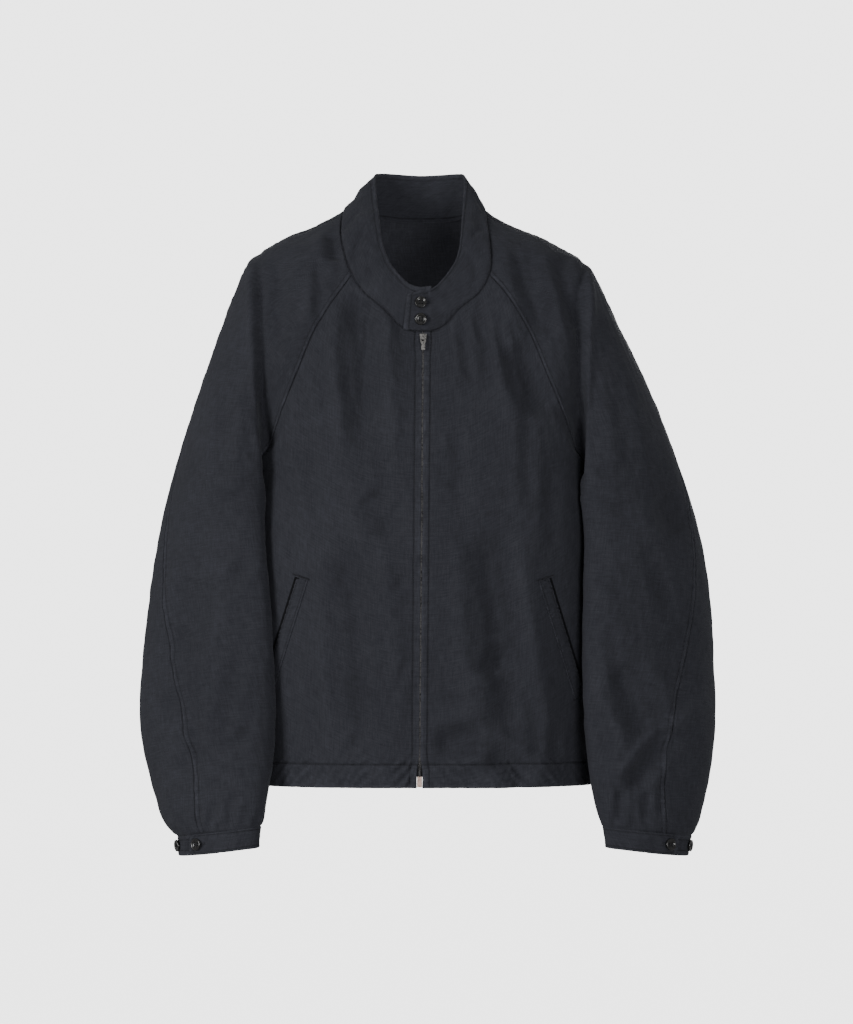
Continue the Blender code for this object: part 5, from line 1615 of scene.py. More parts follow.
def evaluated(source: bpy.types.Object, name: str) -> bpy.types.Mesh:
    """Keeps the result of an object's modifiers as a plain mesh, and removes the object.

    Args:
        source: the object.
        name: the new mesh's name.

    Returns:
        The mesh.
    """
    bpy.context.view_layer.update()
    graph = bpy.context.evaluated_depsgraph_get()
    mesh = bpy.data.meshes.new_from_object(source.evaluated_get(graph), preserve_all_data_layers=True,
                                           depsgraph=graph)
    mesh.name = name
    held = source.data
    bpy.data.objects.remove(source, do_unlink=True)
    bpy.data.meshes.remove(held)
    return mesh


def baked(source: bpy.types.Object, tree: bpy.types.NodeTree, values: dict[str, object],
          name: str) -> bpy.types.Mesh:
    """Runs a geometry tree on an object and keeps the result as a plain mesh.

    Args:
        source: the object that the tree starts from, which is removed.
        tree: the geometry tree.
        values: the tree's inputs by name.
        name: the new mesh's name.

    Returns:
        The mesh.
    """
    modifier = source.modifiers.new("made", "NODES")
    modifier.node_group = tree
    identifiers = {item.name: item.identifier for item in tree.interface.items_tree if item.in_out == "INPUT"}
    for key, value in values.items():
        modifier[identifiers[key]] = value
    source.update_tag()
    return evaluated(source, name)


def path_object(name: str, rows: list[StitchRow], lift: float) -> bpy.types.Object:
    """Makes an object of bare edges that follow stitch rows, with the cloth's normals stored on them.

    Args:
        name: the object's name.
        rows: the stitch rows.
        lift: how far off the cloth they run.

    Returns:
        The object.
    """
    points, normals, edges, start = [], [], [], 0
    for row in rows:
        points.append(row.points + row.normals * lift)
        normals.append(row.normals)
        edges += [(start + k, start + k + 1) for k in range(len(row.points) - 1)]
        start += len(row.points)
    mesh = bpy.data.meshes.new(name)
    mesh.from_pydata(np.concatenate(points).tolist(), edges, [])
    layer = mesh.attributes.new("cloth_normal", "FLOAT_VECTOR", "POINT")
    layer.data.foreach_set("vector", np.concatenate(normals).astype(np.float32).ravel())
    return link(name, mesh)


@cache
def stitch_tree() -> bpy.types.NodeTree:
    """Builds the geometry tree that sets one thread on every pitch of its paths."""
    build, given = new_group("stitches", "GeometryNodeTree", [
        ("Geometry", "Geometry"), ("Pitch", "Float"), ("Half Length", "Float"), ("Thread", "Float"),
        ("Uneven", "Float"), ("Seed", "Int"), ("Material", "Material")], [("Geometry", "Geometry")])
    curve = build.first("GeometryNodeMeshToCurve", {"Mesh": given["Geometry"]})
    spaced = build.first("GeometryNodeResampleCurve", {"Curve": curve, "Length": given["Pitch"]},
                         mode="LENGTH")
    ball = build.first("GeometryNodeMeshIcoSphere", {"Radius": 1.0, "Subdivisions": 1})
    width = given["Thread"]
    size = build.first("ShaderNodeCombineXYZ", {0: given["Half Length"], 1: width, 2: width})
    thread = build.first("GeometryNodeTransform", {"Geometry": ball, "Scale": size})
    tangent = build.first("GeometryNodeInputTangent")
    turn = build.first("FunctionNodeAlignRotationToVector", {"Vector": tangent}, axis="X")
    normal = build.first("GeometryNodeInputNamedAttribute", {"Name": "cloth_normal"},
                         data_type="FLOAT_VECTOR")
    turn = build.first("FunctionNodeAlignRotationToVector", {"Rotation": turn, "Vector": normal},
                       axis="Z", pivot_axis="X")
    low = build.math("SUBTRACT", 1.0, given["Uneven"])
    high = build.math("ADD", 1.0, given["Uneven"])
    scale = build.add("FunctionNodeRandomValue", {2: low, 3: high, "Seed": given["Seed"]}, data_type="FLOAT")
    sewn = build.first("GeometryNodeInstanceOnPoints", {
        "Points": spaced, "Instance": thread, "Rotation": turn, "Scale": scale.outputs[1]})
    real = build.first("GeometryNodeRealizeInstances", {"Geometry": sewn})
    soft = build.first("GeometryNodeSetShadeSmooth", {"Geometry": real})
    done = build.first("GeometryNodeSetMaterial", {"Geometry": soft, "Material": given["Material"]})
    build.add("NodeGroupOutput", {0: done})
    return build.tree


@dataclass(frozen=True)
class Stitcher:
    """Sews rows of stitches as small rounded threads."""

    pitch: float = 0.0029
    thread: float = 0.00030
    gap_share: float = 0.26
    lift: float = 0.00012
    uneven: float = 0.05
    seed: int = 5

    def sew(self, name: str, rows: list[StitchRow], material: bpy.types.Material) -> bpy.types.Object:
        """Sews stitch rows as one piece.

        Args:
            name: the piece's name.
            rows: the rows to sew.
            material: the thread's finish.

        Returns:
            The piece.
        """
        path = path_object(name + "_path", rows, self.lift)
        half_length = self.pitch * (1 - self.gap_share) / 2
        values = {"Pitch": self.pitch, "Half Length": half_length, "Thread": self.thread,
                  "Uneven": self.uneven, "Seed": self.seed, "Material": material}
        return new_piece(name, baked(path, stitch_tree(), values, name), material, "jacket")


BAR_TACK = Stitcher(pitch=0.0011, thread=0.00030, gap_share=0.0, lift=0.0002)
PURL = Stitcher(pitch=0.0009, thread=0.00024, gap_share=0.0, lift=0.0002)


# ---- finishes ----
def opaque(colour: Triple) -> tuple[float, ...]:
    """Gives a colour as the sockets take it."""
    return (*colour, 1.0)


@dataclass(frozen=True)
class Weave:
    """The twill weave: diagonal ribs of slightly uneven yarn, on flat cloth coordinates."""

    pitch: float = 0.0009
    slope: float = 1.35
    drift: float = 0.0011
    drift_scale: float = 260.0
    rib_height: float = 0.36
    yarn_height: float = 0.14
    yarn_slope: float = 0.4
    yarn_turns: float = 2.1
    yarn_scale: float = 900.0
    slub: Span = (60.0, 620.0)

    @cache
    def group(self) -> bpy.types.NodeTree:
        """Builds the shader group."""
        build, given = new_group("weave", "ShaderNodeTree", [
            ("Flat", "Vector"), ("Pitch", "Float", self.pitch), ("Slope", "Float", self.slope)],
            [("Height", "Float"), ("Yarn", "Float"), ("Grain", "Float")])
        flat = given["Flat"]
        split = build.add("ShaderNodeSeparateXYZ", {0: flat}).outputs
        drift = build.math("MULTIPLY", build.noise(flat, self.drift_scale), self.drift)
        run = build.math("ADD", build.math("MULTIPLY", split[0], given["Slope"]), split[1])
        turns = build.math("DIVIDE", build.math("ADD", run, drift), given["Pitch"])
        rib = build.math("SINE", build.math("MULTIPLY", turns, 2 * math.pi))
        cross = build.math("SUBTRACT", split[1], build.math("MULTIPLY", split[0], self.yarn_slope))
        yarns = build.math("DIVIDE", cross, given["Pitch"])
        yarn = build.math("SINE", build.math("MULTIPLY", yarns, self.yarn_turns * 2 * math.pi))
        ribbed = build.math("MULTIPLY_ADD", rib, self.rib_height, 0.5)
        height = build.math("MULTIPLY_ADD", yarn, self.yarn_height, ribbed)
        slubs = []
        for stretch in ((*self.slub, 1.0), (*self.slub[::-1], 1.0)):
            stretched = build.first("ShaderNodeVectorMath", {0: flat, 1: stretch}, operation="MULTIPLY")
            slubs.append(build.noise(stretched, 1.0))
        grain = build.math("MULTIPLY_ADD", slubs[0], 0.5, build.math("MULTIPLY", slubs[1], 0.5))
        build.add("NodeGroupOutput", {0: height, 1: build.noise(flat, self.yarn_scale, 3.0), 2: grain})
        return build.tree


@dataclass(frozen=True)
class Wash:
    """The washed look: mottling, faded seams, rubbed ridges, painted shade in fold troughs and seam grooves,
    and a little lint.
    """

    fine_scale: float = 95.0
    fine_roughness: float = 0.62
    broad_scale: float = 13.0
    mottle: Span = (0.38, 0.66)
    grit: Span = (0.35, 0.62)
    grit_share: Span = (0.35, 1.25)
    # fold depths and the dye shares they give: painted shade, darker in the fold troughs and lighter on the
    # crests
    relief: Span = (-0.002, 0.005)
    fold_shade_share: Span = (0.38, 0.33)
    speck_scale: float = 210.0
    speck: Span = (0.045, 0.10)
    lint_scale: float = 70.0
    lint_patch: Span = (0.56, 0.62)
    lint: Triple = (0.22, 0.23, 0.26)

    @cache
    def group(self) -> bpy.types.NodeTree:
        """Builds the shader group."""
        build, given = new_group("wash", "ShaderNodeTree", [
            ("Place", "Vector"), ("Dyed", "Color"), ("Faded", "Color"), ("Fade", "Float"),
            ("Mottle", "Float"), ("Lint", "Float")], [("Color", "Color"), ("Relief", "Float")])
        place = given["Place"]
        fine = build.noise(place, self.fine_scale, 6.0, Roughness=self.fine_roughness)
        broad = build.noise(place, self.broad_scale, 4.0)
        both = build.math("MULTIPLY_ADD", broad, 0.5, build.math("MULTIPLY", fine, 0.5))
        mottled = build.math("MULTIPLY", build.remap(both, self.mottle), given["Mottle"])
        # the attribute holds rubbed wear, which lightens, and painted groove shade, which is negative and
        # darkens
        wear_and_shade = build.add("ShaderNodeAttribute", attribute_name="seam_wear").outputs["Fac"]
        grit = build.remap(fine, self.grit, self.grit_share)
        rubbed = build.math("MULTIPLY", build.math("MULTIPLY", wear_and_shade, grit), given["Fade"])
        # painted shade from the fold depth: troughs darker, crests lighter
        ridge = build.add("ShaderNodeAttribute", attribute_name="fold_relief").outputs["Fac"]
        fold_shade = build.remap(ridge, self.relief, self.fold_shade_share)
        share = build.math("ADD", build.math("ADD", mottled, rubbed), fold_shade)
        cloth = build.blend(build.first("ShaderNodeClamp", {0: share}), given["Dyed"], given["Faded"])
        specks = build.add("ShaderNodeTexVoronoi", {"Vector": place, "Scale": self.speck_scale})
        speck = build.remap(specks.outputs["Distance"], self.speck, (1.0, 0.0))
        kept = build.remap(build.noise(place, self.lint_scale), self.lint_patch)
        lint = build.math("MULTIPLY", build.math("MULTIPLY", speck, kept), given["Lint"])
        build.add("NodeGroupOutput", {0: build.blend(lint, cloth, opaque(self.lint)), 1: both})
        return build.tree


WEAVE = Weave()
WASH = Wash()


@dataclass(frozen=True)
class Finish:
    """A node material, made from what each finish says about its surface."""

    name: str

    def surface(self, build: NodeTree, place: NodeSocket) -> dict[str, object]:
        """Builds what a finish shows.

        Args:
            build: the material's tool.
            place: the place on the object, in metres.

        Returns:
            What goes into the surface, by socket name.
        """
        raise NotImplementedError

    def make(self) -> bpy.types.Material:
        """Builds the material."""
        made = bpy.data.materials.new(self.name)
        made.use_nodes = True
        build = NodeTree(made.node_tree)
        place = build.add("ShaderNodeTexCoord").outputs["Object"]
        shader = build.first("ShaderNodeBsdfPrincipled", self.surface(build, place))
        build.add("ShaderNodeOutputMaterial", {0: shader})
        return made


@dataclass(frozen=True)
class ClothFinish(Finish):
    """Washed cotton cloth: its dye, its fading, painted shade in its folds and seam grooves, its weave and its
    nap.
    """

    dyed: Triple
    faded: Triple
    fade: float = 0.42
    mottle: float = 0.12
    lint: float = 0.10
    pitch: float = 0.00095
    weave_depth: float = 0.00009
    crumple_scale: float = 170.0
    crumple_depth: float = 0.00045
    rib_tone: Span = (0.78, 1.22)
    yarn_tone: Span = (0.85, 1.15)
    slub_tone: Span = (0.80, 1.20)
    roughness: Span = (0.94, 0.82)
    sheen: float = 0.04
    sheen_tint: Triple = (0.80, 0.84, 0.92)

    def surface(self, build: NodeTree, place: NodeSocket) -> dict[str, object]:
        """Builds what the finish shows."""
        flat = build.first("ShaderNodeUVMap", uv_map="cloth")
        dye = {"Place": place, "Dyed": opaque(self.dyed), "Faded": opaque(self.faded), "Fade": self.fade,
               "Mottle": self.mottle, "Lint": self.lint}
        wash = build.add("ShaderNodeGroup", dye, node_tree=WASH.group()).outputs
        weave = build.add("ShaderNodeGroup", {"Flat": flat, "Pitch": self.pitch},
                          node_tree=WEAVE.group()).outputs
        tone = build.math("MULTIPLY", build.remap(weave["Height"], (0.0, 1.0), self.rib_tone),
                          build.remap(weave["Yarn"], (0.3, 0.7), self.yarn_tone))
        tone = build.math("MULTIPLY", tone, build.remap(weave["Grain"], (0.36, 0.64), self.slub_tone))
        colour = build.first("ShaderNodeVectorMath", {0: wash["Color"], "Scale": tone}, operation="SCALE")
        soft = build.bump(build.noise(place, self.crumple_scale, 5.0, Roughness=0.6), self.crumple_depth)
        return {"Base Color": colour, "Roughness": build.remap(wash["Relief"], (0.3, 0.7), self.roughness),
                "Sheen Weight": self.sheen, "Sheen Roughness": 0.5, "Sheen Tint": opaque(self.sheen_tint),
                "Specular IOR Level": 0.12,
                "Normal": build.bump(weave["Height"], self.weave_depth, Normal=soft)}


@dataclass(frozen=True)
class ThreadFinish(Finish):
    """Sewing thread: its dye and the twist of its plies."""

    dyed: Triple
    faded: Triple
    ply_depth: float = 0.00005
    roughness: Span = (0.64, 0.80)

    def surface(self, build: NodeTree, place: NodeSocket) -> dict[str, object]:
        """Builds what the finish shows."""
        stain = build.noise(place, 240.0, 3.0)
        ply = build.add("ShaderNodeTexWave", {"Vector": place, "Scale": 900.0, "Distortion": 2.0},
                        bands_direction="DIAGONAL").outputs["Fac"]
        colour = build.blend(build.remap(stain, (0.35, 0.65)), opaque(self.dyed), opaque(self.faded))
        return {"Base Color": colour, "Roughness": build.remap(stain, (0.0, 1.0), self.roughness),
                "Normal": build.bump(ply, self.ply_depth), "Specular IOR Level": 0.25}


@dataclass(frozen=True)
class MetalFinish(Finish):
    """Cast or stamped metal: its colour, patches of tarnish and its fine scratches."""

    bright: Triple
    tarnish: Triple
    roughness: float = 0.30
    tarnish_share: float = 0.5
    uneven: Span = (-0.06, 0.16)
    scratch_depth: float = 0.00003

    def surface(self, build: NodeTree, place: NodeSocket) -> dict[str, object]:
        """Builds what the finish shows."""
        stain = build.noise(place, 420.0, 5.0)
        share = build.remap(stain, (0.45, 0.68), (0.0, self.tarnish_share))
        rough = build.remap(stain, (0.3, 0.7), tuple(self.roughness + step for step in self.uneven))
        scratches = build.bump(build.noise(place, 1500.0, 4.0), self.scratch_depth)
        colour = build.blend(share, opaque(self.bright), opaque(self.tarnish))
        return {"Base Color": colour, "Roughness": rough, "Metallic": 1.0, "Normal": scratches}


@dataclass(frozen=True)
class ButtonFinish(Finish):
    """Polished dark plastic with the faint streaks of horn."""

    dark: Triple
    streak: Triple
    roughness: float = 0.30
    uneven: Span = (-0.05, 0.10)
    swirl_depth: float = 0.00002

    def surface(self, build: NodeTree, place: NodeSocket) -> dict[str, object]:
        """Builds what the finish shows."""
        swirl = build.noise(place, 230.0, 4.0, Distortion=1.6)
        colour = build.blend(build.remap(swirl, (0.48, 0.66)), opaque(self.dark), opaque(self.streak))
        rough = build.remap(swirl, (0.3, 0.7), tuple(self.roughness + step for step in self.uneven))
        return {"Base Color": colour, "Roughness": rough, "Coat Weight": 0.35, "Coat Roughness": 0.10,
                "Specular IOR Level": 0.35, "Normal": build.bump(swirl, self.swirl_depth)}


@dataclass(frozen=True)
class StageFinish(Finish):
    """The pale matt sheet of the room, which glows evenly so that no wall or floor turns grey."""

    name: str = "studio_paper"
    pale: Triple = (0.45, 0.45, 0.45)
    glow: float = 3.15

    def surface(self, build: NodeTree, place: NodeSocket) -> dict[str, object]:
        """Builds what the finish shows."""
        return {"Base Color": opaque(self.pale), "Roughness": 0.95, "Specular IOR Level": 0.0,
                "Emission Strength": self.glow, "Emission Color": (1.0, 1.0, 1.0, 1.0)}


TWILL = ClothFinish("washed_twill", (0.0062, 0.0064, 0.0083), (0.0345, 0.0358, 0.0447))
THREAD = ThreadFinish("navy_thread", (0.0060, 0.0063, 0.0080), (0.013, 0.0137, 0.017))
TAPE = ClothFinish("zip_tape", (0.0020, 0.0022, 0.0030), (0.010, 0.0108, 0.013), fade=0.3, lint=0.05,
                   pitch=0.0012, crumple_depth=0.0001)
# near-black lining strip: painted shade standing in for the shadow in the pocket mouths
POCKET_MOUTH_SHADE = ClothFinish("pocket_lining", (0.0006, 0.0006, 0.0009), (0.0040, 0.0043, 0.0055), lint=0.0, sheen=0.0)
SILVER = MetalFinish("slider_metal", (0.34, 0.33, 0.32), (0.028, 0.028, 0.027), roughness=0.34,
                     tarnish_share=0.95)
# the teeth are near-black all over, with tarnish over most of them: painted shade for the narrow dark gap
# between the front edges
TOOTH_METAL = MetalFinish("tooth_metal", (0.045, 0.044, 0.045), (0.010, 0.010, 0.011), roughness=0.50,
                          tarnish_share=0.9)
COPPER = MetalFinish("retainer_metal", (0.36, 0.27, 0.235), (0.11, 0.07, 0.055), roughness=0.38)
HORN = ButtonFinish("dark_horn", (0.0016, 0.0015, 0.0016), (0.0045, 0.0037, 0.0032), roughness=0.22)


# ---- the garment ----
BODY = JacketForm()
COLLAR_CREASES = Columns("u0 v0 u1 v1 width depth", [
    (-0.215, 0.008, -0.175, 0.040, 0.0055, 0.0019),
    (-0.165, 0.004, -0.140, 0.034, 0.0050, 0.0017),
    (-0.110, 0.012, -0.060, 0.030, 0.0065, 0.0017),
    (-0.045, 0.030, -0.010, 0.012, 0.0060, 0.0015),
    (0.020, 0.010, 0.070, 0.032, 0.0065, 0.0019),
    (0.095, 0.030, 0.125, 0.006, 0.0055, 0.0017),
    (0.150, 0.006, 0.175, 0.036, 0.0050, 0.0019),
    (0.205, 0.036, 0.235, 0.010, 0.0055, 0.0017),
    (-0.250, 0.018, -0.228, 0.030, 0.0045, 0.0014),
    (0.248, 0.014, 0.268, 0.032, 0.0045, 0.0014),
])


@dataclass(frozen=True)
class Dress:
    """The finishes that the jacket's pieces share."""

    twill: bpy.types.Material
    thread: bpy.types.Material
    tape: bpy.types.Material
    silver: bpy.types.Material
    teeth: bpy.types.Material
    copper: bpy.types.Material
    horn: bpy.types.Material
    # the near-black painted shade of the pocket mouths
    mouth_shade: bpy.types.Material


WEAR_AND_SHADE_RANGE = (-1.5, 1.0)
ALL_FREE = {edge: Seam.FREE for edge in Edge}
FLAT_EDGE = SeamForm(press=0.0, raise_by=0.0, stitch_depth=0.0, pucker=0.0)


@dataclass
class Tailor:
    """Makes finished cloth pieces from their relief: a thin shell with flat coordinates."""

    dress: Dress
    thickness: float = 0.0012
    rim_share: float = 0.42

    @staticmethod
    def flat_places(cloth: Cloth, origin: Array | float) -> Array:
        """Gives the flat coordinates of a piece, in metres.

        Args:
            cloth: the piece.
            origin: the column, or one value for each row, that the width is measured from.

        Returns:
            Two numbers for each point.
        """
        return np.stack([cloth.away[Edge.FIRST] - origin, -cloth.away[Edge.TOP]], axis=-1)

    def make(self, cloth: Cloth, nodes: list[str], rests_on: list[str],
             thickness: Array | float | None = None, origin: Array | float = 0.0,
             finish: bpy.types.Material | None = None, slot: str = "twill") -> bpy.types.Object:
        """Builds one cloth piece.

        Args:
            cloth: the piece, with its relief laid.
            nodes: the plain solids that it stands for.
            rests_on: what it hangs from; not used.
            thickness: of the shell.
            origin: where its flat width is measured from.
            finish: its material, the twill if none.
            slot: not used.

        Returns:
            The piece.
        """
        thick = self.thickness if thickness is None else thickness
        thick = np.broadcast_to(thick, cloth.relief.shape)[..., None]
        cloth.outer = cloth.plain - cloth.normals * cloth.relief[..., None]
        inner = cloth.outer - cloth.normals * thick
        stands_out = self.rim_share * float(thick.mean())
        rims = {edge: stands_out * (kind in (Seam.FREE, Seam.HEM)) for edge, kind in cloth.seams.items()}
        folds = getattr(cloth, "folds", cloth.relief)
        floats = {"seam_wear": np.clip(cloth.wear_and_shade, *WEAR_AND_SHADE_RANGE), "fold_relief": folds}
        flat = self.flat_places(cloth, origin)
        mesh = shell_mesh(cloth.name, cloth.outer, inner, cloth.outward, flat, floats, rims)
        piece = new_piece(cloth.name, mesh, finish or self.dress.twill, "jacket")
        if nodes:
            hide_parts(*nodes)
        return piece

    @staticmethod
    def area(grid: Array) -> float:
        """Gives a grid's area in square metres."""
        one = np.cross(grid[1:, :-1] - grid[:-1, :-1], grid[:-1, 1:] - grid[:-1, :-1])
        two = np.cross(grid[1:, :-1] - grid[1:, 1:], grid[:-1, 1:] - grid[1:, 1:])
        return float((np.linalg.norm(one, axis=-1) + np.linalg.norm(two, axis=-1)).sum() / 2)


@dataclass
class Shell:
    """The jacket's fronts, back and sleeves, which are sewn together."""

    tailor: Tailor
    hem_steps: tuple[int, ...] = (13, 20, 6)
    body_step: int = 13
    raglan_step: int = 7
    arm_step: int = 9
    hem_thickness: float = 0.0024
    front_columns: int = 56
    back_columns: int = 112
    sleeve_columns: tuple[int, int] = (72, 40)
    pocket_sink: float = 0.0017
    pocket_reach: float = 0.0050
    pocket_edge: float = 0.002
    pocket_end: float = 0.06
    placket: SeamForm = SeamForm(allowance=0.0070, stitch=0.0078, stitch_depth=0.0008, stitch_width=0.0010)
    near_zip: tuple[float, ...] = (0, 0.0004, 0.0009, 0.0016, 0.0028, 0.0044, 0.0058, 0.0066, 0.0072, 0.0078,
                                   0.0084, 0.0092, 0.0108)

    def build(self) -> None:
        """Builds the seven pieces and their stitch rows."""
        corner = len(BODY.seam_heights()) - 1
        body_counts = list(self.hem_steps) + [self.body_step] * (corner - len(self.hem_steps))
        body_counts += [self.raglan_step] * BODY.raglan_rows
        sleeve_counts = [self.raglan_step] * BODY.raglan_rows + [self.arm_step] * BODY.arm_rows
        level = {Edge.BOTTOM: Seam.HEM, Edge.TOP: Seam.NECK}
        front_seams = {Edge.FIRST: Seam.FREE, Edge.LAST: Seam.PLAIN, **level}
        back_seams = {Edge.FIRST: Seam.PLAIN, Edge.LAST: Seam.PLAIN, **level}
        self.fronts = {}
        for side in Side:
            self.fronts[side] = Cloth(side.name_of("cloth_front"), BODY.front_grid(side.sign), side.sign,
                                      body_counts, self.front_columns, front_seams, Zone.FRONT, side.sign,
                                      corner, form=self.placket, near_edge=self.near_zip)
        self.back = Cloth("cloth_back", BODY.back_grid(), -1, body_counts, self.back_columns, back_seams,
                          Zone.BACK, 0, corner)
        self.sleeves = {}
        for side in Side:
            for is_front in (True, False):
                self.sleeves[side, is_front] = self.sleeve(side, is_front, sleeve_counts)
        cloths = list(self.fronts.values()) + [self.back] + list(self.sleeves.values())
        ClothSet(cloths).lay()
        for side, cloth in self.fronts.items():
            self.sink_pocket(side, cloth)
        self.make_pieces()

    def sleeve(self, side: Side, is_front: bool, counts: list[int]) -> Cloth:
        """Starts one sleeve's front or back piece.

        Args:
            side: the wearer's side.
            is_front: whether it is the front piece.
            counts: steps in each coarse row.

        Returns:
            The piece.
        """
        name = side.name_of("cloth_sleeve_front" if is_front else "cloth_sleeve_back")
        outward = -side.sign if is_front else side.sign
        seams = {Edge.FIRST: Seam.TOPSTITCHED, Edge.LAST: Seam.TOPSTITCHED if is_front else Seam.PLAIN,
                 Edge.BOTTOM: Seam.NECK, Edge.TOP: Seam.CUFF}
        zone = Zone.SLEEVE_FRONT if is_front else Zone.SLEEVE_BACK
        columns = self.sleeve_columns[0 if is_front else 1]
        return Cloth(name, BODY.sleeve_grid(side.sign, is_front), outward, counts, columns, seams, zone,
                     side.sign, BODY.raglan_rows, past_corner=Seam.PLAIN)

    def sink_pocket(self, side: Side, cloth: Cloth) -> None:
        """Sinks the pocket's mouth beside its welt.

        Args:
            side: the wearer's side.
            cloth: its front.
        """
        flat = np.stack([np.abs(cloth.plain[..., 0]), cloth.plain[..., 2]], axis=-1)
        top, foot = (np.array(end) for end in POCKETS[side])
        gap, place = line_gap(flat, np.array([top, foot]))
        outer_side = (flat[..., 0] - top[0]) * (foot - top)[1] - (flat[..., 1] - top[1]) * (foot - top)[0] < 0
        ends = ease(place / self.pocket_end) * ease((1 - place) / self.pocket_end)
        under_welt = np.exp(-(gap / self.pocket_edge) ** 2)
        sunk = np.exp(-(gap / self.pocket_reach) ** 2) * np.where(outer_side, 1.0, under_welt)
        cloth.relief = cloth.relief + self.pocket_sink * sunk * ends

    def make_pieces(self) -> None:
        """Makes the shells and sews them."""
        stitcher = Stitcher()
        thread = self.tailor.dress.thread
        hem = BODY.turn_up
        for side, cloth in self.fronts.items():
            thick = np.where(cloth.away[Edge.BOTTOM] < hem, self.hem_thickness, self.tailor.thickness)
            self.tailor.make(cloth, [side.name_of("front")], [side.name_of("cloth_sleeve_front")], thick)
            rows = [row_along(cloth, Edge.FIRST, cloth.form.stitch), row_along(cloth, Edge.BOTTOM, hem)]
            stitcher.sew(side.name_of("stitches_front"), rows, thread)
        thick = np.where(self.back.away[Edge.BOTTOM] < hem, self.hem_thickness, self.tailor.thickness)
        across = self.back.away[Edge.FIRST]
        middle = across.shape[1] // 2
        hung_from = [side.name_of("cloth_sleeve_back") for side in Side]
        self.tailor.make(self.back, ["back"], hung_from, thick, across[:, middle:middle + 1])
        stitcher.sew("stitches_back", [row_along(self.back, Edge.BOTTOM, hem)], thread)
        for (side, is_front), cloth in self.sleeves.items():
            stem = "sleeve_front" if is_front else "sleeve_back"
            origin = cloth.away[Edge.FIRST][:, -1:]
            self.tailor.make(cloth, [side.name_of(stem)], ["cloth_collar"], origin=origin)
            rows = [row_along(cloth, Edge.FIRST, cloth.form.stitch, slice(1, cloth.fine_corner + 1))]
            if is_front:
                rows.append(row_along(cloth, Edge.LAST, cloth.form.stitch))
            stitcher.sew(side.name_of("stitches_" + stem), rows, thread)


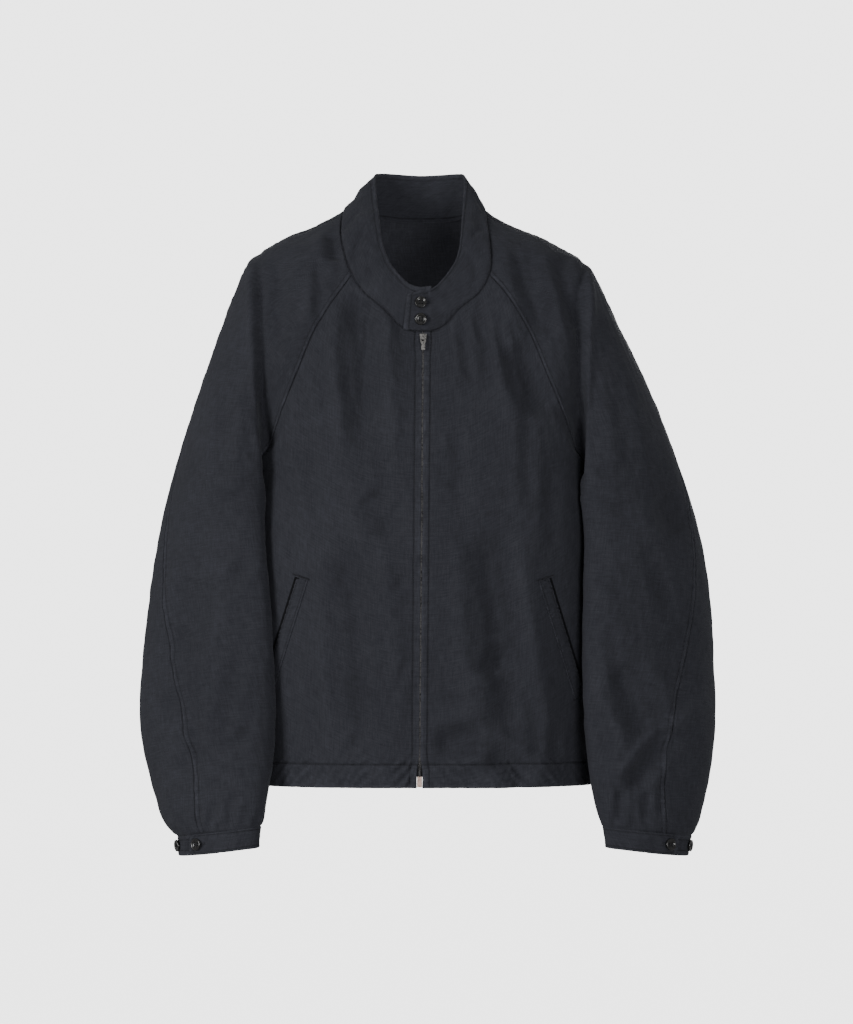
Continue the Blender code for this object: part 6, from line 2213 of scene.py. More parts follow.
@dataclass
class Collar:
    """The stand collar, whose wearer's left end laps over the right end."""

    tailor: Tailor
    lap: float = 0.0195
    underlap: float = 0.010
    lap_run: float = 0.10
    lap_step: float = 0.0031
    left_drop: float = 0.0045
    left_drop_run: float = 0.3
    bulge: float = 0.0035
    rows: int = 3
    row_steps: tuple[int, ...] = (4, 12, 10, 28)
    tuck: float = 0.0045
    tuck_inset: float = 0.12
    tuck_start: int = 3
    tuck_run: int = 4
    tuck_least: float = 0.05
    column_count: int = 250
    end_radius: float = 0.003
    thickness: float = 0.0021
    drape: float = 0.0010
    drape_scale: float = 0.040
    crumple: float = 0.0003
    crumple_scale: float = 0.013
    base_fade: float = 0.010
    base_row: float = 0.0026
    row_ends: int = 12
    under_ends: tuple[Triple, Triple] = ((1.0, 0.02, 0.20), (1.0, 0.02, 0.10))
    lap_ends: tuple[Triple, Triple] = ((-1.08, 0.02, 0.06), (-0.86, 0.02, -0.20))

    def grid(self) -> Array:
        """Gives the collar's plain face, from the under end, round the back, to the lap."""
        corners = [0, BODY.front_corner, BODY.shoulder_along, BODY.back_corner, 1]
        counts = [BODY.front_columns, BODY.sleeve_columns, BODY.sleeve_columns, BODY.back_columns]
        places = np.concatenate([[0.0]] + [np.linspace(a, b, n + 1)[1:]
                                           for a, b, n in zip(corners, corners[1:], counts)])
        base, top = BODY.collar_edge("base_", places), BODY.collar_edge("top_", places)
        mirror = np.array([-1.0, 1.0, 1.0])
        left_top = top.copy()
        left_top[:, 2] -= self.left_drop * ease(1 - places / self.left_drop_run)
        lap = np.linspace(0, self.lap, 4)[1:, None]
        under = np.linspace(self.underlap, 0, 3)[:-1, None]
        under_base, under_top = np.array(self.under_ends)
        lap_base, lap_top = np.array(self.lap_ends)
        bases = np.concatenate([base[0] + under * under_base, base * mirror, base[::-1][1:],
                                base[0] + lap * lap_base])
        tops = np.concatenate([top[0] + under * under_top, top * mirror, left_top[::-1][1:],
                               left_top[0] + lap * lap_top])
        share = np.linspace(0, 1, self.rows + 1)[:, None, None]
        grid = BODY.shift_shoulder(bases[None] * (1 - share) + tops[None] * share)
        bulge = self.bulge * np.sin(np.linspace(0, math.pi, self.rows + 1))
        grid = grid + grid_normals(grid, -1) * bulge[:, None, None]
        left_places = np.concatenate([places[::-1][1:], np.zeros(len(lap))])
        level = np.zeros(grid.shape[1] - len(left_places))
        step = np.concatenate([level, 1 - ease(left_places / self.lap_run)])
        grid = grid + grid_normals(grid, -1) * (self.lap_step * step)[None, :, None]
        ends = np.minimum(np.arange(grid.shape[1]), grid.shape[1] - 1 - np.arange(grid.shape[1]))
        hang = self.tuck * np.maximum(ease((ends - self.tuck_start) / self.tuck_run), self.tuck_least)
        inward = -grid_normals(grid, -1)[0] * self.tuck_inset * hang[:, None]
        below = grid[0] + inward + np.array([0.0, 0.0, -1.0]) * hang[:, None]
        return np.concatenate([below[None], grid])

    def build(self) -> None:
        """Builds the collar and its stitch rows."""
        cloth = Cloth("cloth_collar", self.grid(), -1, list(self.row_steps), self.column_count,
                      {**ALL_FREE, Edge.BOTTOM: Seam.PLAIN}, end_radius=self.end_radius)
        cloth.normals = grid_normals(cloth.plain, -1)
        hidden = cloth.away[Edge.BOTTOM][self.row_steps[0]]
        cloth.away[Edge.BOTTOM] = cloth.away[Edge.BOTTOM] - hidden
        away_base = cloth.away[Edge.BOTTOM]
        centre = cloth.away[Edge.FIRST].shape[1] // 2
        along = cloth.away[Edge.FIRST] - cloth.away[Edge.FIRST][:, centre:centre + 1]
        flat = np.stack([along, away_base], axis=-1)
        for row in range(len(COLLAR_CREASES["u0"])):
            ends = np.array([[COLLAR_CREASES[f"u{k}"][row], COLLAR_CREASES[f"v{k}"][row]] for k in (0, 1)])
            gap, place = line_gap(flat, ends)
            width, depth = COLLAR_CREASES["width"][row], COLLAR_CREASES["depth"][row]
            cloth.relief += depth * COLLAR_CREASE.fade(place) * np.exp(-(gap / width) ** 2)
        soft = self.drape * ripple(cloth.plain, self.drape_scale, Noise.COLLAR_DRAPE)
        cloth.relief += soft + self.crumple * ripple(cloth.plain, self.crumple_scale, Noise.COLLAR_CRUMPLE)
        cloth.relief *= ease(away_base / self.base_fade)
        ClothSet([cloth]).finish_edges(cloth, 40)
        self.tailor.make(cloth, ["collar"], [], self.thickness)
        inner = slice(self.row_ends, -self.row_ends)
        rows = [row_along(cloth, Edge.TOP, cloth.form.stitch, inner),
                row_along(cloth, Edge.LAST, cloth.form.stitch),
                row_along(cloth, Edge.FIRST, cloth.form.stitch),
                row_along(cloth, Edge.BOTTOM, self.base_row, inner)]
        Stitcher().sew("stitches_collar", rows, self.tailor.dress.thread)
        self.cloth = cloth


@dataclass
class Cuff:
    """One cuff: a band whose rounded tab end laps over its under end."""

    tailor: Tailor
    side: Side
    tab_angle: float = 50.0
    lap_angle: float = 40.0
    lap_step: float = 0.0031
    lap_margin: float = 8.0
    lap_run: float = 30.0
    columns: int = 30
    row_steps: tuple[int, ...] = (22, 22)
    column_count: int = 110
    tab_radius: float = 0.0085
    thickness: float = 0.0018
    drape: float = 0.0004
    drape_scale: float = 0.030
    crumple: float = 0.0002
    crumple_scale: float = 0.010
    row_ends: int = 13
    tab_ends: int = 5

    def build(self) -> None:
        """Builds the cuff and its stitch rows."""
        angles = np.linspace(self.tab_angle + self.lap_angle + 360.0, self.tab_angle, self.columns + 1)
        sign = self.side.sign
        grid = np.array([BODY.ring_point(CUFF, height, angles, sign) for height in (0.0, 0.5, 1.0)])
        grid[..., 0] *= sign
        lap_start = self.tab_angle + self.lap_angle + self.lap_margin + self.lap_run
        rise = ease((lap_start - angles) / self.lap_run)
        grid = grid + grid_normals(grid, -sign) * (self.lap_step * rise)[None, :, None]
        cloth = Cloth(self.side.name_of("cloth_cuff"), grid, -sign, list(self.row_steps),
                      self.column_count, dict(ALL_FREE), end_radius=self.tab_radius)
        cloth.normals = grid_normals(cloth.plain, -sign)
        cloth.relief += (self.drape * ripple(cloth.plain, self.drape_scale, Noise.CUFF_DRAPE) +
                         self.crumple * ripple(cloth.plain, self.crumple_scale, Noise.CUFF_CRUMPLE))
        ClothSet([cloth]).finish_edges(cloth, 50 + sign)
        rests_on = [self.side.name_of("sleeve_front")]
        self.tailor.make(cloth, [self.side.name_of("cuff")], rests_on, self.thickness)
        inner = slice(self.row_ends, -self.row_ends)
        rows = [row_along(cloth, edge, cloth.form.stitch, inner) for edge in (Edge.BOTTOM, Edge.TOP)]
        rows.append(row_along(cloth, Edge.LAST, cloth.form.stitch, slice(self.tab_ends, -self.tab_ends)))
        Stitcher().sew(self.side.name_of("stitches_cuff"), rows, self.tailor.dress.thread)
        self.cloth = cloth


# ---- trims ----
POCKETS = {
    Side.RIGHT: ((0.1435, -0.4240), (0.1885, -0.5660)),
    Side.LEFT: ((0.1465, -0.4255), (0.1895, -0.5640)),
}
WELT_SEAM = SeamForm(allowance=0.0018, raise_by=0.0001, stitch=0.0022, stitch_depth=0.00040,
                     stitch_width=0.00060, press=0.0006, press_width=0.0009, pucker=0.00045,
                     pucker_pitch=0.0072)


class Face:
    """A finished piece's outer face, as a surface that trims are laid on."""

    def __init__(self, cloth: Cloth) -> None:
        """Keeps the face as triangles for ray casting.

        Args:
            cloth: the piece, already made.
        """
        _, cells = grid_cells(*cloth.outer.shape[:2])
        self.tree = BVHTree.FromPolygons(cloth.outer.reshape(-1, 3).tolist(), cells.tolist())

    def from_front(self, x: float, height: float) -> tuple[Vector, Vector]:
        """Finds the face, seen from the front.

        Args:
            x: across.
            height: up.

        Returns:
            The point and the normal.
        """
        spot, normal, _, _ = self.tree.ray_cast(Vector((x, -1.0, height)), Vector((0.0, 1.0, 0.0)))
        return spot, (-normal if normal.y > 0 else normal)

    def nearest(self, point: Vector) -> tuple[Vector, Vector]:
        """Finds the face nearest to a point.

        Args:
            point: where to look.

        Returns:
            The point and the normal.
        """
        spot, normal, _, _ = self.tree.find_nearest(point)
        return spot, (-normal if normal.y > 0 else normal)


@dataclass
class Welt:
    """A slanted pocket's welt: a stitched strip with a bar tack at each end."""

    tailor: Tailor
    side: Side
    face: Face
    width: float = 0.0130
    stand: float = 0.0003
    thickness: float = 0.0009
    mouth: float = 0.0026
    mouth_tuck: float = 0.0085
    mouth_lift: float = 0.0007
    mouth_thickness: float = 0.0005
    tack_past: Span = (0.0065, 0.0150)
    coarse_rows: int = 26
    coarse_columns: int = 6
    row_step: int = 5
    column_count: int = 8
    row_ends: int = 8
    near_edge: tuple[float, ...] = (0, 0.0004, 0.0009, 0.0014, 0.0019, 0.0024, 0.0029, 0.0036, 0.0045)
    mouth_inset: float = 0.015
    mouth_columns: int = 6
    tack_width: float = 0.0018
    tack_step: float = 0.00055
    tack_climb: float = 0.002
    tack_lift: float = 0.0001

    def flat_point(self, share: float, across: float) -> Span:
        """Gives a place on the welt, seen from the front.

        Args:
            share: from its upper end (0) to its lower end (1).
            across: from the opening edge, in metres.

        Returns:
            The distance from the centre, and the height.
        """
        (top_x, top_z), (foot_x, foot_z) = POCKETS[self.side]
        slope_x, slope_z = foot_x - top_x, foot_z - top_z
        length = math.hypot(slope_x, slope_z)
        return (top_x + slope_x * share + across * slope_z / length,
                top_z + slope_z * share - across * slope_x / length)

    def strip(self, across: Array, shares: Array, lift: float) -> Array:
        """Lays a strip on the front.

        Args:
            across: its columns, from the opening edge towards the centre.
            shares: its rows, from the upper end (0) to the lower end (1).
            lift: how far its face stands off the front.

        Returns:
            The strip's grid of points.
        """
        rows = []
        for share in shares:
            places = [self.flat_point(share, step) for step in across]
            rows.append([self.face.from_front(self.side.sign * x, height)[0] for x, height in places])
        grid = np.array(rows)
        return grid + grid_normals(grid, self.side.sign) * lift

    def build_mouth(self) -> None:
        """Builds the edge of the pocket's lining in its mouth, tucked under the welt and coloured near-black:
        painted shade for the shadow in the opening.
        """
        across = np.linspace(-self.mouth, self.mouth_tuck, self.mouth_columns)
        shares = np.linspace(self.mouth_inset, 1 - self.mouth_inset, self.coarse_rows)
        grid = self.strip(across, shares, self.mouth_lift)
        cloth = Cloth(self.side.name_of("cloth_mouth"), grid, self.side.sign, [2] * (self.coarse_rows - 1), 3,
                      dict(ALL_FREE), form=FLAT_EDGE, near_edge=(0, 0.0003, 0.0006))
        cloth.normals = grid_normals(cloth.plain, self.side.sign)
        self.tailor.make(cloth, [], [self.side.name_of("cloth_front")], self.mouth_thickness,
                         finish=self.tailor.dress.mouth_shade)

    def build(self) -> None:
        """Builds the welt, its stitch rows, its bar tacks and the mouth beside it."""
        sign = self.side.sign
        across = np.linspace(0, self.width, self.coarse_columns)
        grid = self.strip(across, np.linspace(0, 1, self.coarse_rows), self.thickness + self.stand)
        cloth = Cloth(self.side.name_of("cloth_welt"), grid, sign, [self.row_step] * (self.coarse_rows - 1),
                      self.column_count, dict(ALL_FREE), form=WELT_SEAM, near_edge=self.near_edge)
        cloth.normals = grid_normals(cloth.plain, sign)
        ClothSet([cloth]).finish_edges(cloth, 70)
        rests_on = [self.side.name_of("cloth_front")]
        self.tailor.make(cloth, [self.side.name_of("welt")], rests_on, self.thickness)
        inner = slice(self.row_ends, -self.row_ends)
        edges = [row_along(cloth, edge, WELT_SEAM.stitch, inner) for edge in (Edge.FIRST, Edge.LAST)]
        thread = self.tailor.dress.thread
        Stitcher().sew(self.side.name_of("stitches_welt"), edges, thread)
        tacks = [self.tack(share) for share in (0.0, 1.0)]
        BAR_TACK.sew(self.side.name_of("tacks_welt"), tacks, thread)
        self.build_mouth()

    def tack(self, share: float) -> StitchRow:
        """Runs a zigzag of thread across one end of the pocket.

        Args:
            share: the end, 0 for the upper and 1 for the lower.

        Returns:
            The zigzag as a stitch row.
        """
        before, past = self.tack_past
        length = math.dist(*POCKETS[self.side])
        points, normals = [], []
        for number, across in enumerate(np.arange(-before, past, self.tack_step)):
            x, height = self.flat_point(share + (number % 2 - 0.5) * self.tack_width / length, across)
            spot, normal = self.face.from_front(self.side.sign * x, height)
            climb = float(ease((across + self.tack_climb / 2) / self.tack_climb))
            lift = (self.thickness + self.stand) * climb + self.tack_lift
            points.append(list(spot + normal * lift))
            normals.append(list(normal))
        return StitchRow(np.array(points), unit(np.array(normals)))


@dataclass
class Zip:
    """The front zip: two tapes and their teeth."""

    dress: Dress
    fronts: dict[Side, Cloth]
    faces: dict[Side, Face]
    tape_width: float = 0.0115
    tape_lean: float = 0.0011
    tape_thickness: float = 0.0008
    drop: float = 0.002
    box_top: float = 0.0137
    depth: float = 0.0010
    behind: float = 0.0016
    tooth_pitch: float = 0.0024
    tooth_size: Triple = (0.0024, 0.0013, 0.0012)
    tooth_offset: float = 0.0006
    head_sides: int = 8
    head_radius: float = 0.00058
    head_height: float = 0.0011
    head_reach: float = 0.0009
    rows: int = 130
    tape_places: Triple = (0.0014, 0.0026, 0.0045)
    tape_rise: float = 0.0002
    tape_dip: float = 0.0003
    hem_past: float = 0.008
    hem_run: float = 0.006
    hem_depth: float = 0.9
    crumple: float = 0.00012
    crumple_scale: float = 0.006
    row_step: int = 2
    column_count: int = 8
    near_edge: tuple[float, ...] = (0, 0.0006, 0.0012, 0.0020)

    def tooth_tree(self) -> bpy.types.NodeTree:
        """Builds the geometry tree that sets teeth on their path, every second one on the other tape."""
        inputs = [("Geometry", "Geometry"), ("Pitch", "Float"), ("Size", "Vector"), ("Offset", "Float"),
                  ("Material", "Material")]
        build, given = new_group("zip_teeth", "GeometryNodeTree", inputs, [("Geometry", "Geometry")])
        curve = build.first("GeometryNodeMeshToCurve", {"Mesh": given["Geometry"]})
        half = build.math("MULTIPLY", given["Pitch"], 0.5)
        spaced = build.first("GeometryNodeResampleCurve", {"Curve": curve, "Length": half}, mode="LENGTH")
        points = build.first("GeometryNodeCurveToPoints", {"Curve": spaced}, mode="EVALUATED")
        body = build.first("GeometryNodeMeshCube", {"Size": given["Size"]})
        head = build.first("GeometryNodeMeshCylinder", {
            "Vertices": self.head_sides, "Radius": self.head_radius, "Depth": self.head_height},
            fill_type="NGON")
        turned = build.first("GeometryNodeTransform", {
            "Geometry": head, "Rotation": (math.pi / 2, 0.0, 0.0),
            "Translation": (self.head_reach, 0.0, 0.0)})
        join = build.add("GeometryNodeJoinGeometry")
        for part in (body, turned):
            build.tree.links.new(part, join.inputs[0])
        odd = build.math("MODULO", build.first("GeometryNodeInputIndex"), 2.0)
        hand = build.math("MULTIPLY_ADD", odd, 2.0, -1.0)
        turn = build.first("ShaderNodeCombineXYZ", {2: build.math("MULTIPLY", odd, math.pi)})
        across = build.first("ShaderNodeCombineXYZ", {0: build.math("MULTIPLY", hand, given["Offset"])})
        moved = build.first("GeometryNodeSetPosition", {"Geometry": points, "Offset": across})
        teeth = build.first("GeometryNodeInstanceOnPoints", {
            "Points": moved, "Instance": join.outputs[0], "Rotation": turn})
        real = build.first("GeometryNodeRealizeInstances", {"Geometry": teeth})
        done = build.first("GeometryNodeSetMaterial", {"Geometry": real, "Material": given["Material"]})
        build.add("NodeGroupOutput", {0: done})
        return build.tree

    def edge_y(self, height: float) -> float:
        """Gives how far forward the front edges lie at a height."""
        levels = []
        for cloth in self.fronts.values():
            line = cloth.outer[:, 2]
            levels.append(float(np.interp(height, line[:, 2], line[:, 1])))
        return sum(levels) / len(levels)

    def build(self) -> None:
        """Builds the tapes and the teeth."""
        low = BODY.hem_height + self.box_top
        high = COLLAR["base_z"][0] - self.drop
        heights = np.linspace(low, high, self.rows)
        spots = []
        for height in heights:
            spots.append((float(BODY.zip_centre(height)), self.edge_y(height) + self.depth, height))
        spots = np.array(spots)
        for side in Side:
            self.build_tape(side, heights)
        outward = np.tile(np.array([0.0, -1.0, 0.0]), (len(spots), 1))
        path = path_object("teeth_path", [StitchRow(spots, outward)], 0.0)
        values = {"Pitch": self.tooth_pitch, "Size": self.tooth_size, "Offset": self.tooth_offset,
                  "Material": self.dress.teeth}
        mesh = baked(path, self.tooth_tree(), values, "zip_teeth")
        new_piece("zip_teeth", mesh, self.dress.teeth, "jacket")

    def build_tape(self, side: Side, heights: Array) -> None:
        """Builds one tape behind its front edge.

        Args:
            side: the wearer's side.
            heights: of its rows.
        """
        sign = side.sign
        rows = []
        for height in heights:
            centre = float(BODY.zip_centre(height))
            edge = self.edge_y(height)
            hem = float(ease((BODY.hem_height + BODY.turn_up + self.hem_past - height) / self.hem_run))
            behind = self.behind * (1 + self.hem_depth * hem)
            outer_x = centre + sign * self.tape_width
            outer_y = max(self.faces[side].from_front(outer_x, height)[0].y, edge) + self.tape_lean
            spread = float(BODY.front_gap(height) - BODY.zip_gap) / 2
            inner, middle, outer = self.tape_places
            rows.append([(centre + sign * inner, edge + self.depth + self.tape_rise, height),
                         (centre + sign * (middle + spread), edge + behind, height),
                         (centre + sign * (outer + spread), edge + behind + self.tape_dip, height),
                         (outer_x, outer_y + behind, height)])
        cloth = Cloth(side.name_of("cloth_zip_tape"), np.array(rows), sign,
                      [self.row_step] * (len(heights) - 1), self.column_count, dict(ALL_FREE),
                      form=FLAT_EDGE, near_edge=self.near_edge)
        cloth.normals = grid_normals(cloth.plain, sign)
        cloth.relief += self.crumple * ripple(cloth.plain, self.crumple_scale, Noise.TAPE)
        cloth.outer = cloth.plain - cloth.normals * cloth.relief[..., None]
        inner = cloth.outer - cloth.normals * self.tape_thickness
        flat = Tailor.flat_places(cloth, 0.0)
        floats = {"seam_wear": cloth.wear_and_shade, "fold_relief": cloth.relief}
        mesh = shell_mesh(cloth.name, cloth.outer, inner, sign, flat, floats, {edge: 0.0 for edge in Edge})
        piece = new_piece(cloth.name, mesh, self.dress.tape, "jacket")
        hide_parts(side.name_of("zip"))


@dataclass
class Button:
    """A four-hole button, turned with a raised rim, and its thread."""

    name: str
    spot: Vector
    normal: Vector
    dress: Dress
    radius: float = 0.0070
    thick: float = 0.0030
    hole: float = 0.00085
    hole_offset: float = 0.00165
    gap: float = 0.0004
    sides: int = 56
    thread: float = 0.00042
    weld: float = 0.000005
    crisp_angle: float = 38.0
    drill_sides: int = 16
    face: tuple[Span, ...] = ((0.0, 0.56), (0.30, 0.56), (0.50, 0.58), (0.60, 0.66), (0.68, 0.84),
                              (0.75, 0.96))
    rim: tuple[Span, Span] = ((0.86, 0.14), (0.60, 0.40))
    rim_turn: tuple[float, float, int] = (80, -60, 8)
    back: tuple[Span, ...] = ((0.80, 0.02), (0.60, 0.0), (0.0, 0.0))
    strand_places: Span = (-0.36, 0.36)
    strand_steps: int = 13
    strand_sides: int = 8
    strand_radius: float = 0.62
    strand_rise: float = 0.9
    strand_bend: float = 0.6
    strand_dip: float = 0.0008

    def placement(self) -> Matrix:
        """Gives the button's placement, whose Y axis points out of the cloth."""
        outward = self.normal.normalized()
        across = outward.cross(Vector((0.0, 0.0, 1.0))).normalized()
        placed = Matrix((across, outward, across.cross(outward).normalized())).transposed().to_4x4()
        placed.translation = self.spot + outward * self.gap
        return placed

    def profile(self) -> list[Span]:
        """Gives the turned outline, from the middle of the dished face round the rim to the back."""
        r, t = self.radius, self.thick
        (rim_x, rim_run), (rim_y, rim_rise) = self.rim
        rim = []
        for turn in np.radians(np.linspace(*self.rim_turn)):
            rim.append((r * rim_x + r * rim_run * math.cos(turn), t * rim_y + t * rim_rise * math.sin(turn)))
        face, back = ([(r * x, t * y) for x, y in part] for part in (self.face, self.back))
        return face + rim + back

    def build(self) -> None:
        """Builds the button and the thread through its holes."""
        work = bmesh.new()
        edges = []
        points = [work.verts.new((distance, height, 0.0)) for distance, height in self.profile()]
        for near, far in zip(points, points[1:]):
            edges.append(work.edges.new((near, far)))
        bmesh.ops.spin(work, geom=points + edges, axis=(0, 1, 0), cent=(0, 0, 0), dvec=(0, 0, 0),
                       angle=2 * math.pi, steps=self.sides, use_duplicate=False)
        bmesh.ops.remove_doubles(work, verts=work.verts, dist=self.weld)
        bmesh.ops.recalc_face_normals(work, faces=work.faces)
        turned = link(self.name + "_turned", finished_mesh(work, self.name + "_turned"))
        drills = self.drills()
        cut = turned.modifiers.new("holes", "BOOLEAN")
        cut.object, cut.operation, cut.solver = drills, "DIFFERENCE", "EXACT"
        drilled = evaluated(turned, self.name + "_horn")
        bpy.data.objects.remove(drills, do_unlink=True)
        drilled.transform(self.placement())
        drilled.shade_smooth()
        drilled.set_sharp_from_angle(angle=math.radians(self.crisp_angle))
        piece = new_piece(self.name + "_horn", drilled, self.dress.horn, "jacket")
        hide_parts(self.name)
        new_piece(self.name + "_thread", self.thread_mesh(), self.dress.thread, "jacket")

    def holes(self) -> list[Vector]:
        """Gives the middles of the four holes in the button's own frame."""
        return [Vector((x * self.hole_offset, 0.0, z * self.hole_offset)) for x in (-1, 1) for z in (-1, 1)]

    def drills(self) -> bpy.types.Object:
        """Builds the four rods that cut the holes."""
        work = bmesh.new()
        for middle in self.holes():
            rod = bmesh.ops.create_cone(work, cap_ends=True, segments=self.drill_sides, radius1=self.hole,
                                        radius2=self.hole, depth=6 * self.thick)["verts"]
            bmesh.ops.rotate(work, cent=(0, 0, 0), matrix=Matrix.Rotation(math.pi / 2, 3, "X"), verts=rod)
            bmesh.ops.translate(work, vec=middle, verts=rod)
        return link(self.name + "_drills", finished_mesh(work, self.name + "_drills"))

    def thread_mesh(self) -> bpy.types.Mesh:
        """Builds the strands that run over the face between the holes, two side by side in each pair."""
        work = bmesh.new()
        for x in (-1, 1):
            for place in self.strand_places:
                self.add_strand(work, x * self.hole_offset + place * self.hole)
        bmesh.ops.recalc_face_normals(work, faces=work.faces)
        bmesh.ops.transform(work, matrix=self.placement(), verts=work.verts)
        mesh = finished_mesh(work, self.name + "_thread")
        mesh.shade_smooth()
        return mesh

    def add_strand(self, work: bmesh.types.BMesh, x: float) -> None:
        """Adds one strand that comes up through a hole, runs over the face and goes down the next hole.

        Args:
            work: the mesh that it is added to.
            x: its place across the button.
        """
        top = self.thick * self.face[0][1]
        line = []
        for turn in np.linspace(0, math.pi, self.strand_steps):
            rise = top + self.thread * self.strand_rise * math.sin(turn) ** self.strand_bend
            if turn in (0.0, math.pi):
                rise = top - self.strand_dip
            line.append(Vector((x, rise, math.cos(turn) * self.hole_offset)))
        across = Vector((1.0, 0.0, 0.0))
        rings = []
        for number, middle in enumerate(line):
            ahead = line[min(number + 1, len(line) - 1)] - line[max(number - 1, 0)]
            up = ahead.cross(across).normalized()
            ring = []
            for angle in np.linspace(0, 2 * math.pi, self.strand_sides + 1)[:-1]:
                spoke = across * math.cos(angle) + up * math.sin(angle)
                ring.append(work.verts.new(middle + spoke * self.thread * self.strand_radius))
            rings.append(ring)
        for near, far in zip(rings, rings[1:]):
            for k in range(self.strand_sides):
                after = (k + 1) % self.strand_sides
                work.faces.new((near[k], near[after], far[after], far[k]))
        work.faces.new(rings[0][::-1])
        work.faces.new(rings[-1])


@dataclass
class Buttonhole:
    """A worked buttonhole: purl stitches round a slit."""

    name: str
    face: Face
    spot: Vector
    across: Vector
    dress: Dress
    length: float = 0.0150
    width: float = 0.0022
    turn_step: float = 0.02
    purl_step: float = 0.00034
    purl_reach: Span = (1.28, 0.72)

    def build(self) -> None:
        """Builds the ring of purl stitches."""
        along = self.across.normalized()
        _, outward = self.face.nearest(self.spot)
        side = outward.cross(along).normalized()
        half = self.length / 2 - self.width / 2
        outline = []
        for step in np.arange(0, 2 * math.pi, self.turn_step):
            x = math.copysign(half, math.cos(step)) + self.width / 2 * math.cos(step)
            outline.append((x, self.width / 2 * math.sin(step)))
        run = chord(np.array(outline))
        places = np.arange(0, run[-1], self.purl_step)
        points, normals = [], []
        for number, place in enumerate(places):
            x = np.interp(place, run, [p[0] for p in outline])
            y = np.interp(place, run, [p[1] for p in outline])
            reach = self.purl_reach[number % 2]
            spot, normal = self.face.nearest(self.spot + along * float(x) + side * float(y * reach))
            points.append(list(spot))
            normals.append(list(normal))
        row = StitchRow(np.array(points), unit(np.array(normals)))
        PURL.sew(self.name, [row], self.dress.thread)


@dataclass
class Buttons:
    """The two buttons on the collar's lap and the two on each cuff, with their buttonholes."""

    dress: Dress
    collar: Collar
    cuffs: dict[Side, Cuff]
    collar_x: float = -0.0012
    collar_heights: Span = (-0.1068, -0.1262)
    cuff_angles: Span = (64.0, 14.0)
    angle_step: float = 4.0
    hole_shift: float = 0.0035
    cuff_hole: float = 0.0155

    def build(self) -> None:
        """Builds all six buttons and the buttonholes under four of them."""
        face = Face(self.collar.cloth)
        across = Vector((1.0, 0.0, 0.0))
        for number, height in enumerate(self.collar_heights, 1):
            spot, normal = face.from_front(self.collar_x, height)
            Button(f"button_collar_{number}", spot, normal, self.dress).build()
            hole = spot + across * self.hole_shift
            Buttonhole(f"buttonhole_collar_{number}", face, hole, across, self.dress).build()
        for side, cuff in self.cuffs.items():
            face = Face(cuff.cloth)
            for number, angle in enumerate(self.cuff_angles, 1):
                angles = np.array([angle - self.angle_step, angle, angle + self.angle_step])
                ring = BODY.ring_point(CUFF, 0.5, angles, side.sign)
                ring[:, 0] *= side.sign
                along = Vector(ring[2] - ring[0]).normalized()
                outward = along.cross(Vector((0.0, 0.0, 1.0))).normalized()
                outward = -outward if outward.y > 0 else outward
                spot, normal = self.first_hit(face, Vector(ring[1]), outward)
                name = f"{side.name_of('button_cuff')}_{number}"
                Button(name, spot, normal, self.dress).build()
                if number == 1:
                    hole = spot + along * self.hole_shift
                    name = side.name_of("buttonhole_cuff")
                    Buttonhole(name, face, hole, along, self.dress, self.cuff_hole).build()

    @staticmethod
    def first_hit(face: Face, spot: Vector, outward: Vector) -> tuple[Vector, Vector]:
        """Finds the outermost layer of a cuff at a place.

        Args:
            face: the cuff's face.
            spot: a point near it.
            outward: the way out of the cuff.

        Returns:
            The point and the normal.
        """
        found, normal, _, _ = face.tree.ray_cast(spot + outward * 0.02, -outward)
        if found is None:
            return spot, outward
        return found, (-normal if normal.dot(outward) < 0 else normal)


@dataclass
class Hardware:
    """The zip's metal parts, whose solids are already the right shape: they get their finishes."""

    dress: Dress

    def build(self) -> None:
        """Gives each solid its metal."""
        silver, copper = self.dress.silver, self.dress.copper
        for name, finish in (("zip_slider", silver), ("pull_tab", silver), ("zip_retainer", copper)):
            solid = bpy.data.objects[name]
            solid.data.materials.clear()
            solid.data.materials.append(finish)


JACKET_MIDDLE = (0.0053, 0.0, -0.3505)


@dataclass(frozen=True)
class Light:
    """One soft square light."""

    name: str
    place: Triple
    size: float
    power: float
    target: Triple = JACKET_MIDDLE

    def build(self) -> None:
        """Hangs the light and turns it to its target."""
        lamp = bpy.data.lights.new(self.name, "AREA")
        lamp.energy = self.power
        lamp.size = self.size
        made = link(self.name, lamp)
        made.location = self.place
        made.rotation_euler = (Vector(self.target) - Vector(self.place)).to_track_quat("-Z", "Y").to_euler()
        made.visible_camera = False


LIGHTS = (
    Light("key", (-2.9, -2.4, 0.2), 1.4, 135.0),
    Light("front", (1.6, -4.3, -0.5), 1.7, 126.0),
    Light("top", (0.0, -0.8, 3.0), 2.4, 8.0),
    Light("inside", (0.0, -0.01, -0.33), 0.16, 0.45, (0.0, 0.09, -0.04)),
    Light("back", (0.3, 4.4, 0.5), 2.0, 260.0),
)


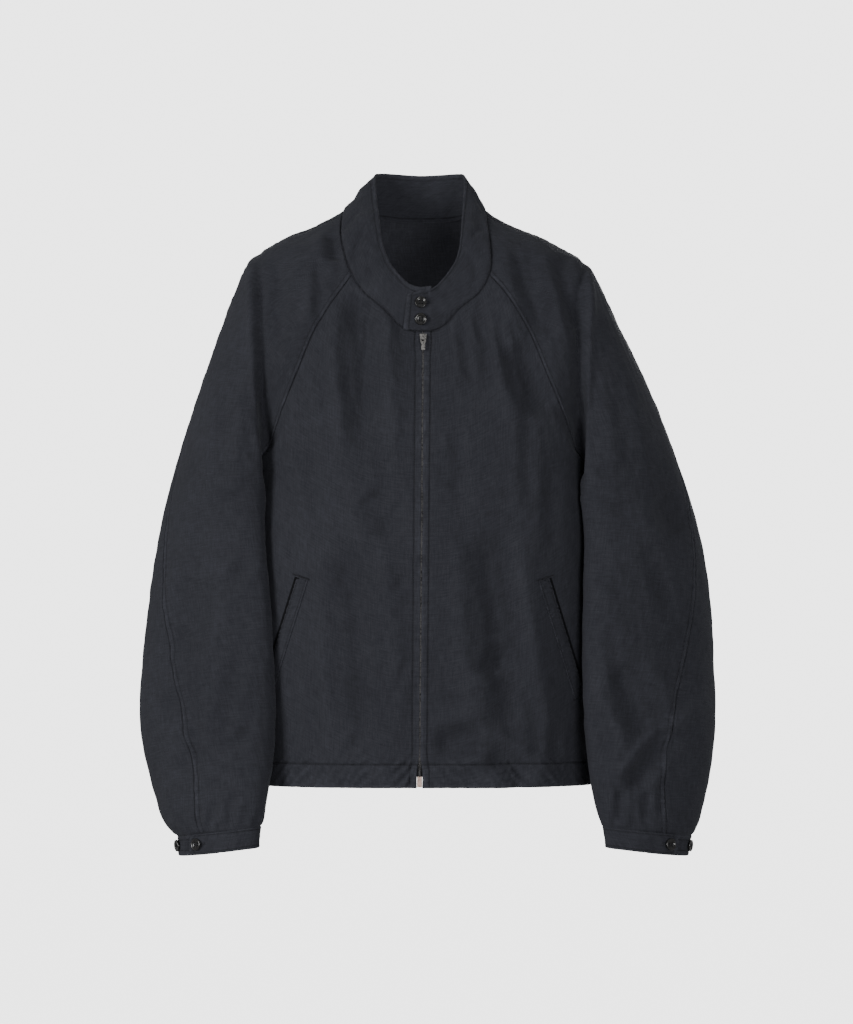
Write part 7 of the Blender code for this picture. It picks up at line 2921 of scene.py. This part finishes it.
@dataclass
class Studio:
    """A round pale room, soft lights and the camera."""

    floor: float = -1.45
    radius: float = 9.0
    bend: float = 1.2
    height: float = 7.0
    sides: int = 48
    distance: float = 6.0
    bend_steps: int = 9
    aim: Triple = JACKET_MIDDLE
    lens: float = 178.8
    sensor: float = 36.0
    clip: Span = (0.1, 40.0)
    world: float = 0.42

    def build(self) -> None:
        """Builds the whole studio."""
        self.build_room()
        for light in LIGHTS:
            light.build()
        world = bpy.data.worlds.new("studio")
        world.use_nodes = True
        sky = world.node_tree.nodes["Background"].inputs
        sky[0].default_value = (1.0, 1.0, 1.0, 1.0)
        sky[1].default_value = self.world
        bpy.context.scene.world = world
        camera = bpy.data.cameras.new("camera")
        camera.lens, camera.sensor_width, camera.sensor_fit = self.lens, self.sensor, "AUTO"
        camera.clip_start, camera.clip_end = self.clip
        made = link("camera", camera)
        made.location = (self.aim[0], self.aim[1] - self.distance, self.aim[2])
        made.rotation_euler = (math.pi / 2, 0.0, 0.0)
        bpy.context.scene.camera = made

    def build_room(self) -> None:
        """Builds the floor and the wall as one bent sheet all round."""
        inner = self.radius - self.bend
        profile = [(inner, self.floor)]
        for turn in np.linspace(0, math.pi / 2, self.bend_steps + 1)[1:]:
            out, up = self.bend * math.sin(turn), self.bend * (1 - math.cos(turn))
            profile.append((inner + out, self.floor + up))
        profile.append((self.radius, self.height))
        points = [(0.0, 0.0, self.floor)]
        for angle in np.linspace(0, 2 * math.pi, self.sides, endpoint=False):
            points += [(reach * math.cos(angle), reach * math.sin(angle), z) for reach, z in profile]
        count = len(profile)
        faces = []
        for near in range(self.sides):
            start, after = 1 + near * count, 1 + (near + 1) % self.sides * count
            faces.append((0, start, after))
            faces += [(start + k, start + k + 1, after + k + 1, after + k) for k in range(count - 1)]
        mesh = bpy.data.meshes.new("room")
        mesh.from_pydata(points, [], faces)
        mesh.shade_smooth()
        mesh.materials.append(StageFinish().make())
        room = link("room", mesh)
        room.visible_diffuse = False
        room.visible_glossy = False
        room.visible_shadow = False


def main() -> None:
    """Builds the whole jacket and its studio, piece by piece."""
    logging.basicConfig(level=logging.INFO, format="%(message)s")
    Studio().build()
    dress = Dress(TWILL.make(), THREAD.make(), TAPE.make(), SILVER.make(), TOOTH_METAL.make(), COPPER.make(),
                  HORN.make(), POCKET_MOUTH_SHADE.make())
    tailor = Tailor(dress)
    shell = Shell(tailor)
    shell.build()
    LOG.info("fronts, back and sleeves done")
    collar = Collar(tailor)
    collar.build()
    cuffs = {side: Cuff(tailor, side) for side in Side}
    for cuff in cuffs.values():
        cuff.build()
    LOG.info("collar and cuffs done")
    faces = {side: Face(cloth) for side, cloth in shell.fronts.items()}
    for side in Side:
        Welt(tailor, side, faces[side]).build()
    Zip(dress, shell.fronts, faces).build()
    Hardware(dress).build()
    LOG.info("welts and zip done")
    Buttons(dress, collar, cuffs).build()
    LOG.info("buttons done")


if __name__ == "__main__":
    main()
